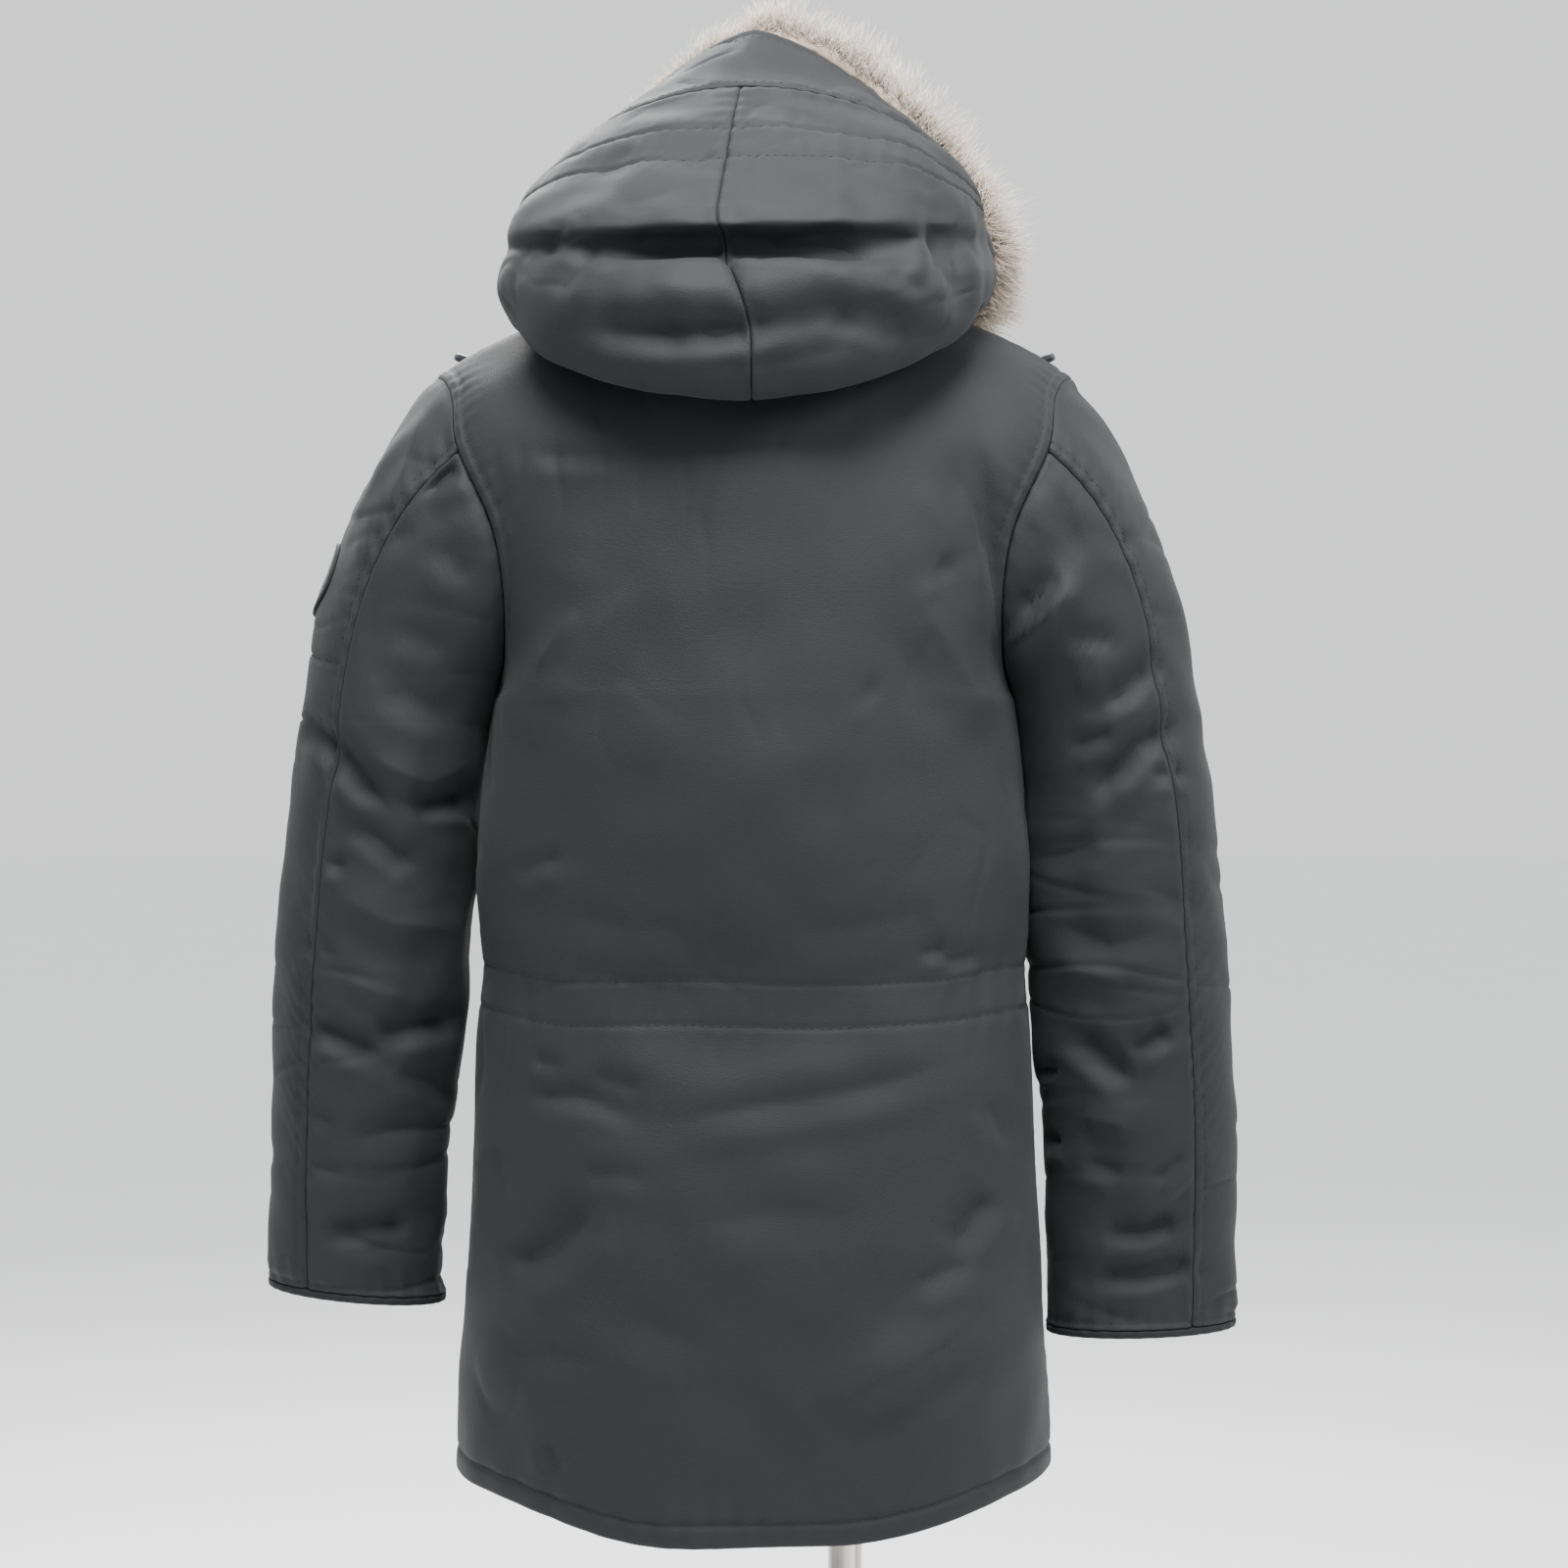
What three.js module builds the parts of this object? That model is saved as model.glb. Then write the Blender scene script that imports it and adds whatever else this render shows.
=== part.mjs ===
// A hip-length padded parka with a fur-edged hood, filled out on a limbless dress form.
// Millimetres, +Z up. The garment's back faces +Y, its front faces -Y, and the wearer's left is +X.
// The origin is on the floor under the middle of the whole object.
import * as THREE from "three";

const SEAM_GAP = 0.3;
const WALL = { body: 7, sleeve: 7, hood: 5, collar: 4, flap: 2.5, binding: 8 };

// Body: rings from the hem to the bottom of the armhole, then panels up to the shoulder seam.
const HEM = { side: 586, tail: 560, front: 590, fold: 17 };
const ARMPIT_Z = 1150;
const RING_POWER = 2.35;
const BODY = [
  { z: 540, half: 217, back: 143, front: 143 },
  { z: 622, half: 218, back: 147, front: 146 },
  { z: 709, half: 212, back: 147, front: 147 },
  { z: 796, half: 208, back: 144, front: 146 },
  { z: 880, half: 205, back: 137, front: 142 },
  { z: 918, half: 203, back: 131, front: 138 },
  { z: 948, half: 200, back: 130, front: 138 },
  { z: 985, half: 201.5, back: 139, front: 142 },
  { z: 1035, half: 202, back: 148, front: 146 },
  { z: 1100, half: 196, back: 153, front: 149 },
  { z: 1150, half: 191, back: 153, front: 147 },
];
const LOWER_LEVELS = [665, 731, 784, 838, 846, 903, 918, 933, 948, 975, 1015, 1060, 1105];
const ACROSS = [0, 0.12, 0.23, 0.31, 0.345, 0.47, 0.6, 0.73, 0.84, 0.93, 0.98, 1];
const ZIP_EDGE = 0.016;

// Armhole: an oval from the bottom (180 degrees) over the back (90) or the front (270) to the shoulder tip (0).
const ARMHOLE = { midZ: 1268, rise: 118, back: 92, front: 88, taper: 1.4 };
const ARMHOLE_X = [
  { turn: 0, back: 235, front: 235 },
  { turn: 34, back: 217, front: 216 },
  { turn: 60, back: 210, front: 204 },
  { turn: 90, back: 184, front: 181 },
  { turn: 112, back: 177, front: 174 },
  { turn: 140, back: 180, front: 178 },
  { turn: 165, back: 188, front: 187 },
  { turn: 180, back: 191, front: 191 },
];
const ARMHOLE_TURNS = [180, 157, 134, 117, 105, 90, 76, 62, 46, 30, 15, 0];

// Neck and shoulder line, seen from the back.
const NECK = { half: 0.345, pointY: 3, napeY: 73, napeZ: 1455, throatY: -88, throatZ: 1402 };
const SHOULDER_ROUND = { back: 60, front: 75 };
const SHOULDER = [
  { x: 0, z: 1451 },
  { x: 81, z: 1448 },
  { x: 120, z: 1439 },
  { x: 160, z: 1426.5 },
  { x: 200, z: 1409 },
  { x: 222, z: 1396 },
  { x: 235, z: 1386 },
];

// Sleeves: level rings from the underarm to the cuff. left and right give the outer and inner edge.
const SLEEVE = [
  { z: 1200, leftOut: 322, leftIn: 188, rightOut: 318, rightIn: 188, deep: 78, midY: 3 },
  { z: 1144, leftOut: 333, leftIn: 193.5, rightOut: 328, rightIn: 193.5, deep: 79, midY: 1 },
  { z: 1057, leftOut: 345, leftIn: 204.5, rightOut: 342, rightIn: 204.5, deep: 77, midY: -4 },
  { z: 970, leftOut: 354, leftIn: 212, rightOut: 351, rightIn: 204.8, deep: 72, midY: -9 },
  { z: 905, leftOut: 360, leftIn: 217, rightOut: 357, rightIn: 207.5, deep: 67, midY: -13 },
  { z: 840, leftOut: 361, leftIn: 226, rightOut: 359, rightIn: 217, deep: 61, midY: -17 },
  { z: 774, leftOut: 364, leftIn: 228, rightOut: 361, rightIn: 217, deep: 54, midY: -20 },
  { z: 680, leftOut: 362, leftIn: 232, rightOut: 360, rightIn: 218, deep: 44, midY: -24 },
];
const CUFF = { left: { out: 719, in: 706 }, right: { out: 688, in: 683 }, binding: 6 };
const SLEEVE_HEAD = { outZ: 1172, inZ: 1118 };
const BACK_SEAM_TURN = 62;
const FRONT_SEAM_TURN = 255;
const CAP_STEPS = [0, 0.12, 0.32, 0.54, 0.77, 1];
const TUBE_STEPS = [0.08, 0.18, 0.3, 0.42, 0.55, 0.68, 0.8, 0.9, 1];

// Hood: hoops from the neck seam over the roll, the crown and the rim, each through a front end, a side and a middle.
const HOOD = [
  { name: "neck", midY: 73.8, midZ: 1457, half: 81.7, sideY: 3, sideZ: 1450.5, endX: 52, endY: -70.9, endZ: 1417.5, power: 2 },
  { name: "under", midY: 98, midZ: 1431, half: 116, sideY: 3, sideZ: 1447.5, endX: 54, endY: -86, endZ: 1415, power: 2.1 },
  { name: "rollIn", midY: 127, midZ: 1380, half: 150, sideY: 5, sideZ: 1438, endX: 57, endY: -97, endZ: 1409, power: 2.2 },
  { name: "roll", midY: 158, midZ: 1347, half: 168, sideY: 8, sideZ: 1432, endX: 60, endY: -106, endZ: 1407, power: 2.3 },
  { name: "rollOut", midY: 184, midZ: 1360, half: 176, sideY: 8, sideZ: 1442, endX: 63, endY: -112, endZ: 1408, power: 2.4 },
  { name: "bulge", midY: 196, midZ: 1400, half: 179, sideY: 4, sideZ: 1458, endX: 65, endY: -115, endZ: 1409, power: 2.5 },
  { name: "tuck", midY: 187, midZ: 1434, half: 177, sideY: 0, sideZ: 1470, endX: 67, endY: -117, endZ: 1410, power: 2.5 },
  { name: "crease", midY: 172, midZ: 1451, half: 174, sideY: 0, sideZ: 1480, endX: 69, endY: -118, endZ: 1411, power: 2.5 },
  { name: "lip", midY: 180, midZ: 1465, half: 173, sideY: 4, sideZ: 1489, endX: 71, endY: -119, endZ: 1412, power: 2.5 },
  { name: "upper", midY: 157, midZ: 1492, half: 172, sideY: 4, sideZ: 1496, endX: 73, endY: -121, endZ: 1414, power: 2.5 },
  { name: "lineThree", midY: 127, midZ: 1522, half: 172, sideY: -2, sideZ: 1500, endX: 75, endY: -122, endZ: 1416, power: 2.35 },
  { name: "lineTwo", midY: 102, midZ: 1549, half: 172, sideY: -16, sideZ: 1502, endX: 77, endY: -124, endZ: 1418, power: 2.2 },
  { name: "lineOne", midY: 56, midZ: 1589, half: 172, sideY: -40, sideZ: 1500, endX: 80, endY: -126, endZ: 1420, power: 1.95 },
  { name: "band", midY: 20, midZ: 1619, half: 173, sideY: -66, sideZ: 1494, endX: 83, endY: -129, endZ: 1422, power: 1.68 },
  { name: "rim", midY: -15, midZ: 1649, half: 174, sideY: -92, sideZ: 1486, endX: 86, endY: -132, endZ: 1424, power: 1.44 },
];
const HOOD_TURNS = [-90, -66, -44, -24, -6, 12, 28, 43, 57, 69, 80, 90];
const HOOD_LINE_ONE = 12;
const HOOD_TWIST = { degrees: -7, aboutY: -20, from: 1380, to: 1480 };
const ROLL_LEAN = 0.1;
const COLLAR = { backTop: 1512, frontTop: 1490, leanY: -6, inset: 1.4, sink: 0.3, steps: [0, 0.5, 1] };

// Fur ruff: a thick lumpy strip set just in front of the hood's rim.
const RUFF = { forward: 58, outLeft: 4, outRight: 30, inward: 30, gap: 1.2, lean: 0.35, lump: 0.14, lumps: 13, endTurn: -84,
  sides: 8, steps: 32 };

// Front closure, pockets and small pieces.
const ZIP = { half: 2.5, deep: 4.5, top: 1488 };
const FLAP = { left: 34, right: -26, lift: 0.7, collarLift: 1.6, columns: 4 };
const POCKET = { bottom: 731, mouth: 838, flapBottom: 846, top: 903, firstColumn: 4, lastColumn: 10, thick: 3.5, lift: 0.4 };
const ARM_PATCH = { length: 0.72, radius: 30, thick: 1.8, lift: 1.2, sides: 14 };
const CORD_ROUTE = {
  exitRow: 13.2,
  exitTurn: -58,
  out: [2.5, 8],
  laid: [
    [136, -90, 10],
    [154, -74, 5],
    [172, -58, 4],
    [190, -45, 6],
    [208, -35, 15],
  ],
};
const PATCH_SCALE = { perDegree: 1.35, perLength: 245 };
const HOOD_CORD = { diameter: 4, endLong: 19, endWide: 9 };

// Dress form and its stand.
const FORM = [
  { z: 850, half: 148, deep: 100, midY: 0, power: 2 },
  { z: 862, half: 160, deep: 110, midY: 0, power: 2 },
  { z: 905, half: 165, deep: 113, midY: 0, power: 2 },
  { z: 955, half: 156, deep: 106, midY: 0, power: 2 },
  { z: 1010, half: 146, deep: 100, midY: 0, power: 2 },
  { z: 1080, half: 149, deep: 105, midY: 0, power: 2 },
  { z: 1150, half: 157, deep: 113, midY: 0, power: 2 },
  { z: 1215, half: 160, deep: 116, midY: 0, power: 2.1 },
  { z: 1275, half: 161, deep: 112, midY: 2, power: 2.1 },
  { z: 1320, half: 171, deep: 103, midY: 3, power: 2.1 },
  { z: 1355, half: 177, deep: 91, midY: 3, power: 2 },
  { z: 1383, half: 178, deep: 76, midY: 3, power: 1.8 },
  { z: 1402, half: 172, deep: 56, midY: 3, power: 1.6 },
  { z: 1418.9, half: 159, deep: 36, midY: 3, power: 1.4 },
  { z: 1431.4, half: 120, deep: 30, midY: 3, power: 1.4 },
  { z: 1438.4, half: 81, deep: 30, midY: 3, power: 1.6 },
  { z: 1447, half: 66, deep: 48, midY: 0, power: 1.8 },
  { z: 1458, half: 58, deep: 54, midY: -3, power: 2 },
  { z: 1485, half: 55, deep: 56, midY: -6, power: 2 },
  { z: 1508, half: 55, deep: 55, midY: -8, power: 2 },
];
const FORM_SIDES = 20;
const NECK_CAP = { radius: 53, rise: 14, knob: 15, knobRise: 20, midY: -8 };
const POLE = { x: -67, y: 0, radius: 12.5, fit: 0.3 };
const SOCKET = { radius: 31, rise: 26 };
const BASE = { radius: 190, thick: 8, bossRadius: 27, bossRise: 34 };

// Creases wide enough to shape the wall, as troughs (negative) and ridges (positive) between two points of the back
// or front view. A fold's width is its half width where it has faded to a third.
const BODY_FOLDS = [
  { side: "back", x1: -150, z1: 1330, x2: -158, z2: 1225, width: 17, depth: -5 },
  { side: "back", x1: 118, z1: 1250, x2: 150, z2: 1135, width: 22, depth: 3.5 },
  { side: "back", x1: -112, z1: 1235, x2: -158, z2: 1150, width: 24, depth: 3 },
  { side: "back", x1: -120, z1: 975, x2: -185, z2: 950, width: 16, depth: -3 },
  { side: "back", x1: 160, z1: 875, x2: 70, z2: 856, width: 16, depth: -3 },
  { side: "back", x1: 70, z1: 858, x2: -150, z2: 892, width: 20, depth: 2.5 },
  { side: "back", x1: 182, z1: 742, x2: 108, z2: 800, width: 20, depth: -6 },
  { side: "back", x1: -136, z1: 762, x2: -166, z2: 805, width: 18, depth: -5 },
  { side: "back", x1: -38, z1: 655, x2: -158, z2: 722, width: 22, depth: 4 },
  { side: "front", x1: 150, z1: 1330, x2: 140, z2: 1220, width: 18, depth: -4 },
  { side: "front", x1: -152, z1: 1320, x2: -138, z2: 1205, width: 20, depth: -4 },
  { side: "front", x1: 80, z1: 1190, x2: 165, z2: 1120, width: 24, depth: 3 },
  { side: "front", x1: -70, z1: 1215, x2: -168, z2: 1110, width: 24, depth: 3 },
  { side: "front", x1: 70, z1: 985, x2: 180, z2: 960, width: 18, depth: -3 },
  { side: "front", x1: -80, z1: 690, x2: -170, z2: 640, width: 22, depth: -4 },
];
const SLEEVE_FOLDS = [
  { arm: "left", half: "back", x1: 335, z1: 1140, x2: 268, z2: 1068, width: 15, depth: -7 },
  { arm: "left", half: "back", x1: 246, z1: 1075, x2: 204, z2: 1080, width: 14, depth: -5 },
  { arm: "left", half: "back", x1: 300, z1: 1062, x2: 246, z2: 1018, width: 15, depth: -5 },
  { arm: "left", half: "back", x1: 272, z1: 902, x2: 216, z2: 912, width: 15, depth: -6 },
  { arm: "left", half: "back", x1: 322, z1: 912, x2: 268, z2: 884, width: 14, depth: -5 },
  { arm: "left", half: "back", x1: 318, z1: 760, x2: 246, z2: 758, width: 15, depth: -6 },
  { arm: "left", half: "back", x1: 262, z1: 1352, x2: 286, z2: 1270, width: 16, depth: 5 },
  { arm: "left", half: "front", x1: 225, z1: 1130, x2: 300, z2: 1080, width: 16, depth: -6 },
  { arm: "left", half: "front", x1: 235, z1: 1010, x2: 315, z2: 985, width: 16, depth: -6 },
  { arm: "left", half: "front", x1: 250, z1: 880, x2: 330, z2: 905, width: 16, depth: -5 },
  { arm: "left", half: "front", x1: 255, z1: 790, x2: 325, z2: 775, width: 15, depth: -5 },
  { arm: "right", half: "back", x1: 180, z1: 1182, x2: 232, z2: 1232, width: 15, depth: 7 },
  { arm: "right", half: "back", x1: 188, z1: 1226, x2: 214, z2: 1262, width: 16, depth: -7 },
  { arm: "right", half: "back", x1: 248, z1: 1140, x2: 300, z2: 1178, width: 15, depth: -5 },
  { arm: "right", half: "back", x1: 238, z1: 1073, x2: 312, z2: 1132, width: 16, depth: -6 },
  { arm: "right", half: "back", x1: 228, z1: 908, x2: 274, z2: 868, width: 15, depth: -6 },
  { arm: "right", half: "back", x1: 268, z1: 890, x2: 302, z2: 910, width: 14, depth: -5 },
  { arm: "right", half: "back", x1: 252, z1: 752, x2: 312, z2: 766, width: 15, depth: -6 },
  { arm: "right", half: "back", x1: 246, z1: 722, x2: 316, z2: 730, width: 13, depth: -5 },
  { arm: "right", half: "front", x1: 222, z1: 1122, x2: 300, z2: 1090, width: 16, depth: -6 },
  { arm: "right", half: "front", x1: 230, z1: 1000, x2: 312, z2: 1010, width: 16, depth: -6 },
  { arm: "right", half: "front", x1: 240, z1: 862, x2: 325, z2: 880, width: 16, depth: -5 },
  { arm: "right", half: "front", x1: 250, z1: 752, x2: 320, z2: 740, width: 15, depth: -5 },
];
const HOOD_FOLDS = [
  { x1: 95, z1: 1449, x2: -105, z2: 1446, width: 11, depth: -9 },
  { x1: 110, z1: 1398, x2: 40, z2: 1388, width: 15, depth: -9 },
  { x1: 40, z1: 1388, x2: -50, z2: 1396, width: 14, depth: -7 },
  { x1: -50, z1: 1396, x2: -118, z2: 1384, width: 15, depth: -9 },
  { x1: -126, z1: 1500, x2: -142, z2: 1420, width: 13, depth: -7 },
];
const FOLD_TAPER = 0.22;

// Finishes.
const shell = new THREE.MeshStandardMaterial({ name: "shell_cloth", color: 0x3d4145, roughness: 0.82, metalness: 0 });
const trim = new THREE.MeshStandardMaterial({ name: "binding_tape", color: 0x2b2d30, roughness: 0.75, metalness: 0 });
const fur = new THREE.MeshStandardMaterial({ name: "cream_fur", color: 0xcdbfae, roughness: 0.95, metalness: 0 });
const cordCloth = new THREE.MeshStandardMaterial({ name: "black_cord", color: 0x1e1f22, roughness: 0.85, metalness: 0 });
const plastic = new THREE.MeshStandardMaterial({ name: "dark_plastic", color: 0x2c2e33, roughness: 0.4, metalness: 0 });
const formCloth = new THREE.MeshStandardMaterial({ name: "form_jersey", color: 0xd9d4c8, roughness: 0.9, metalness: 0 });
const wood = new THREE.MeshStandardMaterial({ name: "cap_wood", color: 0x8d6a45, roughness: 0.5, metalness: 0 });
const chrome = new THREE.MeshStandardMaterial({ name: "chromed_steel", color: 0xc9cbcd, roughness: 0.15, metalness: 1 });
const zipMetal = new THREE.MeshStandardMaterial({ name: "zip_metal", color: 0x6d6a62, roughness: 0.4, metalness: 1 });

const radians = THREE.MathUtils.degToRad;
const lerp = THREE.MathUtils.lerp;
const smooth = THREE.MathUtils.smoothstep;
const point = (x, y, z) => new THREE.Vector3(x, y, z);

/** A smooth curve through one column of a table, read at a value of its key column. */
function tableCurve(rows, key, column) {
  const sorted = [...rows].sort((a, b) => a[key] - b[key]);
  const slope = (i) => {
    const before = sorted[Math.max(i - 1, 0)];
    const after = sorted[Math.min(i + 1, sorted.length - 1)];
    return (after[column] - before[column]) / (after[key] - before[key]);
  };
  return (at) => {
    const inside = Math.min(Math.max(at, sorted[0][key]), sorted.at(-1)[key]);
    const i = Math.min(Math.max(sorted.findIndex((row) => row[key] >= inside) - 1, 0), sorted.length - 2);
    const span = sorted[i + 1][key] - sorted[i][key];
    const t = (inside - sorted[i][key]) / span;
    const [a, b] = [sorted[i][column], sorted[i + 1][column]];
    const [m, n] = [slope(i) * span, slope(i + 1) * span];
    return a + t * (m + t * (3 * (b - a) - 2 * m - n + t * (2 * (a - b) + m + n)));
  };
}

/** A closed wall between a grid of outer points and a grid of inner points, open or joined round its columns. */
function wall(outer, inner, { around = false } = {}) {
  const rows = outer.length;
  const columns = outer[0].length;
  const positions = [];
  for (const grid of [outer, inner]) {
    for (const line of grid) for (const p of line) positions.push(p.x, p.y, p.z);
  }
  const at = (layer, i, j) => layer * rows * columns + i * columns + (j % columns);
  const faces = [];
  const quad = (a, b, c, d) => faces.push(a, b, c, a, c, d);
  const lastColumn = around ? columns : columns - 1;
  for (let i = 0; i < rows - 1; i++) {
    for (let j = 0; j < lastColumn; j++) {
      quad(at(0, i, j), at(0, i, j + 1), at(0, i + 1, j + 1), at(0, i + 1, j));
      quad(at(1, i, j), at(1, i + 1, j), at(1, i + 1, j + 1), at(1, i, j + 1));
    }
  }
  for (let j = 0; j < lastColumn; j++) {
    quad(at(0, 0, j), at(1, 0, j), at(1, 0, j + 1), at(0, 0, j + 1));
    quad(at(0, rows - 1, j), at(0, rows - 1, j + 1), at(1, rows - 1, j + 1), at(1, rows - 1, j));
  }
  for (let i = 0; i < rows - 1 && !around; i++) {
    quad(at(0, i, 0), at(0, i + 1, 0), at(1, i + 1, 0), at(1, i, 0));
    quad(at(0, i, columns - 1), at(1, i, columns - 1), at(1, i + 1, columns - 1), at(0, i + 1, columns - 1));
  }
  return facedOut(positions, faces);
}

/** A geometry whose faces point out: they are turned round if the volume they enclose comes out negative. */
function facedOut(positions, faces) {
  const p = (i) => point(positions[3 * i], positions[3 * i + 1], positions[3 * i + 2]);
  let volume = 0;
  for (let f = 0; f < faces.length; f += 3) {
    volume += p(faces[f]).dot(p(faces[f + 1]).cross(p(faces[f + 2])));
  }
  if (volume < 0) {
    for (let f = 0; f < faces.length; f += 3) [faces[f + 1], faces[f + 2]] = [faces[f + 2], faces[f + 1]];
  }
  const geometry = new THREE.BufferGeometry();
  geometry.setAttribute("position", new THREE.Float32BufferAttribute(positions, 3));
  geometry.setIndex(faces);
  geometry.computeVertexNormals();
  return geometry;
}

/** A closed solid from rings of points, with a flat fan at each end. */
function loft(rings) {
  const sides = rings[0].length;
  const positions = rings.flat().flatMap((p) => [p.x, p.y, p.z]);
  const faces = [];
  for (let i = 0; i < rings.length - 1; i++) {
    for (let j = 0; j < sides; j++) {
      const [a, b] = [i * sides + j, i * sides + ((j + 1) % sides)];
      faces.push(a, b, b + sides, a, b + sides, a + sides);
    }
  }
  for (const [ring, turn] of [[0, false], [rings.length - 1, true]]) {
    const middle = rings[ring].reduce((sum, p) => sum.add(p), point(0, 0, 0)).divideScalar(sides);
    const hub = positions.length / 3;
    positions.push(middle.x, middle.y, middle.z);
    for (let j = 0; j < sides; j++) {
      const [a, b] = [ring * sides + j, ring * sides + ((j + 1) % sides)];
      faces.push(hub, ...(turn ? [a, b] : [b, a]));
    }
  }
  return facedOut(positions, faces);
}

/** How far a surface point stands in or out because of soft folds drawn as lines in its own view. */
function foldShift(folds, x, z) {
  let shift = 0;
  for (const { x1, z1, x2, z2, width, depth } of folds) {
    const [dx, dz] = [x2 - x1, z2 - z1];
    const along = ((x - x1) * dx + (z - z1) * dz) / (dx * dx + dz * dz);
    const near = Math.min(Math.max(along, 0), 1);
    const away = Math.hypot(x - x1 - near * dx, z - z1 - near * dz);
    const ends = smooth(near, 0, FOLD_TAPER) * smooth(1 - near, 0, FOLD_TAPER);
    shift += depth * (0.35 + 0.65 * ends) * Math.exp(-((away / width) ** 2));
  }
  return shift;
}

const armholeX = { back: tableCurve(ARMHOLE_X, "turn", "back"), front: tableCurve(ARMHOLE_X, "turn", "front") };
const bodyHalf = tableCurve(BODY, "z", "half");
const bodyDeep = { back: tableCurve(BODY, "z", "back"), front: tableCurve(BODY, "z", "front") };
const shoulderZ = tableCurve(SHOULDER, "x", "z");

/** A point of the armhole seam on the wearer's left: 0 degrees is the shoulder tip, 90 the back, 180 the bottom. */
function armhole(turn) {
  const side = turn <= 180 ? "back" : "front";
  const folded = turn <= 180 ? turn : 360 - turn;
  const bulge = Math.sin(radians(folded)) ** (folded > 90 ? ARMHOLE.taper : 1);
  const y = bulge * (side === "back" ? ARMHOLE.back : -ARMHOLE.front);
  return point(armholeX[side](folded), y, ARMHOLE.midZ + ARMHOLE.rise * Math.cos(radians(turn)));
}

/** The top edge of a body panel: the shoulder seam, then the neckline. across runs from 0 at the middle to 1. */
function topEdge(side, across) {
  const tipX = armhole(0).x;
  const x = across * tipX;
  if (across >= NECK.half) {
    const toTip = (across - NECK.half) / (1 - NECK.half);
    return point(x, NECK.pointY * (1 - toTip), shoulderZ(x));
  }
  const share = across / NECK.half;
  const neckPointZ = shoulderZ(NECK.half * tipX);
  const round = Math.sqrt(1 - share ** 2.2);
  if (side === "back") {
    return point(x, lerp(NECK.pointY, NECK.napeY, round), lerp(NECK.napeZ, neckPointZ, share ** 2.5));
  }
  return point(x, lerp(NECK.pointY, NECK.throatY, round), lerp(neckPointZ, NECK.throatZ, (1 - share ** 2) ** 0.6));
}

/** The hem's height at a share across the body. */
function hemZ(side, across) {
  const middle = side === "back" ? HEM.tail : HEM.front;
  return lerp(middle, HEM.side, smooth(Math.abs(across), 0.25, 1));
}

/** The plain form of half a body panel. Levels up to 1 are rings, and from 1 to 2 they follow the armhole. */
function bodyBase(side, across, level) {
  const facing = side === "back" ? 1 : -1;
  const u = Math.min(Math.abs(across), 1);
  const sign = Math.sign(across) || 1;
  if (level <= 1) {
    const z = lerp(hemZ(side, u), ARMPIT_Z, level);
    const ring = (1 - u ** RING_POWER) ** (1 / RING_POWER);
    return point(sign * u * bodyHalf(z), facing * bodyDeep[side](z) * ring, z);
  }
  const rise = Math.min(level - 1, 1);
  const turn = THREE.MathUtils.radToDeg(Math.acos(THREE.MathUtils.clamp(2 * rise - 1, -1, 1)));
  const edge = armhole(side === "back" ? turn : 360 - turn);
  const top = topEdge(side, u);
  const deepest = facing * bodyDeep[side](ARMPIT_Z);
  const over = (1 - rise ** 2.6) ** lerp(0.85, 0.65, smooth(u, 0, 0.6));
  const ridge = lerp(NECK.pointY, facing * SHOULDER_ROUND[side], 1 - smooth(u, 0, 0.6));
  const column = lerp(ridge, deepest, over) + (top.y - ridge) * rise ** 10;
  const edgeColumn = deepest * (1 - rise ** 2.6) ** 0.65;
  const e = rise < 1 ? Math.min(Math.abs(edge.y / edgeColumn), 1) : 0;
  const fade = (1 - rise ** 4) / RING_POWER;
  const spread = (1 - u ** RING_POWER * (1 - e ** RING_POWER)) ** fade;
  const atEdge = edgeColumn * (e ** RING_POWER) ** fade;
  const y = column * spread + (edge.y - atEdge) * u ** 12;
  return point(sign * u * edge.x, y, lerp(ARMPIT_Z, top.z, rise));
}

const bodyFolds = {
  back: BODY_FOLDS.filter((fold) => fold.side === "back"),
  front: BODY_FOLDS.filter((fold) => fold.side === "front"),
};

/** The inward direction of a body panel's wall, shared by both panels at each seam. */
function bodyInward(side, across, level) {
  const facing = side === "back" ? 1 : -1;
  const u = Math.abs(across);
  const sign = Math.sign(across) || 1;
  if (u > 0.999 && level <= 1) return point(-sign, 0, 0);
  if (u > 0.999) {
    const height = 2 * (level - 1) - 1;
    const round = Math.sqrt(Math.max(1 - height ** 2, 0));
    return point((-sign * (1 - height)) / 2, -facing * 0.9 * round, -Math.max(height, 0)).normalize();
  }
  if (level > 1.999 && u >= NECK.half - 0.001) return point(0, 0, -1);
  const step = 0.004;
  const low = Math.min(level, 1.985);
  const du = bodyBase(side, across + step, low).sub(bodyBase(side, across - step, low));
  const dv = bodyBase(side, across, low + step).sub(bodyBase(side, across, low - step));
  return du.cross(dv).multiplyScalar(facing).normalize();
}

/** The finished outer surface of a body panel, folds included. */
function bodySurface(side, across, level) {
  const p = bodyBase(side, across, level);
  const u = Math.abs(across);
  const fade = smooth(1 - u, 0, 0.12) * smooth(2 - level, 0, 0.25);
  return p.addScaledVector(bodyInward(side, across, level), -fade * foldShift(bodyFolds[side], p.x, p.z));
}

/** The levels of a panel's rows: the hem, its turned edge, the rings above it and the armhole's steps. */
function bodyLevels() {
  const reach = ARMPIT_Z - HEM.side;
  const rings = [HEM.side + HEM.fold, ...LOWER_LEVELS].map((z) => (z - HEM.side) / reach);
  const upper = ARMHOLE_TURNS.map((turn) => 1 + (1 + Math.cos(radians(turn))) / 2);
  return [0, ...rings, ...upper];
}

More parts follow.
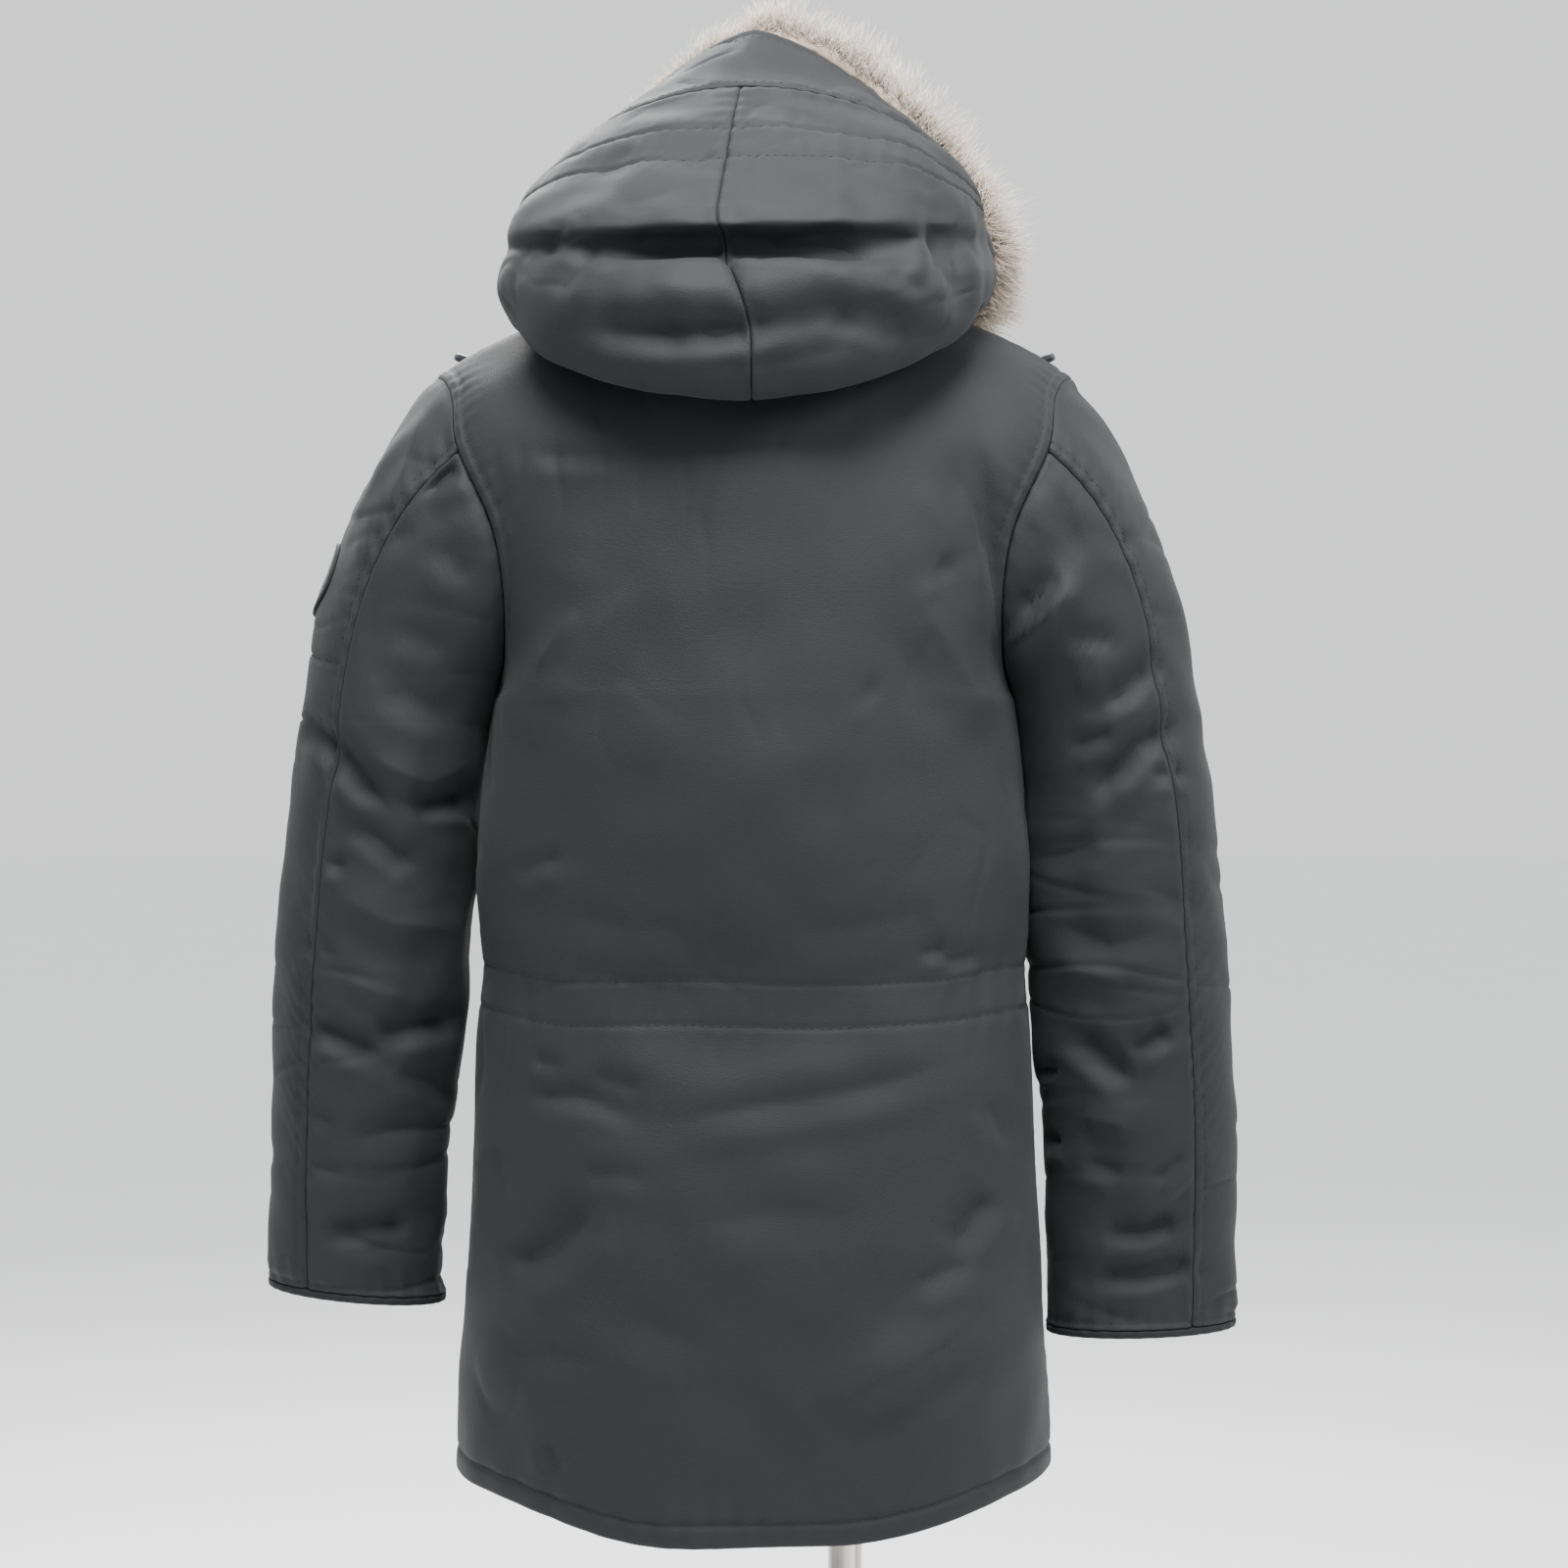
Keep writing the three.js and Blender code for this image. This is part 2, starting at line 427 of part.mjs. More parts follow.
/** Moves the two outer columns of a grid half a seam gap towards its middle. */
function partSeams(outer, inner, first, last) {
  outer.forEach((line, i) => {
    for (const [edge, next, wanted] of [[0, 1, first], [line.length - 1, line.length - 2, last]]) {
      if (!wanted) continue;
      const shift = line[next].clone().sub(line[edge]).setLength(SEAM_GAP / 2);
      line[edge].add(shift);
      inner[i][edge].add(shift);
    }
  });
}

/** Outer and inner points of a body panel between two shares across it. */
function bodyPanel(side, columns) {
  const outer = [];
  const inner = [];
  for (const level of bodyLevels()) {
    const line = columns.map((across) => bodySurface(side, across, level));
    outer.push(line);
    inner.push(line.map((p, j) => p.clone().addScaledVector(bodyInward(side, columns[j], level), WALL.body)));
  }
  const ridge = point(0, ((side === "back" ? 1 : -1) * SEAM_GAP) / 2, 0);
  for (const grid of [outer, inner]) for (const line of grid) for (const p of line) p.add(ridge);
  return { outer, inner };
}

const mirrored = [...ACROSS.slice(1)].reverse().map((u) => -u);
const backPanel = bodyPanel("back", [...mirrored, ...ACROSS]);
const leftColumns = [ZIP_EDGE, ...ACROSS.slice(1)];
const frontPanels = {
  left: bodyPanel("front", leftColumns),
  right: bodyPanel("front", leftColumns.map((u) => -u)),
};

const sleeveCurve = {};
for (const column of ["leftOut", "leftIn", "rightOut", "rightIn", "deep", "midY"]) {
  sleeveCurve[column] = tableCurve(SLEEVE, "z", column);
}

/** A point of a sleeve's tube on the wearer's left or, mirrored, right: 0 degrees faces out, 90 the back. */
function sleeveTube(arm, turn, down) {
  const out = (1 + Math.cos(radians(turn))) / 2;
  const top = lerp(SLEEVE_HEAD.inZ, SLEEVE_HEAD.outZ, out);
  const z = lerp(top, lerp(CUFF[arm].in, CUFF[arm].out, out), down);
  const [far, near] = [sleeveCurve[`${arm}Out`](z), sleeveCurve[`${arm}In`](z)];
  const x = (far + near) / 2 + ((far - near) / 2) * Math.cos(radians(turn));
  return point(x, sleeveCurve.midY(z) + sleeveCurve.deep(z) * Math.sin(radians(turn)), z);
}

/** The plain form of a sleeve: from the armhole over its head (0 to 1), then down the tube (1 to 2). */
function sleeveBase(arm, turn, length) {
  const angle = ((turn % 360) + 360) % 360;
  if (length >= 1) return sleeveTube(arm, angle, length - 1);
  const start = armhole(angle).add(point(SEAM_GAP + 0.15, 0, 0));
  const end = sleeveTube(arm, angle, 0);
  const reach = start.distanceTo(end);
  const away = (1 - Math.cos(radians(angle))) / 2;
  const leave = point(lerp(0.62, 0.34, away ** 2) + 0.5 * Math.sin(radians(angle)) ** 2, 0, -0.78).normalize();
  const arrive = sleeveTube(arm, angle, 0.03).sub(end).normalize();
  const first = start.clone().addScaledVector(leave, reach * 0.36);
  const second = end.clone().addScaledVector(arrive, -reach * 0.34);
  return new THREE.CubicBezierCurve3(start, first, second, end).getPoint(Math.max(length, 0));
}

/** The inward direction of a sleeve's wall. */
function sleeveInward(arm, turn, length) {
  if (length < 0.001) {
    const p = armhole(((turn % 360) + 360) % 360);
    return point(0.12, -p.y / ARMHOLE.back, -(p.z - ARMHOLE.midZ) / ARMHOLE.rise).normalize();
  }
  const step = 0.004;
  const at = Math.min(length, 2 - step);
  const du = sleeveBase(arm, turn + 1, at).sub(sleeveBase(arm, turn - 1, at));
  const dv = sleeveBase(arm, turn, at + step).sub(sleeveBase(arm, turn, at - step));
  return du.cross(dv).normalize();
}

/** Outer and inner points of a sleeve panel between two seam angles. */
function sleevePanel(arm, turns) {
  const side = arm === "left" ? 1 : -1;
  const outer = [];
  const inner = [];
  for (const length of [...CAP_STEPS, ...TUBE_STEPS.map((step) => 1 + step)]) {
    const line = [];
    const under = [];
    for (const turn of turns) {
      const p = sleeveBase(arm, turn, length);
      const inward = sleeveInward(arm, turn, length);
      const half = Math.sin(radians(turn)) >= 0 ? "back" : "front";
      const folds = SLEEVE_FOLDS.filter((fold) => fold.arm === arm && fold.half === half);
      const fade = smooth(Math.abs(Math.sin(radians(turn))), 0.1, 0.5) * smooth(length, 0, 0.35) * smooth(2 - length, 0, 0.08);
      p.addScaledVector(inward, -fade * foldShift(folds, p.x, p.z));
      line.push(p);
      under.push(p.clone().addScaledVector(inward, WALL.sleeve));
    }
    outer.push(line);
    inner.push(under);
  }
  partSeams(outer, inner, true, true);
  for (const grid of [outer, inner]) for (const line of grid) for (const p of line) p.x *= side;
  return { outer, inner };
}

const outerTurns = [
  ...ARMHOLE_TURNS.filter((turn) => turn <= 105).map((turn) => -turn),
  ...ARMHOLE_TURNS.filter((turn) => turn > 0 && turn <= BACK_SEAM_TURN).reverse(),
];
const underTurns = [
  ...ARMHOLE_TURNS.filter((turn) => turn >= BACK_SEAM_TURN).reverse(),
  ...ARMHOLE_TURNS.filter((turn) => turn < 180 && turn >= 360 - FRONT_SEAM_TURN).map((turn) => 360 - turn),
];

/** The narrow tape that wraps a sleeve's lower edge, seam gap below it. */
function cuffBinding(arm) {
  const turns = [...new Set([...outerTurns, ...underTurns].map((turn) => (turn + 360) % 360))].sort((a, b) => a - b);
  const side = arm === "left" ? 1 : -1;
  const ring = (drop, inset) =>
    turns.map((turn) => {
      const p = sleeveBase(arm, turn, 2).addScaledVector(sleeveInward(arm, turn, 2), inset);
      return point(p.x * side, p.y, p.z - SEAM_GAP - drop);
    });
  const fall = CUFF.binding;
  return wall([ring(0, -0.4), ring(fall, -0.4)], [ring(0, WALL.binding - 0.4), ring(fall, WALL.binding - 0.4)], { around: true });
}

/** The body's height over a place beside the neck, or nothing where the place lies past the body. */
function shoulderTop(x, y) {
  const side = y >= NECK.pointY ? "back" : "front";
  const reach = (rise) => {
    const turn = THREE.MathUtils.radToDeg(Math.acos(2 * rise - 1));
    return bodyBase(side, Math.min(Math.abs(x) / armhole(side === "back" ? turn : 360 - turn).x, 1), 1 + rise);
  };
  let [low, high] = [0.3, 1];
  if (Math.abs(reach(low).y) < Math.abs(y)) return null;
  for (let i = 0; i < 24; i++) {
    const middle = (low + high) / 2;
    if (Math.abs(reach(middle).y) > Math.abs(y)) low = middle;
    else high = middle;
  }
  return reach(high).z;
}

/** A point of a hood hoop: -90 degrees at its front end, 0 at its side, 90 at its middle. side is 1 or -1. */
function hoodHoop(hoop, turn, side) {
  const middle = point(0, hoop.midY, hoop.midZ);
  const flank = point(hoop.half, hoop.sideY, hoop.sideZ);
  const end = point(hoop.endX, hoop.endY, hoop.endZ);
  const power = 2 / hoop.power;
  const [c, s] = [Math.cos(radians(turn)), Math.abs(Math.sin(radians(turn)))];
  const p = point(0, 0, 0);
  if (turn >= 0) {
    p.x = flank.x * c ** power;
    p.y = lerp(flank.y, middle.y, s ** power);
    p.z = lerp(flank.z, middle.z, s ** (middle.z < flank.z ? lerp(1.6, 1, smooth(hoop.midY, 120, 170)) : power));
  } else {
    p.x = lerp(end.x, flank.x, c);
    p.y = lerp(flank.y, end.y, s);
    p.z = lerp(flank.z, end.z, s ** lerp(2, 1, smooth(hoop.half, 150, 172)));
  }
  p.x *= side;
  const low = 1 - smooth(p.z, 1400, 1470);
  p.z += p.x < 0 ? -p.x * ROLL_LEAN * low * smooth(hoop.midY, 120, 150) : 0;
  const angle = radians(HOOD_TWIST.degrees) * smooth(p.z, HOOD_TWIST.from, HOOD_TWIST.to) * smooth(hoop.half, 120, 165);
  const [x, y] = [p.x, p.y - HOOD_TWIST.aboutY];
  p.x = x * Math.cos(angle) - y * Math.sin(angle);
  p.y = x * Math.sin(angle) + y * Math.cos(angle) + HOOD_TWIST.aboutY;
  return p;
}

const hoodCurves = Object.keys(HOOD[0]).filter((key) => key !== "name");
const hoodRows = HOOD.map((hoop, row) => ({ ...hoop, row }));
const hoodTable = Object.fromEntries(hoodCurves.map((key) => [key, tableCurve(hoodRows, "row", key)]));

/** A hoop between two rows of the hood's table. */
function hoopAt(row) {
  return Object.fromEntries(hoodCurves.map((key) => [key, hoodTable[key](row)]));
}

/** The plain form of the hood. turn runs from -90 at a front end to 90 at the centre seam, and on to the other side. */
function hoodBase(row, turn) {
  const [folded, side] = turn <= 90 ? [turn, 1] : [180 - turn, -1];
  return hoodHoop(hoopAt(row), folded, side);
}

/** The direction from the hood's outer face to its inside. */
function hoodInward(row, turn) {
  const step = 0.05;
  const low = Math.min(Math.max(row, step), HOOD.length - 1 - step);
  const bent = Math.min(Math.max(turn, -88), 268);
  const du = hoodBase(low, bent + 1.5).sub(hoodBase(low, bent - 1.5));
  const dv = hoodBase(low + step, bent).sub(hoodBase(low - step, bent));
  return dv.cross(du).normalize();
}

/** Outer and inner points of a stretch of the hood. */
function hoodPanel(rows, turns) {
  const outer = [];
  const inner = [];
  for (const row of rows) {
    const line = turns.map((turn) => {
      const p = hoodBase(row, turn);
      const fade = smooth(row, 3, 4.5) * smooth(p.y, 20, 70);
      return p.addScaledVector(hoodInward(row, turn), -fade * foldShift(HOOD_FOLDS, p.x, p.z));
    });
    outer.push(line);
    inner.push(line.map((p, j) => p.clone().addScaledVector(hoodInward(row, turns[j]), WALL.hood)));
  }
  return { outer, inner };
}

/** Half of the hood's body, from the neck seam to the first stitched line. */
function hoodSide(side) {
  const turns = side > 0 ? HOOD_TURNS : HOOD_TURNS.map((turn) => 180 - turn).reverse();
  const rows = HOOD.map((_, row) => row).filter((row) => row <= HOOD_LINE_ONE);
  const { outer, inner } = hoodPanel(rows, turns);
  partSeams(outer, inner, side < 0, side > 0);
  return wall(outer, inner);
}

const hoodAllTurns = [...HOOD_TURNS, ...HOOD_TURNS.slice(0, -1).map((turn) => 180 - turn).reverse()];

/** The band round the face opening, a seam gap in front of the hood's body. */
function hoodBand() {
  const rows = [HOOD_LINE_ONE, HOOD_LINE_ONE + 0.5, HOOD_LINE_ONE + 1, HOOD_LINE_ONE + 1.5, HOOD_LINE_ONE + 2];
  const { outer, inner } = hoodPanel(rows, hoodAllTurns);
  const seams = outer[0].map((p, j, line) =>
    line[Math.min(j + 1, line.length - 1)].clone().sub(line[Math.max(j - 1, 0)]).normalize()
  );
  outer[0].forEach((p, j) => {
    const seam = seams[j];
    const ahead = outer[1][j].clone().sub(p);
    const shift = ahead.addScaledVector(seam, -ahead.dot(seam)).setLength(2 * SEAM_GAP);
    p.add(shift);
    inner[0][j].add(shift);
  });
  return wall(outer, inner);
}

/** The fur strip's solid: a lumpy C round the face opening that reaches as far as its hairs. */
function furRuff() {
  const rim = HOOD.length - 1;
  const rings = [];
  const lean = point(0, -1, RUFF.lean);
  for (let i = 0; i <= RUFF.steps; i++) {
    const turn = lerp(RUFF.endTurn, 180 - RUFF.endTurn, i / RUFF.steps);
    const tangent = hoodBase(rim, turn + 2).sub(hoodBase(rim, turn - 2)).normalize();
    const outward = tangent.clone().cross(lean).normalize();
    const forward = outward.clone().cross(tangent);
    const ends = 0.5 + 0.5 * smooth(Math.min(i, RUFF.steps - i), 0, 4);
    const lump = 1 + RUFF.lump * Math.sin((RUFF.lumps * Math.PI * i) / RUFF.steps) * Math.cos(2.3 * i);
    const out = lerp(RUFF.outLeft, RUFF.outRight, smooth(turn, 75, 115));
    const centre = hoodBase(rim, turn)
      .addScaledVector(forward, RUFF.gap + RUFF.forward / 2)
      .addScaledVector(outward, (out - RUFF.inward) / 2);
    rings.push(
      Array.from({ length: RUFF.sides }, (_, k) => {
        const angle = (2 * Math.PI * (k + 0.5)) / RUFF.sides;
        const along = (Math.cos(angle) * RUFF.forward) / 2;
        const across = (Math.sin(angle) * ends * lump * (RUFF.inward + out)) / 2;
        return centre.clone().addScaledVector(forward, along).addScaledVector(outward, across);
      })
    );
  }
  return loft(rings);
}

/** The neckline as stations from the left of the zip, round the back, to its right. */
function necklineStations() {
  const shares = ACROSS.filter((u) => u > 0 && u < NECK.half).map((u) => u / NECK.half).toReversed();
  const left = [...[ZIP_EDGE / NECK.half, ...shares.toReversed()].map((share) => ["front", share]), ["back", 1]];
  const back = shares.map((share) => ["back", share]);
  const half = [...left, ...back];
  return [...half, ["back", 0], ...half.toReversed().map(([side, share]) => [side, -share])];
}

/** A point on the collar's outer face. */
function collarPoint([side, share], up) {
  const edge = topEdge(side, Math.abs(share) * NECK.half);
  if (share < 0) edge.x *= -1;
  const inward = point(-edge.x, -edge.y - 4, 0).normalize();
  edge.addScaledVector(inward, COLLAR.inset);
  const top = side === "back" ? COLLAR.backTop : lerp(COLLAR.frontTop, COLLAR.backTop, Math.abs(share) ** 2);
  const rise = top - edge.z;
  return edge.add(point(0, COLLAR.leanY * up ** 2, rise * up - COLLAR.sink));
}

/** The stand collar, open at the zip. */
function collar() {
  const stations = necklineStations();
  const outer = COLLAR.steps.map((up) => stations.map((station) => collarPoint(station, up)));
  const inner = outer.map((line) =>
    line.map((p) => p.clone().addScaledVector(point(-p.x, -p.y - 6, 0).normalize(), WALL.collar))
  );
  return wall(outer, inner);
}

/** The line of the garment's centre front, from the hem to the collar's top: depth by height. */
function centreFront() {
  const panel = bodyLevels().map((level) => bodyBase("front", ZIP_EDGE, level));
  const upper = COLLAR.steps.map((up) => collarPoint(["front", ZIP_EDGE / NECK.half], up)).slice(1);
  return [...panel, ...upper];
}

/** The closed zip: one narrow bar in the gap between the two fronts. */
function zip() {
  const line = centreFront().filter((p) => p.z < ZIP.top);
  const section = (p, x) => [point(x, p.y + 0.4, p.z), point(x, p.y + 0.4 + ZIP.deep, p.z)];
  const outer = line.map((p) => [section(p, ZIP.half)[0], section(p, -ZIP.half)[0]]);
  const inner = line.map((p) => [section(p, ZIP.half)[1], section(p, -ZIP.half)[1]]);
  return wall(outer, inner);
}

/** The storm flap over the zip: points of the fronts moved out, then up the collar. */
function stormFlap() {
  const xs = Array.from({ length: FLAP.columns }, (_, i) => lerp(FLAP.right, FLAP.left, i / (FLAP.columns - 1)));
  const outer = [];
  const inner = [];
  const add = (points, outward) => {
    inner.push(points.map((p) => p.clone().addScaledVector(outward, FLAP.lift)));
    outer.push(points.map((p) => p.clone().addScaledVector(outward, FLAP.lift + WALL.flap)));
  };
  for (const level of bodyLevels().slice(1).filter((step) => step < 1.99)) {
    const half = Math.abs(bodyBase("front", 1, level).x);
    const outward = bodyInward("front", ZIP_EDGE * 4, level).negate().setX(0).normalize();
    add(xs.map((x) => bodySurface("front", x / half, level).add(point(0, -SEAM_GAP / 2, 0))), outward);
  }
  const neckHalf = NECK.half * armhole(0).x;
  for (const up of COLLAR.steps.slice(1)) {
    const points = xs.map((x) => collarPoint(["front", x / neckHalf], up).add(point(0, -FLAP.collarLift, 0)));
    add(points, point(0, -1, 0));
  }
  return wall(outer, inner);
}

/** A patch of a front panel moved out: rows between two heights, columns between two indices. */
function overPanel(arm, lowZ, highZ, lift, thick) {
  const { outer, inner } = frontPanels[arm];
  const rows = outer.map((_, i) => i).filter((i) => {
    const z = outer[i][POCKET.firstColumn].z;
    return z > lowZ - 3 && z < highZ + 3;
  });
  const moved = (by) =>
    rows.map((i) =>
      outer[i].slice(POCKET.firstColumn, POCKET.lastColumn + 1).map((p, j) => {
        const outward = p.clone().sub(inner[i][j + POCKET.firstColumn]).normalize();
        return p.clone().addScaledVector(outward, by);
      })
    );
  return wall(moved(lift + thick), moved(lift));
}

/** A plain round patch on the outside of the left sleeve. */
function armPatch() {
  const rings = [0.08, 1].map((share) =>
    Array.from({ length: ARM_PATCH.sides }, (_, k) => {
      const angle = (2 * Math.PI * k) / ARM_PATCH.sides;
      const turn = (share * ARM_PATCH.radius * Math.cos(angle)) / PATCH_SCALE.perDegree;
      const length = ARM_PATCH.length - (share * ARM_PATCH.radius * Math.sin(angle)) / PATCH_SCALE.perLength;
      const inward = sleeveInward("left", turn, length);
      return { p: sleeveBase("left", turn, length), inward };
    })
  );
  const moved = (by) => rings.map((ring) => ring.map(({ p, inward }) => p.clone().addScaledVector(inward, -by)));
  return wall(moved(ARM_PATCH.lift + ARM_PATCH.thick), moved(ARM_PATCH.lift), { around: true });
}

/** The route of a hood drawcord: out of the rim's lower end and over the front of the shoulder to its top. */
function cordRoute(side) {
  const turn = side > 0 ? CORD_ROUTE.exitTurn : 180 - CORD_ROUTE.exitTurn;
  const start = hoodBase(CORD_ROUTE.exitRow, turn);
  const inward = hoodInward(CORD_ROUTE.exitRow, turn);
  const laid = CORD_ROUTE.laid.map(([x, y, lift]) => point(side * x, y, shoulderTop(x, y) + lift));
  return [...CORD_ROUTE.out.map((far) => start.clone().addScaledVector(inward, -far)), ...laid];
}

/** A round section swept along a route. */
function cord(route) {
  const radius = HOOD_CORD.diameter / 2;
  const corners = Array.from({ length: 8 }, (_, k) => {
    const angle = (2 * Math.PI * k) / 8;
    return new THREE.Vector2(radius * Math.cos(angle), radius * Math.sin(angle));
  });
  const path = new THREE.CatmullRomCurve3(route);
  return new THREE.ExtrudeGeometry(new THREE.Shape(corners), { extrudePath: path, steps: 16, bevelEnabled: false });
}

/** A faceted plastic cord end beyond the route's last point. */
function cordEnd(route) {
  const last = route.at(-1);
  const heading = last.clone().sub(route.at(-2)).normalize();
  const shape = new THREE.CylinderGeometry(HOOD_CORD.endWide * 0.36, HOOD_CORD.endWide / 2, HOOD_CORD.endLong, 6, 3);
  const spin = new THREE.Quaternion().setFromUnitVectors(point(0, -1, 0), heading);
  shape.applyQuaternion(spin);
  const middle = last.clone().addScaledVector(heading, HOOD_CORD.endLong / 2 + SEAM_GAP);
  return shape.translate(middle.x, middle.y, middle.z);
}

/** The limbless form: level rings from the hips over the shoulders to the neck. */
function formBody() {
  return loft(
    FORM.map(({ z, half, deep, midY, power }) =>
      Array.from({ length: FORM_SIDES }, (_, k) => {
        const angle = (2 * Math.PI * k) / FORM_SIDES;
        const [c, s] = [Math.cos(angle), Math.sin(angle)];
        const x = half * Math.sign(c) * Math.abs(c) ** (2 / power);
        return point(x, midY + deep * Math.sign(s) * Math.abs(s) ** (2 / power), z);
      })
    )
  );
}

/** A solid turned about the vertical, from pairs of radius and height. */
function turned(profile, sides, x, y) {
  const outline = profile.map(([radius, z]) => new THREE.Vector2(radius, z));
  return new THREE.LatheGeometry(outline, sides).rotateX(Math.PI / 2).translate(x, y, 0);
}

function neckCap() {
  const low = FORM.at(-1).z + SEAM_GAP;
  const { radius, rise, knob, knobRise } = NECK_CAP;
  const profile = [
    [0, low],
    [radius, low],
    [radius, low + rise - 4],
    [radius - 4, low + rise],
    [knob * 0.5, low + rise],
    [knob * 0.5, low + rise + 4],
    [knob, low + rise + 9],
    [knob * 0.8, low + rise + knobRise - 3],
    [0, low + rise + knobRise],
  ];
  return turned(profile, 16, 0, NECK_CAP.midY);
}

function pole() {
  const [low, high] = [BASE.thick + SEAM_GAP, FORM[0].z - SEAM_GAP];
  return turned([[0, low], [POLE.radius, low], [POLE.radius, high], [0, high]], 16, POLE.x, POLE.y);
}

/** A ring round the pole between two heights, closed on itself. */
function poleRing(radius, low, high) {
  const bore = POLE.radius + POLE.fit + 0.2;
  const profile = [[bore, low], [radius, low], [radius, high - 5], [radius - 5, high], [bore, high], [bore, low]];
  return turned(profile, 16, POLE.x, POLE.y);
}

function base() {
  const { radius, thick } = BASE;
  const profile = [[0, 0], [radius - 1.5, 0], [radius, 1.5], [radius, thick - 2.5], [radius - 3, thick], [0, thick]];
  return turned(profile, 36, POLE.x, POLE.y);
}

const parka = new THREE.Group();
parka.name = "parka_on_dress_form";

/** Adds one named piece to the model. */
function piece(name, geometry, material) {
  const mesh = new THREE.Mesh(geometry, material);
  mesh.name = name;
  parka.add(mesh);
}

piece("back", wall(backPanel.outer, backPanel.inner), shell);
piece("front_left", wall(frontPanels.left.outer, frontPanels.left.inner), shell);
piece("front_right", wall(frontPanels.right.outer, frontPanels.right.inner), shell);
for (const arm of ["left", "right"]) {
  const over = sleevePanel(arm, outerTurns);
  const under = sleevePanel(arm, underTurns);
  piece(`sleeve_outer_${arm}`, wall(over.outer, over.inner), shell);
  piece(`sleeve_under_${arm}`, wall(under.outer, under.inner), shell);
  piece(`cuff_binding_${arm}`, cuffBinding(arm), trim);
  piece(`pocket_${arm}`, overPanel(arm, POCKET.bottom, POCKET.mouth, POCKET.lift, POCKET.thick), shell);
  piece(`pocket_flap_${arm}`, overPanel(arm, POCKET.flapBottom, POCKET.top, POCKET.lift, WALL.flap), shell);
  const side = arm === "left" ? 1 : -1;
  piece(`hood_${arm}`, hoodSide(side), shell);
  piece(`hood_cord_${arm}`, cord(cordRoute(side)), cordCloth);
  piece(`cord_end_${arm}`, cordEnd(cordRoute(side)), plastic);
}
piece("hood_band", hoodBand(), shell);
piece("fur_ruff", furRuff(), fur);
piece("collar", collar(), shell);
piece("zip", zip(), zipMetal);
piece("storm_flap", stormFlap(), shell);
piece("arm_patch", armPatch(), trim);
piece("dress_form", formBody(), formCloth);
piece("neck_cap", neckCap(), wood);
piece("pole", pole(), chrome);
piece("pole_socket", poleRing(SOCKET.radius, FORM[0].z - SOCKET.rise, FORM[0].z - SEAM_GAP), chrome);
piece("base_boss", poleRing(BASE.bossRadius, BASE.thick + SEAM_GAP, BASE.thick + BASE.bossRise), chrome);
piece("base", base(), chrome);

export default parka;
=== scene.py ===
"""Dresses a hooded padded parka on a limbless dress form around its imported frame."""

import logging
import math
from collections.abc import Callable, Sequence
from dataclasses import dataclass, field
from enum import Enum

import bpy
import numpy as np
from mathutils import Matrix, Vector

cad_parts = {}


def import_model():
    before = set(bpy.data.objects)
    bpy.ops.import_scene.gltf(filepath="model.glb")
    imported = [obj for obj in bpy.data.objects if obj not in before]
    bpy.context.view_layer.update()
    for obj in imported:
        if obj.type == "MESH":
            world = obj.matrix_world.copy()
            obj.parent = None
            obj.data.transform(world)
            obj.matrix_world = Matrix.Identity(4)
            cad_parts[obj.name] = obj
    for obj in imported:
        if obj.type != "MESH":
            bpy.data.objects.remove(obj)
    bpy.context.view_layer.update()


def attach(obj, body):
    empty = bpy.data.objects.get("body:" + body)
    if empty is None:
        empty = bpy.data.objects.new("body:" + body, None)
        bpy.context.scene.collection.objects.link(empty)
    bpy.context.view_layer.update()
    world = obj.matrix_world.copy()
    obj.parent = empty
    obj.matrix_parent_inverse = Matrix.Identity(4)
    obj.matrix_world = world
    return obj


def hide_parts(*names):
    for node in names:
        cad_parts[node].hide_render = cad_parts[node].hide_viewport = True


log = logging.getLogger("parka")

MM = 0.001
SEED = 41
SEAM_GAP = 0.3
TOUCH = 0.02
Array = np.ndarray


def smooth(value: Array | float, low: float, high: float) -> Array:
    """Rises from 0 at low to 1 at high with level ends."""
    share = np.clip((np.asarray(value, float) - low) / (high - low), 0, 1)
    return share * share * (3 - 2 * share)


def lerp(start: Array | float, end: Array | float, share: Array | float) -> Array:
    """Goes from start at 0 to end at 1."""
    return start + (end - start) * share


def hump(distance: Array, width: float) -> Array:
    """A soft hill of height 1 over distance 0."""
    return np.exp(-((distance / width) ** 2))


def xyz(x: Array | float, y: Array | float, z: Array | float) -> Array:
    """Stacks three coordinates into points."""
    return np.stack(np.broadcast_arrays(np.asarray(x, float), np.asarray(y, float), np.asarray(z, float)), axis=-1)


def unit(vectors: Array) -> Array:
    """Scales vectors to length 1."""
    return vectors / np.maximum(np.linalg.norm(vectors, axis=-1, keepdims=True), 1e-9)


def runs(points: Array, axis: int) -> Array:
    """The length run so far along one axis of a grid of points."""
    steps = np.linalg.norm(np.diff(points, axis=axis), axis=-1)
    pad = [(0, 0)] * steps.ndim
    pad[axis] = (1, 0)
    return np.cumsum(np.pad(steps, pad), axis=axis)


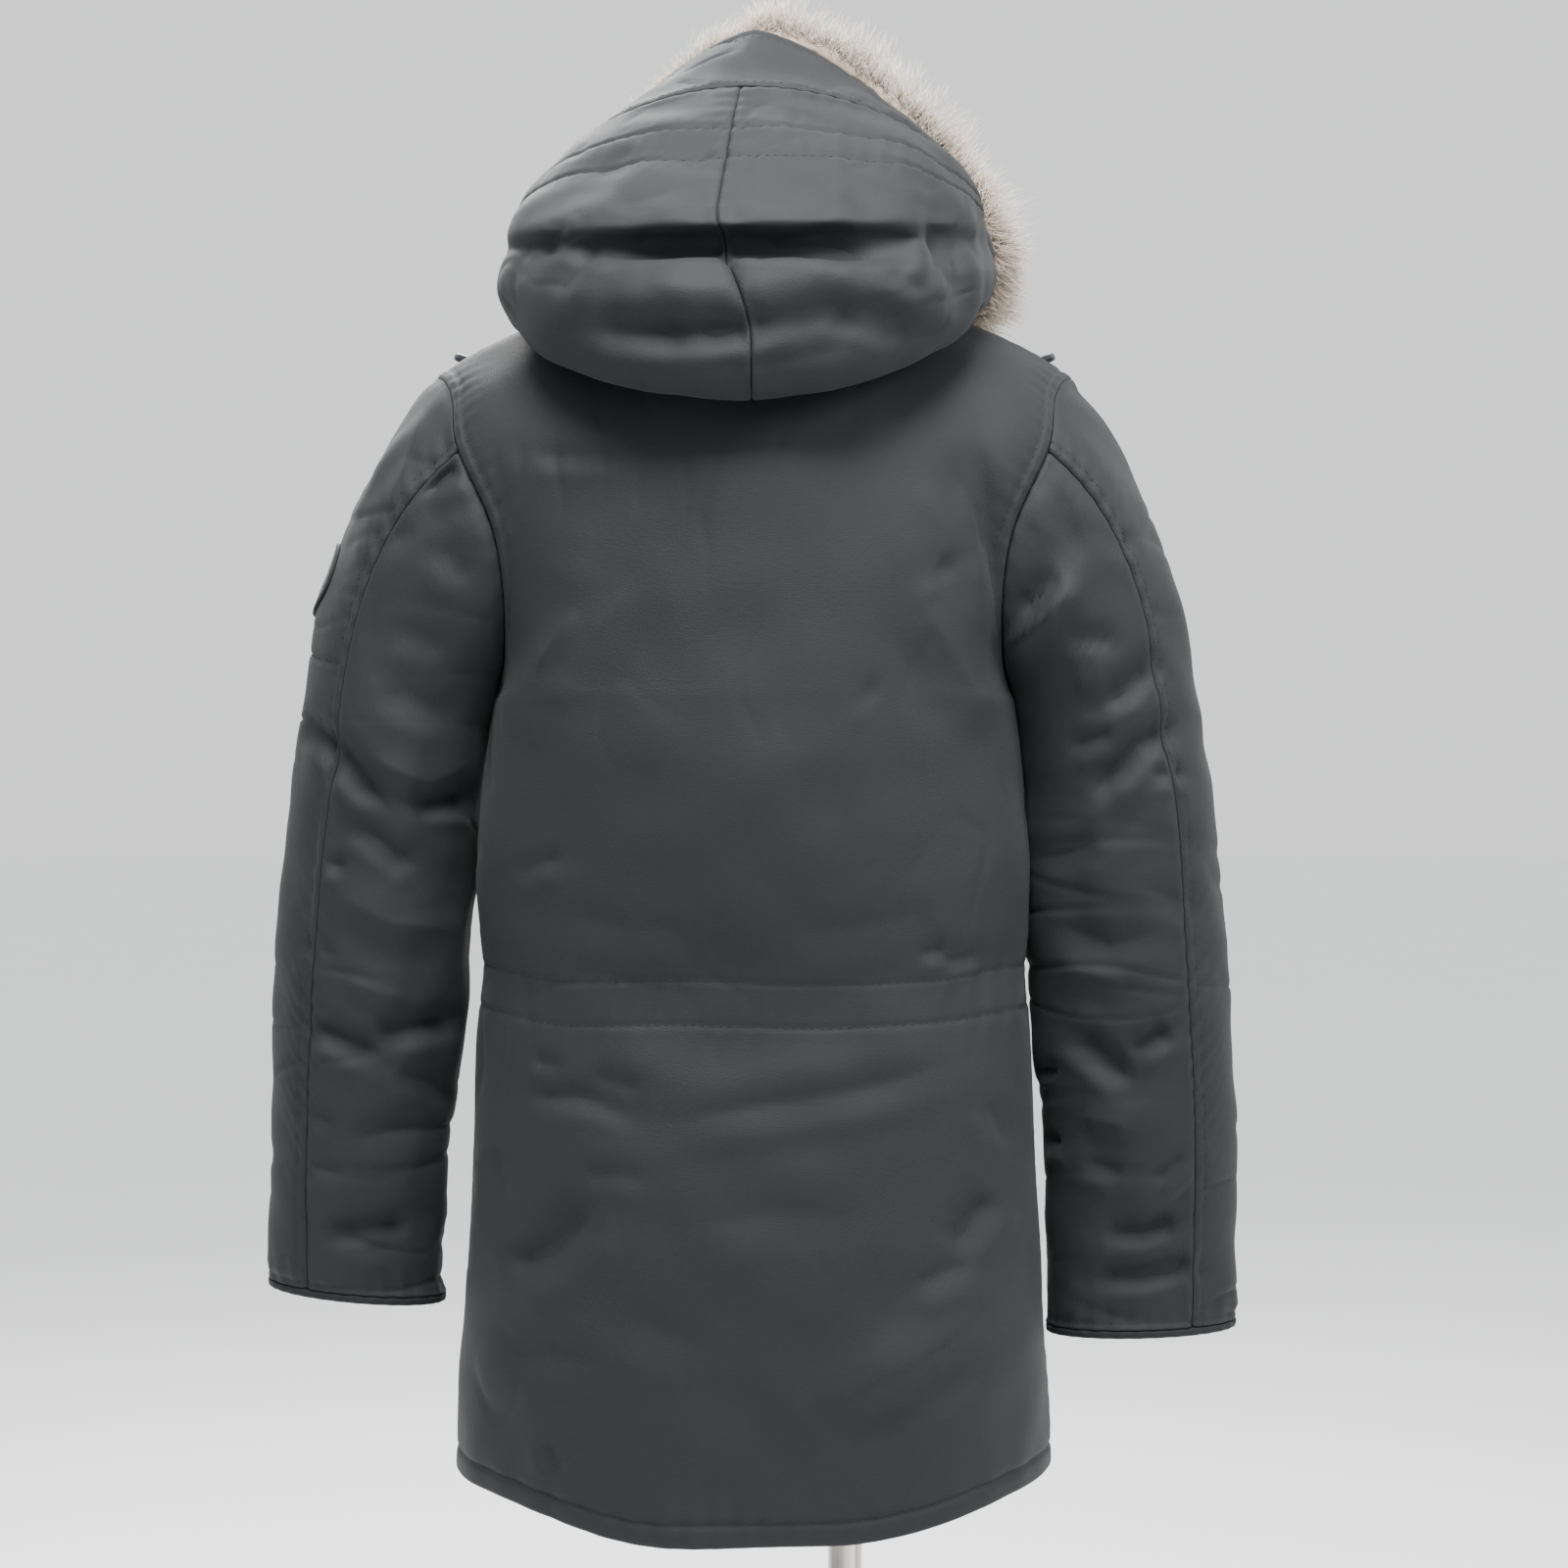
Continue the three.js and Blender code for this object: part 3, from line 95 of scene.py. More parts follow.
def even(
    path: Callable[[Array], Array],
    low: float,
    high: float,
    count: int,
    extra: Sequence[tuple[float, float, float]] = (),
    edge: tuple[float, float] = (2.5, 5.0),
) -> Array:
    """Divides a path into near-equal steps, closer together at its ends and at the listed places.

    Args:
        path: Gives points in mm for an array of parameters.
        low: The first parameter.
        high: The last parameter.
        count: How many parameters to return.
        extra: Places as parameter, reach in mm and how many more steps they get.
        edge: How many more steps the ends get, and their reach in mm.

    Returns:
        The parameters, from low to high.
    """
    fine = np.linspace(low, high, 1600)
    run = runs(path(fine), 0)
    middle = (run[1:] + run[:-1]) / 2
    gain, reach = edge
    weight = 1 + gain * (hump(middle, reach) + hump(run[-1] - middle, reach))
    for place, wide, more in extra:
        weight = weight + more * hump(middle - np.interp(place, fine, run), wide)
    total = np.concatenate([[0.0], np.cumsum(np.diff(run) * weight)])
    return np.interp(np.linspace(0, total[-1], count), total, fine)


class Table:
    """Rows of named columns, read as smooth curves of the first column."""

    def __init__(self, names: str, rows: Sequence[Sequence[float]]) -> None:
        """Sorts the rows by their first column.

        Args:
            names: The column names, with spaces between them.
            rows: The numbers, a row for each key.
        """
        data = np.array(sorted(rows), dtype=float)
        self.keys = data[:, 0]
        self.columns = {name: data[:, i] for i, name in enumerate(names.split())}

    def at(self, name: str, key: Array | float) -> Array:
        """Reads one column at some keys, through a smooth curve.

        Args:
            name: The column.
            key: Where to read it.

        Returns:
            The values, shaped as the keys are.
        """
        values = self.columns[name]
        last = len(self.keys) - 1
        before = np.maximum(np.arange(last + 1) - 1, 0)
        after = np.minimum(np.arange(last + 1) + 1, last)
        slope = (values[after] - values[before]) / (self.keys[after] - self.keys[before])
        inside = np.clip(key, self.keys[0], self.keys[-1])
        i = np.clip(np.searchsorted(self.keys, inside, side="left") - 1, 0, last - 1)
        span = self.keys[i + 1] - self.keys[i]
        t = (inside - self.keys[i]) / span
        start, end = values[i], values[i + 1]
        m, n = slope[i] * span, slope[i + 1] * span
        return start + t * (m + t * (3 * (end - start) - 2 * m - n + t * (2 * (start - end) + m + n)))


@dataclass(frozen=True)
class View:
    """The photograph's view of the coat's back, square on: millimetres against a frame 1600 wide."""

    x: float = -22.0
    y: float = 2000.0
    z: float = 1086.0
    focal: float = 2759.0
    middle: float = 800.0

    def place(self, across: float, down: float, depth: float) -> tuple[float, float]:
        """Finds where a spot of the view lies on the upright plane at a depth.

        Args:
            across: How far it is from the frame's left.
            down: How far it is from the frame's top.
            depth: The plane's Y.

        Returns:
            Its X and Z.
        """
        scale = (self.y - depth) / self.focal
        return self.x - (across - self.middle) * scale, self.z - (down - self.middle) * scale


VIEW = View()
Crease = tuple[Sequence[tuple[float, float]], float, float]


def fold_relief(folds: Sequence[Sequence[float]], x: Array, z: Array) -> Array:
    """How far the main folds move a surface out or in.

    Args:
        folds: Rows of x1, z1, x2, z2, width and depth.
        x: Where the points are across.
        z: How high the points are.

    Returns:
        The shift in mm, outwards positive.
    """
    shift = np.zeros_like(x)
    for x1, z1, x2, z2, width, depth in folds:
        dx, dz = x2 - x1, z2 - z1
        near = np.clip(((x - x1) * dx + (z - z1) * dz) / (dx * dx + dz * dz), 0, 1)
        away = np.hypot(x - x1 - near * dx, z - z1 - near * dz)
        ends = smooth(near, 0, 0.22) * smooth(1 - near, 0, 0.22)
        shift += depth * (0.35 + 0.65 * ends) * hump(away, width)
    return shift


def crease_relief(creases: Sequence[Crease], depth: float, x: Array, z: Array, flip: bool = False) -> Array:
    """How far finer creases, drawn in the photograph's view, move a surface out or in.

    Args:
        creases: A line of spots in the view, a half width in mm and a depth in mm for each.
        depth: The Y of the plane that carries them.
        x: Where the points are across.
        z: How high the points are.
        flip: Whether x is measured to the wearer's right.

    Returns:
        The shift in mm, outwards positive.
    """
    shift = np.zeros_like(x)
    for line, width, tall in creases:
        spots = [VIEW.place(across, down, depth) for across, down in line]
        spots = [(-sx if flip else sx, sz) for sx, sz in spots]
        lengths = [math.dist(a, b) for a, b in zip(spots, spots[1:])]
        total, done = sum(lengths), 0.0
        nearest = np.full_like(x, 1e6)
        share = np.zeros_like(x)
        side = np.zeros_like(x)
        for (x1, z1), (x2, z2), length in zip(spots, spots[1:], lengths):
            near = np.clip(((x - x1) * (x2 - x1) + (z - z1) * (z2 - z1)) / length**2, 0, 1)
            away = np.hypot(x - x1 - near * (x2 - x1), z - z1 - near * (z2 - z1))
            share = np.where(away < nearest, (done + near * length) / total, share)
            left = np.sign((x2 - x1) * (z - z1) - (z2 - z1) * (x - x1))
            side = np.where(away < nearest, left, side)
            nearest = np.minimum(away, nearest)
            done += length
        ends = 0.15 + 0.85 * smooth(share, 0, 0.3) * smooth(1 - share, 0, 0.3)
        q = nearest / width
        bank = 0.3 + 0.2 * side * math.copysign(1, spots[0][0] - spots[-1][0])
        core = 0.7 * np.exp(-1.2 * q**1.3) + 0.3 * np.exp(-((q / 1.9) ** 2))
        shift += 2.0 * tall * ends * (core - bank * np.exp(-(((q - 2.3) / 1.1) ** 2)))
    return shift


def swell(points: Array, size: float, seed: int, waves: int = 14) -> Array:
    """Seeded soft unevenness with a spread of about 1.

    Args:
        points: Where to read it, in mm.
        size: The length of a typical wave in mm.
        seed: Picks the pattern.
        waves: How many waves are summed.

    Returns:
        One number for each point.
    """
    rng = np.random.default_rng(seed)
    total = np.zeros(points.shape[:-1])
    for heading in unit(rng.normal(size=(waves, 3))):
        length = size * rng.uniform(0.7, 1.7)
        total += np.sin(points @ heading * (2 * math.pi / length) + rng.uniform(0, 2 * math.pi))
    return total / math.sqrt(waves / 2)


def crumple(points: Array, size: float, seed: int, sharp: float = 0.32) -> Array:
    """Seeded thin creases along the level lines of a soft pattern, from 0 to -1."""
    return -hump(swell(points, size, seed), sharp) * smooth(swell(points, size * 1.9, seed + 1), 0.0, 1.3)


def seam_relief(distance: Array, along: Array, depth: float, width: float, pucker: float, period: float) -> Array:
    """A stitched line pulled into padded cloth, with small puckers beside it.

    Args:
        distance: How far each point is from the line.
        along: How far along the line it is.
        depth: How deep the thread pulls in.
        width: The half width of the channel.
        pucker: The height of the puckers.
        period: Their spacing along the line.

    Returns:
        The shift in mm, outwards positive.
    """
    phase = along * (2 * math.pi / period) + 1.8 * np.sin(along / (period * 2.3)) + 0.9 * np.sin(along / 41)
    beside = np.exp(-((np.abs(distance) / 15) ** 1.5)) * (0.6 + 0.4 * np.sin(along / 57))
    return pucker * np.sin(phase) * beside - depth * hump(distance, width)


class Socket:
    """A node socket on which ordinary arithmetic builds Math nodes."""

    def __init__(self, graph: "Graph", socket: bpy.types.NodeSocket) -> None:
        """Keeps the socket and the graph that it belongs to."""
        self.graph = graph
        self.socket = socket

    def apply(self, operation: str, *others: "Socket | float", swap: bool = False) -> "Socket":
        """Adds one Math node that starts from this socket.

        Args:
            operation: The Math node's operation.
            others: Its other operands.
            swap: Whether this socket comes second.

        Returns:
            The node's result.
        """
        operands = [*others, self] if swap else [self, *others]
        node = self.graph.add("ShaderNodeMath", {"operation": operation}, dict(enumerate(operands)))
        return Socket(self.graph, node.outputs[0])

    def __add__(self, other: "Socket | float") -> "Socket":
        """self + other."""
        return self.apply("ADD", other)

    def __sub__(self, other: "Socket | float") -> "Socket":
        """self - other."""
        return self.apply("SUBTRACT", other)

    def __rsub__(self, other: float) -> "Socket":
        """other - self."""
        return self.apply("SUBTRACT", other, swap=True)

    def __mul__(self, other: "Socket | float") -> "Socket":
        """self * other."""
        return self.apply("MULTIPLY", other)

    def __truediv__(self, other: "Socket | float") -> "Socket":
        """self / other."""
        return self.apply("DIVIDE", other)

    def __pow__(self, other: float) -> "Socket":
        """self ** other."""
        return self.apply("POWER", other)

    __radd__ = __add__
    __rmul__ = __mul__

    def sine(self) -> "Socket":
        """The sine of this socket."""
        return self.apply("SINE")

    def between(self) -> "Socket":
        """This socket held between 0 and 1."""
        return self.apply("MINIMUM", 1.0).apply("MAXIMUM", 0.0)


Value = Socket | float | Sequence[float]


class Graph:
    """A material's node graph round one Principled shader."""

    def __init__(self, name: str) -> None:
        """Starts a material with an output and a Principled shader."""
        self.material = bpy.data.materials.new(name)
        self.material.use_nodes = True
        self.tree = self.material.node_tree
        self.tree.nodes.clear()
        self.shader = self.add("ShaderNodeBsdfPrincipled")
        output = self.add("ShaderNodeOutputMaterial")
        self.tree.links.new(self.shader.outputs[0], output.inputs["Surface"])

    def add(self, kind: str, settings: dict | None = None, sockets: dict | None = None) -> bpy.types.Node:
        """Adds a node of any kind.

        Args:
            kind: The node's type.
            settings: Its own settings, set first; stops fills a ramp.
            sockets: Values or links for its inputs, by name or number.

        Returns:
            The node.
        """
        node = self.tree.nodes.new(kind)
        for key, value in (settings or {}).items():
            if key == "stops":
                for element, (place, color) in zip(self.spots(node, len(value)), value):
                    element.position = place
                    element.color = (*color, 1)
            else:
                setattr(node, key, value)
        for key, value in (sockets or {}).items():
            self.plug(node.inputs[key], value)
        return node

    def spots(self, node: bpy.types.Node, count: int) -> list:
        """A ramp's elements, with as many as are needed."""
        while len(node.color_ramp.elements) < count:
            node.color_ramp.elements.new(0.5)
        return list(node.color_ramp.elements)

    def plug(self, socket: bpy.types.NodeSocket, value: Value) -> None:
        """Links or sets one input."""
        if isinstance(value, Socket):
            self.tree.links.new(value.socket, socket)
        elif isinstance(value, (tuple, list)) and socket.type == "RGBA":
            socket.default_value = (*value, 1)
        else:
            socket.default_value = value

    def mix(self, factor: Value, first: Value, second: Value) -> Socket:
        """Blends two colours by a factor."""
        node = self.add("ShaderNodeMix", {"data_type": "RGBA"}, {0: factor, 6: first, 7: second})
        return Socket(self, node.outputs[2])

    def noise(self, where: Socket, scale: float, detail: float = 2.0, stretch: Sequence[float] = (1, 1, 1)) -> Socket:
        """Noise over some coordinates, stretched along them if wanted."""
        mapped = self.add("ShaderNodeMapping", None, {"Vector": where, "Scale": tuple(stretch)})
        node = self.add(
            "ShaderNodeTexNoise", None, {"Vector": Socket(self, mapped.outputs[0]), "Scale": scale, "Detail": detail}
        )
        return Socket(self, node.outputs[0])

    def here(self) -> Socket:
        """Object coordinates."""
        return Socket(self, self.add("ShaderNodeTexCoord").outputs["Object"])

    def uv(self, name: str) -> tuple[Socket, Socket, Socket]:
        """A UV map as a vector and its two parts."""
        vector = Socket(self, self.add("ShaderNodeUVMap", {"uv_map": name}).outputs[0])
        parts = self.add("ShaderNodeSeparateXYZ", None, {0: vector})
        return vector, Socket(self, parts.outputs[0]), Socket(self, parts.outputs[1])

    def mark(self, name: str) -> Socket:
        """A number painted on the mesh."""
        node = self.add("ShaderNodeAttribute", {"attribute_type": "GEOMETRY", "attribute_name": name})
        return Socket(self, node.outputs["Fac"])

    def bump(self, height: Socket, distance: float, strength: float = 1.0) -> None:
        """Feeds the shader's Normal from a height."""
        node = self.add("ShaderNodeBump", None, {"Height": height, "Distance": distance, "Strength": strength})
        self.plug(self.shader.inputs["Normal"], Socket(self, node.outputs[0]))

    def dress(self, **values: Value) -> bpy.types.Material:
        """Sets the shader's sockets, named with underscores for spaces, and returns the material."""
        for name, value in values.items():
            self.plug(self.shader.inputs[name.replace("_", " ")], value)
        return self.material


@dataclass(frozen=True)
class ClothFinish:
    """Closely woven cloth: threads, slubs, soft mottling and paler worn edges."""

    name: str
    color: tuple[float, float, float]
    roughness: float = 0.66
    pitch: float = 0.0015
    thread: float = 0.00034
    sheen: float = 0.03

    def build(self) -> bpy.types.Material:
        """Makes the material."""
        g = Graph(self.name)
        where, u, v = g.uv("cloth")
        turn = 2 * math.pi / self.pitch
        weave = (u * turn).sine() * (v * turn).sine() * 0.5 + 0.5
        slub = g.noise(where, 1.0, 3.0, (160, 1100, 1))
        grain = g.noise(where, 1.0, 2.0, (900, 900, 1))
        patches = g.noise(g.here(), 14.0, 3.0)
        wear = g.mark("wear")
        dark = tuple(0.72 * c for c in self.color)
        pale = tuple(1.3 * c for c in self.color)
        worn = tuple(1.5 * c + 0.003 for c in self.color)
        tone = g.mix(patches, dark, pale)
        tone = g.mix((slub * 1.4 - 0.35).between(), tone, pale)
        tone = g.mix(weave * 0.25, tone, dark)
        tone = g.mix((wear * (grain * 0.9 + 0.1) * 0.5).between(), tone, worn)
        rib = g.noise(where, 1.0, 2.0, (1400, 330, 1))
        g.bump(weave * 0.25 + slub * 0.7 + rib * 0.5 + grain * 0.4, self.thread)
        rough = patches * 0.1 + (self.roughness - 0.05) + weave * 0.05
        return g.dress(
            Base_Color=tone, Roughness=rough, Sheen_Weight=self.sheen, Sheen_Roughness=0.45, Specular_IOR_Level=0.16
        )


@dataclass(frozen=True)
class FurFinish:
    """Soft hair: grey-brown at the root, cream towards the tip, each strand its own shade."""

    name: str
    root: tuple[float, float, float]
    middle: tuple[float, float, float]
    tip: tuple[float, float, float]

    def build(self) -> bpy.types.Material:
        """Makes the material."""
        g = Graph(self.name)
        where, pick, along = g.uv("strand")
        stops = [(0.0, self.root), (0.45, self.middle), (1.0, self.tip)]
        ramp = g.add("ShaderNodeValToRGB", {"stops": stops}, {0: along})
        shade = g.mix(pick * 0.35, Socket(g, ramp.outputs[0]), self.root)
        locks = g.noise(g.here(), 38.0, 2.0)
        shade = g.mix((locks - 0.45).between() * 0.9, shade, self.middle)
        g.bump(g.noise(where, 60.0, 2.0), 0.00005)
        return g.dress(
            Base_Color=shade, Roughness=locks * 0.2 + 0.45, Sheen_Weight=0.3, Sheen_Roughness=0.4,
            Specular_IOR_Level=0.3,
        )


@dataclass(frozen=True)
class ChromeFinish:
    """Polished plated steel with faint wiping marks and long soft upright streaks in its colour: the streaks are partly
    polish marks and partly painted reflection bands.
    """

    name: str = "chrome"
    streaks: tuple[float, float, float] = (900, 900, 14)
    # middle is the plate's tint, dark the wiping smudges, pale the colour of the streaks, which are partly painted
    # reflection bands
    dark: tuple[float, float, float] = (0.4, 0.4, 0.41)
    middle: tuple[float, float, float] = (0.58, 0.58, 0.57)
    pale: tuple[float, float, float] = (0.78, 0.77, 0.75)

    def build(self) -> bpy.types.Material:
        """Makes the material."""
        g = Graph(self.name)
        smudge = g.noise(g.here(), 22.0, 4.0)
        streak_and_reflection = g.noise(g.here(), 1.0, 2.0, self.streaks)
        g.bump(streak_and_reflection, 0.00002)
        tone = g.mix(smudge, self.dark, self.middle)
        # paler upright streaks: partly polish marks, partly painted reflection bands
        tone = g.mix(((streak_and_reflection - 0.42) * 4.0).between(), tone, self.pale)
        return g.dress(Base_Color=tone, Metallic=1.0, Roughness=smudge * 0.16 + streak_and_reflection * 0.06 + 0.06)


@dataclass(frozen=True)
class JerseyFinish:
    """The dress form's stretched knit cover."""

    name: str = "form_jersey"
    color: tuple[float, float, float] = (0.66, 0.62, 0.54)

    def build(self) -> bpy.types.Material:
        """Makes the material."""
        g = Graph(self.name)
        where, u, v = g.uv("cloth")
        wale = (u * 2600.0).sine() * 0.5 + 0.5
        course = ((v * 2100.0) + (u * 2600.0).sine() * 1.4).sine() * 0.5 + 0.5
        knit = wale * course
        patches = g.noise(g.here(), 9.0, 3.0)
        fuzz = g.noise(where, 700.0, 2.0)
        dark = tuple(0.8 * c for c in self.color)
        tone = g.mix(knit * 0.25 + patches * 0.4, self.color, dark)
        g.bump(knit * 0.7 + fuzz * 0.3, 0.00022)
        return g.dress(Base_Color=tone, Roughness=fuzz * 0.1 + 0.78, Sheen_Weight=0.25, Specular_IOR_Level=0.25)


@dataclass(frozen=True)
class WoodFinish:
    """Turned and waxed wood with its rings and pores."""

    name: str = "cap_wood"

    def build(self) -> bpy.types.Material:
        """Makes the material."""
        g = Graph(self.name)
        rings = g.noise(g.here(), 1.0, 4.0, (16, 16, 160))
        pores = g.noise(g.here(), 1.0, 2.0, (1400, 90, 1400))
        ramp = g.add(
            "ShaderNodeValToRGB",
            {"stops": [(0.3, (0.16, 0.075, 0.03)), (0.52, (0.34, 0.18, 0.08)), (0.72, (0.42, 0.25, 0.12))]},
            {0: rings},
        )
        tone = g.mix((pores - 0.5).between(), Socket(g, ramp.outputs[0]), (0.1, 0.045, 0.02))
        g.bump(pores * 0.5 + rings * 0.3, 0.0001)
        return g.dress(Base_Color=tone, Roughness=pores * 0.15 + 0.34, Coat_Weight=0.25, Coat_Roughness=0.2)


@dataclass(frozen=True)
class BraidFinish:
    """A round braided cord: two families of strands that cross."""

    name: str = "braided_cord"

    def build(self) -> bpy.types.Material:
        """Makes the material."""
        g = Graph(self.name)
        where, u, v = g.uv("cloth")
        left = (u * 2500.0 + v * 2500.0).sine() * 0.5 + 0.5
        right = (u * 2500.0 - v * 2500.0).sine() * 0.5 + 0.5
        braid = left.apply("MAXIMUM", right)
        fuzz = g.noise(where, 2200.0, 2.0)
        tone = g.mix(braid * 0.7 + fuzz * 0.3, (0.004, 0.004, 0.0045), (0.015, 0.0155, 0.017))
        g.bump(braid * 0.8 + fuzz * 0.2, 0.0003)
        return g.dress(Base_Color=tone, Roughness=fuzz * 0.1 + 0.7, Sheen_Weight=0.03, Specular_IOR_Level=0.12)


@dataclass(frozen=True)
class MouldedFinish:
    """Moulded dark plastic or dull metal with fine scuffs."""

    name: str
    color: tuple[float, float, float]
    metallic: float = 0.0
    roughness: float = 0.36

    def build(self) -> bpy.types.Material:
        """Makes the material."""
        g = Graph(self.name)
        grain = g.noise(g.here(), 2600.0, 2.0)
        scuff = g.noise(g.here(), 1.0, 3.0, (300, 300, 1600))
        tone = g.mix(scuff * 0.5, self.color, tuple(1.7 * c + 0.01 for c in self.color))
        g.bump(grain * 0.5 + scuff * 0.5, 0.00006)
        rough = scuff * 0.2 + self.roughness - 0.1
        return g.dress(Base_Color=tone, Roughness=rough, Metallic=self.metallic, Specular_IOR_Level=0.25)


@dataclass(frozen=True)
class FloorFinish:
    """A pale matt studio floor."""

    name: str = "studio_floor"

    def build(self) -> bpy.types.Material:
        """Makes the material."""
        g = Graph(self.name)
        cloud = g.noise(g.here(), 2.0, 3.0)
        return g.dress(Base_Color=g.mix(cloud, (0.93, 0.935, 0.94), (0.955, 0.96, 0.965)), Roughness=cloud * 0.1 + 0.75)


class Finish(Enum):
    """The finishes that a piece can have, each with a slot name beside it."""

    SHELL = ("shell", ClothFinish("shell_cloth", (0.0078, 0.0087, 0.0098)))
    BINDING = ("binding", ClothFinish("binding_tape", (0.0065, 0.0071, 0.0078), 0.72, 0.0009))
    PATCH = ("patch", ClothFinish("patch_cloth", (0.0075, 0.0083, 0.0092), 0.7, 0.0013, 0.00014))
    THREAD = ("shell", ClothFinish("sewing_thread", (0.0085, 0.0095, 0.0105), 0.5, 0.0005))
    FUR_UNDER = ("fur", FurFinish("fur_under", (0.12, 0.09, 0.065), (0.31, 0.245, 0.185), (0.52, 0.43, 0.34)))
    FUR_GUARD = ("fur", FurFinish("fur_guard", (0.21, 0.165, 0.125), (0.42, 0.35, 0.275), (0.7, 0.61, 0.5)))
    CORD = ("cord", BraidFinish())
    CORD_END = ("cord_end", MouldedFinish("cord_end_plastic", (0.014, 0.015, 0.019)))
    ZIP = ("zip", MouldedFinish("zip_metal", (0.16, 0.15, 0.13), 1.0, 0.42))
    FORM = ("form", JerseyFinish())
    WOOD = ("wood", WoodFinish())
    CHROME = ("chrome", ChromeFinish())
    # the pole's dark warm tones and wide pale upright bands are painted shade and painted reflection, far darker than
    # the plate's own colour
    POLE = ("chrome", ChromeFinish("pole_chrome", (95, 95, 0.5), (0.07, 0.065, 0.06), (0.24, 0.22, 0.2), (0.62, 0.58, 0.53)))

    def material(self) -> bpy.types.Material:
        """The finish's material, made once."""
        maker = self.value[1]
        return bpy.data.materials.get(maker.name) or maker.build()


def add_mesh(
    name: str,
    points: Array,
    faces: Sequence[Sequence[int]],
    finish: Finish,
    uv: tuple[str, Array] | None = None,
    wear: Array | None = None,
) -> bpy.types.Object:
    """Makes a mesh object with its place in its mesh.

    Args:
        name: The piece's name.
        points: Its corners in mm.
        faces: Its faces.
        finish: Its finish.
        uv: A map's name and a place for each corner.
        wear: How worn each corner is, from 0 to 1.

    Returns:
        The object, linked to the scene.
    """
    mesh = bpy.data.meshes.new(name)
    mesh.from_pydata((np.asarray(points) * MM).tolist(), [], faces)
    mesh.shade_smooth()
    if uv is not None:
        corner = np.empty(len(mesh.loops), dtype=np.int32)
        mesh.loops.foreach_get("vertex_index", corner)
        mesh.uv_layers.new(name=uv[0]).data.foreach_set("uv", uv[1][corner].astype(np.float32).ravel())
    worn = np.zeros(len(points)) if wear is None else wear
    mesh.attributes.new("wear", "FLOAT", "POINT").data.foreach_set("value", worn.astype(np.float32))
    mesh.materials.append(finish.material())
    piece = bpy.data.objects.new(name, mesh)
    bpy.context.scene.collection.objects.link(piece)
    return piece


def settle(piece: bpy.types.Object, finish: Finish, *nodes: str) -> bpy.types.Object:
    """Makes a piece ride the body and hides the nodes that it stands for."""
    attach(piece, "root")
    if nodes:
        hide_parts(*nodes)
    log.info("%s: %d faces", piece.name, len(piece.data.polygons))
    return piece


class Edge(Enum):
    """The four edges of a panel's grid."""

    FIRST = "first column"
    LAST = "last column"
    LOW = "first row"
    HIGH = "last row"


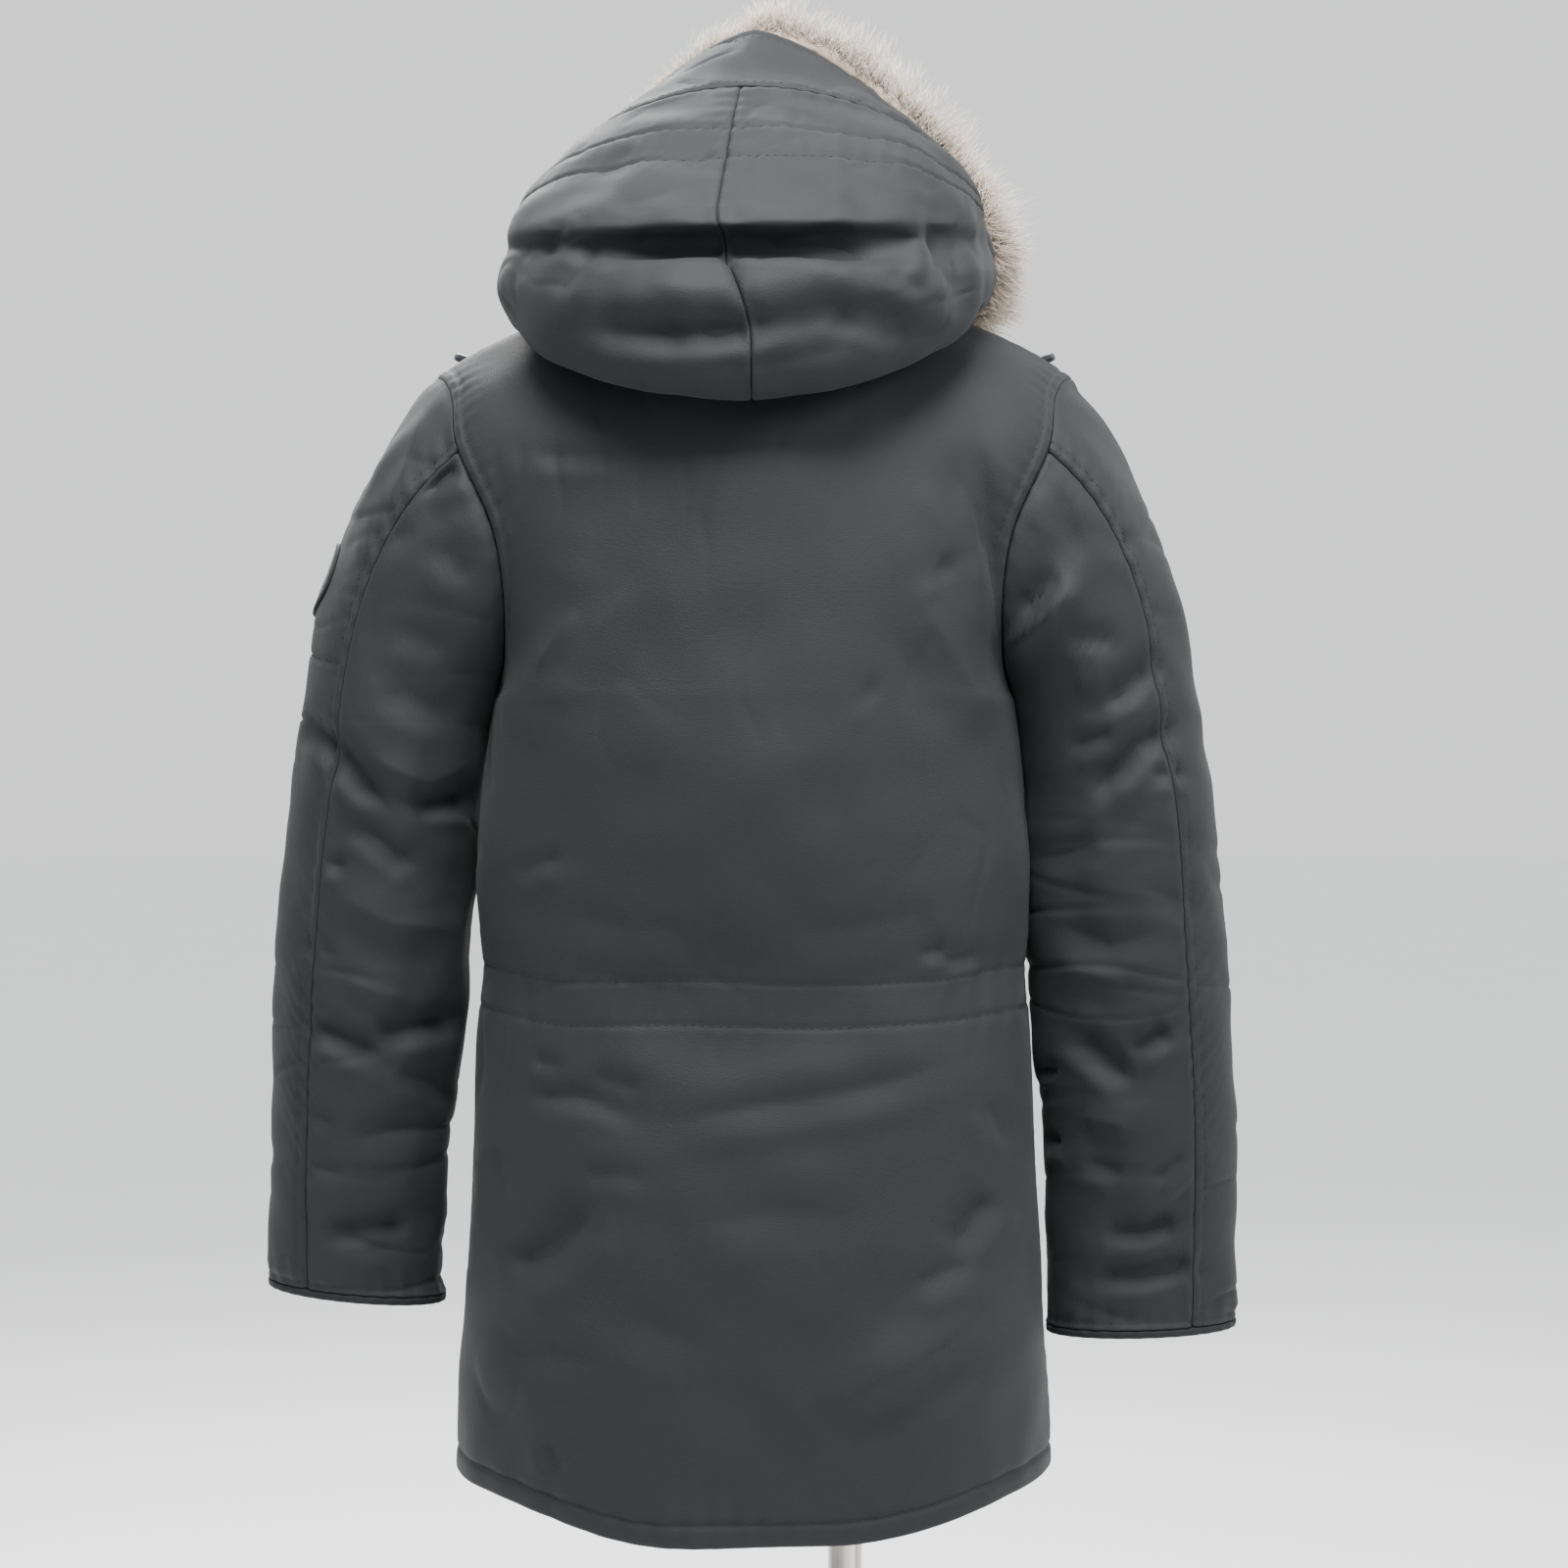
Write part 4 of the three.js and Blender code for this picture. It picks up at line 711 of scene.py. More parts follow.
@dataclass
class Panel:
    """One cut piece as a grid, rows along it and columns across it, in mm."""

    rows: Array
    columns: Array
    base: Array
    inward: Array
    thick: float
    relief: Array = field(init=False)

    def __post_init__(self) -> None:
        """Measures the grid."""
        self.across = runs(self.base, 1)
        self.along = runs(self.base, 0)
        self.relief = np.zeros(self.base.shape[:2])

    def from_edge(self, edge: Edge) -> Array:
        """How far each point is from an edge, over the surface."""
        return {
            Edge.FIRST: self.across,
            Edge.LAST: self.across[:, -1:] - self.across,
            Edge.LOW: self.along,
            Edge.HIGH: self.along[-1:] - self.along,
        }[edge]

    def from_row(self, row: float) -> Array:
        """How far each point is from the line of one row value, over the surface."""
        line = np.array([np.interp(row, self.rows, self.along[:, j]) for j in range(self.along.shape[1])])
        return self.along - line

    def face(self) -> Array:
        """The outer face with its relief."""
        return self.base - self.inward * self.relief[..., None]

    def sample(self, rows: Array, columns: Array) -> tuple[Array, Array]:
        """Reads the outer face and its outward directions at some row and column values.

        Args:
            rows: The row values.
            columns: The column values, one for each row value.

        Returns:
            The points and the outward directions.
        """
        both = np.concatenate([self.face(), -self.inward], axis=-1)
        found = np.empty((len(rows), 6))
        spot = np.interp(rows, self.rows, np.arange(len(self.rows)))
        for k, (place, column) in enumerate(zip(spot, columns)):
            i = min(int(place), len(self.rows) - 2)
            share = place - i
            keys = lerp(self.columns[i], self.columns[i + 1], share)
            values = lerp(both[i], both[i + 1], share)
            j = int(np.clip(np.searchsorted(keys, column) - 1, 0, len(keys) - 2))
            step = np.clip((column - keys[j]) / (keys[j + 1] - keys[j]), 0, 1)
            found[k] = lerp(values[j], values[j + 1], step)
        return found[:, :3], unit(found[:, 3:])

    def beside(self, edge: Edge, distance: float) -> tuple[Array, Array]:
        """Points on the face at one distance from its first or last column, and their outward directions."""
        columns = np.array([
            np.interp(distance if edge is Edge.FIRST else run[-1] - distance, run, keys)
            for run, keys in zip(self.across, self.columns)
        ])
        return self.sample(self.rows, columns)

    def solid(
        self, name: str, finish: Finish, roll: dict[Edge, float], around: bool = False, wear: Array | None = None
    ) -> bpy.types.Object:
        """Turns the grid into a closed wall: a fine outer face, rounded edges and a plainer inside.

        Args:
            name: The piece's name.
            finish: Its finish.
            roll: How far the outer face rounds in at each edge.
            around: Whether the last column joins the first.
            wear: How worn each outer point is.

        Returns:
            The object.
        """
        drop = np.zeros(self.base.shape[:2])
        for edge, radius in roll.items():
            short = np.clip(radius - self.from_edge(edge), 0, radius)
            drop += radius - np.sqrt(np.maximum(radius**2 - short**2, 0))
        face = self.face() + self.inward * np.minimum(drop, self.thick - 0.8)[..., None]
        rows, columns = drop.shape
        row_picks = sorted({*range(0, rows, 4), rows - 1})
        column_picks = sorted({*range(0, columns, 4)} | (set() if around else {columns - 1}))
        plain = self.base + self.inward * self.thick
        inner = plain[np.ix_(row_picks, column_picks)]
        flat_uv = np.stack([self.across, self.along], axis=-1) * MM
        points = np.concatenate([face.reshape(-1, 3), inner.reshape(-1, 3)])
        uv = np.concatenate([flat_uv.reshape(-1, 2), flat_uv[np.ix_(row_picks, column_picks)].reshape(-1, 2)])
        worn = np.zeros(drop.shape) if wear is None else wear
        worn = np.concatenate([worn.ravel(), np.zeros(len(row_picks) * len(column_picks))])
        faces = wall_faces(rows, columns, row_picks, column_picks, around)
        a, b, d = face[0, 0], face[0, 1], face[1, 0]
        middle = face[rows // 2, columns // 2]
        right = face[rows // 2, columns // 2 + 1] - middle
        up = face[rows // 2 + 1, columns // 2] - middle
        if np.dot(np.cross(right, up), self.inward[rows // 2, columns // 2]) > 0:
            faces = [face_[::-1] for face_ in faces]
        return add_mesh(name, points, faces, finish, ("cloth", uv), worn)


def wall_faces(rows: int, columns: int, row_picks: list[int], column_picks: list[int], around: bool) -> list:
    """Faces of a closed wall whose inner grid has only the picked rows and columns.

    Args:
        rows: The outer grid's rows.
        columns: Its columns.
        row_picks: The rows that the inner grid keeps.
        column_picks: The columns that it keeps.
        around: Whether the last column joins the first.

    Returns:
        The faces, with consistent winding.
    """
    outer = np.arange(rows * columns).reshape(rows, columns)
    inner = rows * columns + np.arange(len(row_picks) * len(column_picks)).reshape(len(row_picks), -1)
    stops = list(column_picks)
    if around:
        outer = np.concatenate([outer, outer[:, :1]], axis=1)
        inner = np.concatenate([inner, inner[:, :1]], axis=1)
        stops.append(columns)
    quads = [outer[:-1, :-1], outer[:-1, 1:], outer[1:, 1:], outer[1:, :-1]]
    faces = np.stack(quads, axis=-1).reshape(-1, 4).tolist()
    quads = [inner[:-1, :-1], inner[1:, :-1], inner[1:, 1:], inner[:-1, 1:]]
    faces += np.stack(quads, axis=-1).reshape(-1, 4).tolist()
    for k, (start, stop) in enumerate(zip(stops, stops[1:])):
        faces.append([*outer[0, start:stop + 1][::-1].tolist(), int(inner[0, k]), int(inner[0, k + 1])])
        faces.append([*outer[-1, start:stop + 1].tolist(), int(inner[-1, k + 1]), int(inner[-1, k])])
    if not around:
        for k, (start, stop) in enumerate(zip(row_picks, row_picks[1:])):
            faces.append([*outer[start:stop + 1, 0].tolist(), int(inner[k + 1, 0]), int(inner[k, 0])])
            faces.append([*outer[start:stop + 1, -1][::-1].tolist(), int(inner[k, -1]), int(inner[k + 1, -1])])
    return faces


class Half(Enum):
    """The back or the front half of the body."""

    BACK = 1
    FRONT = -1


@dataclass
class Neckline:
    """Where the collar joins the body, seen from the back."""

    half: float = 0.345
    point_y: float = 3
    nape_y: float = 73
    nape_z: float = 1455
    throat_y: float = -88
    throat_z: float = 1402


@dataclass
class Body:
    """The coat's body: a back and two fronts, over rings below the armholes and over the armholes above."""

    neck: Neckline = field(default_factory=Neckline)
    thick: float = 7.0
    hem_side: float = 586
    hem_middle: tuple[float, float] = (560, 590)
    hem_fold: float = 17
    armpit_z: float = 1150
    power: float = 2.35
    zip_edge: float = 0.016
    waist_lines: tuple[float, float] = (948, 918)
    shoulder_round: tuple[float, float] = (60, 75)
    armhole_mid: float = 1268
    armhole_rise: float = 118
    armhole_deep: tuple[float, float] = (92, -88)
    rings: Table = field(default_factory=lambda: Table("z half back front", [
        (540, 217, 143, 143), (622, 218, 147, 146), (709, 212, 147, 147), (796, 208, 144, 146),
        (880, 205, 137, 142), (918, 203, 131, 138), (948, 200, 130, 138), (985, 201.5, 139, 142),
        (1035, 202, 148, 146), (1100, 196, 153, 149), (1150, 191, 153, 147),
    ]))
    armholes: Table = field(default_factory=lambda: Table("turn back front", [
        (0, 235, 235), (34, 217, 216), (60, 210, 204), (90, 184, 181), (112, 177, 174), (140, 180, 178),
        (165, 188, 187), (180, 191, 191),
    ]))
    shoulder: Table = field(default_factory=lambda: Table("x z", [
        (0, 1451), (81, 1448), (120, 1439), (160, 1426.5), (200, 1409), (222, 1396), (235, 1386),
    ]))
    back_folds: tuple = (
        (-150, 1330, -158, 1225, 17, -5), (118, 1250, 150, 1135, 22, 3.5), (-112, 1235, -158, 1150, 24, 3),
        (-120, 975, -185, 950, 16, -3), (160, 875, 70, 856, 16, -3), (70, 858, -150, 892, 20, 2.5),
        (182, 742, 108, 800, 20, -6), (-136, 762, -166, 805, 18, -5), (-38, 655, -158, 722, 22, 4),
    )
    front_folds: tuple = (
        (150, 1330, 140, 1220, 18, -4), (-152, 1320, -138, 1205, 20, -4), (80, 1190, 165, 1120, 24, 3),
        (-70, 1215, -168, 1110, 24, 3), (70, 985, 180, 960, 18, -3), (-80, 690, -170, 640, 22, -4),
    )
    back_creases: tuple = (
        (((530, 458), (585, 462), (640, 460)), 6, -1.3),
        (((1003, 450), (1020, 560), (1023, 620)), 7, -3.2),
        (((964, 464), (1000, 520), (1015, 580)), 11, -2.2),
        (((653, 586), (590, 670), (553, 732)), 12, 1.6),
        (((589, 621), (543, 686)), 8, 1.6),
        (((928, 600), (1000, 714), (1017, 760)), 13, 2.2),
        (((955, 572), (974, 586)), 9, -1.4),
        (((878, 700), (900, 712)), 9, -1.2),
        (((518, 897), (545, 880), (576, 874)), 6, -1.8),
        (((560, 930), (640, 948), (720, 952)), 9, -1.1),
        (((800, 955), (880, 945), (960, 925)), 10, -1.2),
        (((936, 972), (968, 966)), 5, -2.4),
        (((958, 984), (1006, 972)), 5, -2.0),
        (((534, 1083), (573, 1091)), 5, -1.8),
        (((597, 1098), (659, 1110)), 6, -1.8),
        (((523, 1124), (590, 1120), (651, 1133)), 6, -1.8),
        (((659, 1145), (760, 1128), (869, 1112), (994, 1083)), 9, -2.2),
        (((585, 1196), (667, 1200)), 6, -1.4),
        (((499, 1305), (558, 1281), (608, 1227)), 11, -4.2),
        (((974, 1281), (1017, 1223)), 9, -3.0),
        (((927, 1312), (997, 1293)), 7, -2.0),
        (((830, 1433), (920, 1395), (1005, 1347)), 13, 2.6),
        (((558, 1472), (566, 1507)), 5, -1.8),
        (((640, 1340), (720, 1372)), 12, -1.4),
        (((500, 1400), (560, 1382), (620, 1390)), 9, -1.6),
        (((700, 1250), (790, 1232), (880, 1240)), 12, -1.3),
        (((1010, 1125), (1040, 1180)), 7, -2.0),
        (((495, 1180), (510, 1240)), 7, -1.8),
    )
    front_creases: tuple = (
        (((560, 470), (650, 500)), 8, -1.6), (((1010, 480), (940, 520)), 8, -1.6),
        (((520, 640), (600, 700)), 10, -2.0), (((1040, 640), (960, 690)), 10, -2.2),
        (((540, 880), (640, 905), (720, 900)), 8, -2.0), (((1030, 890), (930, 915)), 8, -2.0),
        (((540, 960), (600, 968)), 5, -2.2), (((1020, 955), (960, 968)), 5, -2.2),
        (((530, 1090), (650, 1120)), 7, -2.2), (((1030, 1085), (900, 1125)), 7, -2.2),
        (((520, 1330), (640, 1370)), 10, -2.6), (((1040, 1340), (900, 1385)), 10, -2.4),
        (((600, 1440), (690, 1425)), 9, -1.6), (((960, 1450), (880, 1440)), 9, -1.6),
    )

    def armhole(self, turn: Array | float) -> Array:
        """The armhole seam on the wearer's left: 0 is the shoulder tip, 90 the back, 180 the bottom.

        Args:
            turn: Degrees round the seam.

        Returns:
            Points on it.
        """
        turn = np.asarray(turn, float)
        back = turn <= 180
        folded = np.where(back, turn, 360 - turn)
        bulge = np.abs(np.sin(np.radians(folded))) ** np.where(folded > 90, 1.4, 1.0)
        x = np.where(back, self.armholes.at("back", folded), self.armholes.at("front", folded))
        y = bulge * np.where(back, *self.armhole_deep)
        return xyz(x, y, self.armhole_mid + self.armhole_rise * np.cos(np.radians(turn)))

    def top_edge(self, half: Half, share: Array) -> Array:
        """The shoulder seam and the neckline, at shares from 0 at the middle to 1 at the shoulder tip."""
        neck = self.neck
        tip = float(self.shoulder.keys[-1])
        x = share * tip
        to_tip = (share - neck.half) / (1 - neck.half)
        seam = xyz(x, neck.point_y * (1 - to_tip), self.shoulder.at("z", x))
        part = np.clip(share / neck.half, 0, 1)
        beside_z = float(self.shoulder.at("z", neck.half * tip))
        bend = np.sqrt(1 - part**2.2)
        if half is Half.BACK:
            line = xyz(x, lerp(neck.point_y, neck.nape_y, bend), lerp(neck.nape_z, beside_z, part**2.5))
        else:
            line = xyz(x, lerp(neck.point_y, neck.throat_y, bend), lerp(beside_z, neck.throat_z, (1 - part**2) ** 0.6))
        return np.where((share >= neck.half)[..., None], seam, line)

    def hem(self, half: Half, share: Array) -> Array:
        """The hem's height at a share across."""
        middle = self.hem_middle[0 if half is Half.BACK else 1]
        return lerp(middle, self.hem_side, smooth(np.abs(share), 0.25, 1))

    def form(self, half: Half, share: Array | float, level: Array | float) -> Array:
        """The body's plain form.

        Args:
            half: Back or front.
            share: From -1 to 1 across.
            level: From 0 at the hem to 1 at the armpit and 2 at the shoulder seam.

        Returns:
            Points on it.
        """
        share, level = np.broadcast_arrays(np.asarray(share, float), np.asarray(level, float))
        power, facing = self.power, half.value
        name = "back" if half is Half.BACK else "front"
        u = np.minimum(np.abs(share), 1.0)
        sign = np.where(share < 0, -1.0, 1.0)
        z = lerp(self.hem(half, u), self.armpit_z, np.minimum(level, 1))
        ring = np.maximum(1 - u**power, 0) ** (1 / power)
        low = xyz(sign * u * self.rings.at("half", z), facing * self.rings.at(name, z) * ring, z)
        rise = np.clip(level - 1, 0, 1)
        turn = np.degrees(np.arccos(np.clip(2 * rise - 1, -1, 1)))
        edge = self.armhole(turn if half is Half.BACK else 360 - turn)
        top = self.top_edge(half, u)
        deepest = facing * float(self.rings.at(name, self.armpit_z))
        middle = 1 - smooth(u, 0, 0.6)
        over = (1 - rise**2.6) ** lerp(0.85, 0.65, 1 - middle)
        ridge = lerp(self.neck.point_y, facing * self.shoulder_round[0 if half is Half.BACK else 1], middle)
        column = lerp(ridge, deepest, over) + (top[..., 1] - ridge) * rise**10
        edge_column = deepest * (1 - rise**2.6) ** 0.65
        safe = np.where(rise < 1, edge_column, 1.0)
        e = np.where(rise < 1, np.minimum(np.abs(edge[..., 1] / safe), 1), 0)
        fade = (1 - rise**4) / power
        spread = (1 - u**power * (1 - e**power)) ** fade
        y = column * spread + (edge[..., 1] - edge_column * (e**power) ** fade) * u**12
        high = xyz(sign * u * edge[..., 0], y, lerp(self.armpit_z, top[..., 2], rise))
        return np.where((level <= 1)[..., None], low, high)

    def inward(self, half: Half, share: Array, level: Array) -> Array:
        """The direction from the outer face to the inside, shared by both panels at a seam."""
        share, level = np.broadcast_arrays(np.asarray(share, float), np.asarray(level, float))
        step = 0.004
        low = np.clip(level, step, 1.985)
        du = self.form(half, share + step, low) - self.form(half, share - step, low)
        dv = self.form(half, share, low + step) - self.form(half, share, low - step)
        found = unit(np.cross(du, dv) * half.value)
        u = np.abs(share)
        sign = np.where(share < 0, -1.0, 1.0)
        height = 2 * (np.clip(level, 1, 2) - 1) - 1
        bend = np.sqrt(np.maximum(1 - height**2, 0))
        side = xyz(-sign, 0, 0)
        hole = unit(xyz(-sign * (1 - height) / 2, -half.value * 0.9 * bend, -np.maximum(height, 0)))
        beside = unit(xyz(sign * 0.12, -half.value * bend, -height))
        hole = unit(lerp(hole, beside, smooth(height, -0.9, -0.3)[..., None]))
        seam = np.where((level <= 1)[..., None], side, hole)
        found = unit(lerp(found, seam, smooth(u, 0.975, 0.9995)[..., None]))
        ridge = smooth(level, 1.965, 1.9995) * smooth(u, self.neck.half - 0.02, self.neck.half)
        ridge = ridge * (1 - smooth(u, 0.995, 1.0))
        return unit(lerp(found, xyz(0, 0, -1.0), ridge[..., None]))

    def panel(self, half: Half, start: float, count: int, rows: int) -> Panel:
        """The plain grid of one half, from a share across to the side seam, with its main folds.

        Args:
            half: Back or front.
            start: The first share; the back starts at 0 and is mirrored.
            count: The number of columns on one side.
            rows: The number of rows.

        Returns:
            The panel.
        """
        low = even(lambda u: self.form(half, u, 0.5), start, 1, count)
        high = even(lambda u: self.form(half, u, 1.5), start, 1, count)
        if start == 0:
            low = np.concatenate([-low[:0:-1], low])
            high = np.concatenate([-high[:0:-1], high])
        hem = float(self.hem(half, 0.5))
        extra = [((z - hem) / (self.armpit_z - hem), 9.0, 1.3) for z in (*self.waist_lines, hem + self.hem_fold)]
        levels = even(lambda v: self.form(half, 0.55, v), 0, 2, rows, extra)
        share = lerp(low[None], high[None], smooth(levels, 1.0, 1.4)[:, None])
        level = np.broadcast_to(levels[:, None], share.shape)
        inward = self.inward(half, share, level)
        base = self.form(half, share, level)
        fade = smooth(1 - np.abs(share), 0, 0.12) * smooth(2 - level, 0, 0.25)
        folds = self.back_folds if half is Half.BACK else self.front_folds
        base = base - inward * (fade * fold_relief(folds, base[..., 0], base[..., 2]))[..., None]
        base = base + np.array([0, half.value * TOUCH, 0])
        return Panel(levels, share, base, inward, self.thick)

    def wrinkle(self, panel: Panel, half: Half, seed: int, sides: Sequence[Edge]) -> None:
        """Adds the sewn lines, creases and soft unevenness to a panel.

        Args:
            panel: The panel.
            half: Back or front.
            seed: Picks the unevenness.
            sides: The edges that are side seams and armholes.
        """
        base = panel.base
        x, z = base[..., 0], base[..., 2]
        level = np.broadcast_to(panel.rows[:, None], x.shape)
        share = np.abs(panel.columns)
        rim = np.min([panel.from_edge(edge) for edge in (*sides, Edge.HIGH)], axis=0)
        calm = smooth(rim, 0, 14)
        creases = self.back_creases if half is Half.BACK else self.front_creases
        relief = crease_relief(creases, 130 * half.value, x, z) * smooth(rim, 0, 8)
        relief += smooth(rim, 0, 34) * (1.7 * swell(base, 170, seed) + 0.6 * swell(base, 58, seed + 3))
        flank = smooth(share, 0.45, 0.95) * (1 + 0.5 * (x < 0))
        relief += calm * crumple(base, 62, seed + 7) * (0.5 + 1.1 * flank)
        for waist in self.waist_lines:
            line = waist + 7 * smooth(share, 0.6, 1) + 1.2 * np.sin(x / 31)
            relief += seam_relief(z - line, x + 0.4 * z, 0.95, 2.2, 0.55, 17) * smooth(rim, -4, 5)
        gather = np.sin(x / 3.6 + 1.5 * np.sin(x / 13) + z / 40) * hump(z - 933, 30)
        relief += gather * (0.25 + 0.9 * flank) * smooth(rim, 0, 9) * 0.7
        relief += 0.4 * hump(z - 933, 10)
        hem_line = panel.from_edge(Edge.LOW) - self.hem_fold
        relief += seam_relief(hem_line, x, 1.5, 2.4, 0.9, 21) + 0.7 * smooth(-hem_line, 0, 8)
        for edge in sides:
            away = panel.from_edge(edge)
            lap = smooth(level, 1.1, 1.4)
            relief += seam_relief(away, panel.along, 0.6 * (1 - lap), 3.0, 0.35, 16)
            relief += lap * (1.1 * smooth(9 - away, 0, 4) + seam_relief(away - 8.5, panel.along, 0.9, 2.0, 0.4, 14))
        panel.relief = relief + seam_relief(panel.from_edge(Edge.HIGH), x, 0.9, 4.0, 0.3, 15)

    def worn(self, panel: Panel) -> Array:
        """How worn the cloth is: most at the hem, the waist lines and the edges."""
        rim = np.min([panel.from_edge(edge) for edge in Edge], axis=0)
        lines = np.max([hump(panel.base[..., 2] - z, 4) for z in self.waist_lines], axis=0)
        return np.clip(0.9 * hump(panel.from_edge(Edge.LOW), 5) + 0.5 * hump(rim, 3) + 0.4 * lines, 0, 1)

    def height(self, x: float, y: float) -> float:
        """The body's height over a place beside the neck."""
        half = Half.BACK if y >= self.neck.point_y else Half.FRONT

        def reach(rise: float) -> Array:
            """The point of the plain form over x at a rise."""
            turn = math.degrees(math.acos(2 * rise - 1))
            wide = float(self.armhole(turn if half is Half.BACK else 360 - turn)[0])
            return self.form(half, min(abs(x) / wide, 1), 1 + rise)

        low, high = 0.3, 1.0
        for _ in range(24):
            middle = (low + high) / 2
            if abs(reach(middle)[1]) > abs(y):
                low = middle
            else:
                high = middle
        return float(reach(high)[2])


class Arm(Enum):
    """The wearer's left or right."""

    LEFT = 1
    RIGHT = -1

    @property
    def word(self) -> str:
        """The arm's name in a piece's name."""
        return self.name.lower()


@dataclass
class Sleeve:
    """A two-piece sleeve, from the armhole over its head and down to the bound cuff."""

    arm: Arm
    body: Body
    thick: float = 7.0
    head: tuple[float, float] = (1118, 1172)
    back_seam: float = 62
    front_seam: float = 255
    cuffs: dict = field(default_factory=lambda: {Arm.LEFT: (706, 719), Arm.RIGHT: (683, 688)})
    rings: Table = field(default_factory=lambda: Table("z leftOut leftIn rightOut rightIn deep midY", [
        (1200, 322, 188, 318, 188, 78, 3), (1144, 333, 193.5, 328, 193.5, 79, 1), (1057, 345, 204.5, 342, 204.5, 77, -4),
        (970, 354, 212, 351, 204.8, 72, -9), (905, 360, 217, 357, 207.5, 67, -13), (840, 361, 226, 359, 217, 61, -17),
        (774, 364, 228, 361, 217, 54, -20), (680, 362, 232, 360, 218, 44, -24),
    ]))
    folds: dict = field(default_factory=lambda: {
        (Arm.LEFT, Half.BACK): (
            (335, 1140, 268, 1068, 15, -7), (246, 1075, 204, 1080, 14, -5), (300, 1062, 246, 1018, 15, -5),
            (272, 902, 216, 912, 15, -6), (322, 912, 268, 884, 14, -5), (318, 760, 246, 758, 15, -6),
            (262, 1352, 286, 1270, 16, 5),
        ),
        (Arm.LEFT, Half.FRONT): (
            (225, 1130, 300, 1080, 16, -6), (235, 1010, 315, 985, 16, -6), (250, 880, 330, 905, 16, -5),
            (255, 790, 325, 775, 15, -5),
        ),
        (Arm.RIGHT, Half.BACK): (
            (180, 1182, 232, 1232, 15, 7), (188, 1226, 214, 1262, 16, -7), (248, 1140, 300, 1178, 15, -5),
            (238, 1073, 312, 1132, 16, -6), (228, 908, 274, 868, 15, -6), (268, 890, 302, 910, 14, -5),
            (252, 752, 312, 766, 15, -6), (246, 722, 316, 730, 13, -5),
        ),
        (Arm.RIGHT, Half.FRONT): (
            (222, 1122, 300, 1090, 16, -6), (230, 1000, 312, 1010, 16, -6), (240, 862, 325, 880, 16, -5),
            (250, 752, 320, 740, 15, -5),
        ),
    })
    creases: dict = field(default_factory=lambda: {
        Arm.LEFT: (
            (((308, 733), (357, 769), (408, 835)), 7, -3.6), (((428, 819), (482, 815)), 6, -2.6),
            (((362, 833), (439, 891)), 7, -2.4), (((329, 879), (357, 884)), 5, -1.6),
            (((380, 1057), (425, 1046), (469, 1042)), 7, -3.0), (((316, 1039), (388, 1078)), 7, -3.0),
            (((328, 1256), (424, 1253)), 6, -2.4), (((336, 1260), (401, 1287)), 6, -2.0),
            (((435, 506), (474, 478)), 7, -3.4), (((439, 419), (420, 480), (403, 537)), 10, 2.2),
            (((455, 560), (488, 600)), 8, -2.2), (((402, 640), (470, 668)), 8, -1.6),
            (((395, 700), (470, 735)), 9, -1.8), (((300, 1130), (345, 1150)), 6, -1.6),
            (((350, 1165), (440, 1150)), 9, -1.8), (((300, 960), (350, 975)), 7, -1.5),
            (((395, 560), (430, 545)), 6, -1.6), (((378, 770), (440, 800), (486, 770)), 8, 2.0),
            (((340, 905), (400, 940), (470, 950)), 10, 1.8), (((352, 1000), (420, 1020)), 8, 1.8),
            (((400, 1090), (440, 1110), (458, 1140)), 7, -2.0), (((310, 1190), (352, 1204)), 6, -1.5),
        ),
        Arm.RIGHT: (
            (((1026, 662), (1060, 632), (1095, 595)), 5, 3.4), (((1034, 634), (1080, 588)), 7, -4.2),
            (((1074, 651), (1140, 656)), 6, -2.4), (((1119, 723), (1143, 704), (1175, 672)), 6, -2.6),
            (((1082, 766), (1132, 747)), 6, -2.0), (((1108, 817), (1154, 760), (1205, 734)), 7, -3.2),
            (((1170, 790), (1213, 790)), 5, -1.8), (((1091, 1049), (1158, 1109)), 7, -3.0),
            (((1151, 1074), (1199, 1047)), 6, -2.6), (((1107, 1187), (1149, 1201)), 6, -1.8),
            (((1176, 1210), (1213, 1178)), 6, -2.0), (((1130, 1263), (1167, 1263), (1213, 1247)), 6, -2.6),
            (((1116, 1311), (1167, 1309), (1213, 1297), (1250, 1311)), 6, -2.4),
            (((1060, 880), (1120, 860)), 8, -1.8), (((1160, 900), (1225, 930)), 8, -1.6),
            (((1066, 500), (1090, 540), (1084, 585)), 8, -2.6), (((1090, 520), (1100, 556)), 7, 2.0),
            (((1120, 556), (1165, 560)), 7, -1.6), (((1088, 700), (1128, 690)), 8, 1.8),
            (((1100, 850), (1150, 790)), 9, 2.0), (((1070, 940), (1130, 965), (1180, 950)), 9, -2.0),
            (((1080, 985), (1150, 1005)), 9, 1.8), (((1100, 1140), (1160, 1150)), 8, 1.8),
            (((1069, 1095), (1084, 1100)), 5, -2.6), (((1073, 1175), (1090, 1170)), 5, -2.4),
        ),
    })

    @property
    def seed(self) -> int:
        """The number that picks this sleeve's unevenness."""
        return SEED + 20 + 10 * self.arm.value

    def tube(self, turn: Array, down: Array | float) -> Array:
        """A ring of the tube: 0 faces out, 90 the back."""
        cos, sin = np.cos(np.radians(turn)), np.sin(np.radians(turn))
        out = (1 + cos) / 2
        cuff_in, cuff_out = self.cuffs[self.arm]
        z = lerp(lerp(*self.head, out), lerp(cuff_in, cuff_out, out), down)
        far, near = self.rings.at(f"{self.arm.word}Out", z), self.rings.at(f"{self.arm.word}In", z)
        x = (far + near) / 2 + (far - near) / 2 * cos
        return xyz(x, self.rings.at("midY", z) + self.rings.at("deep", z) * sin, z)

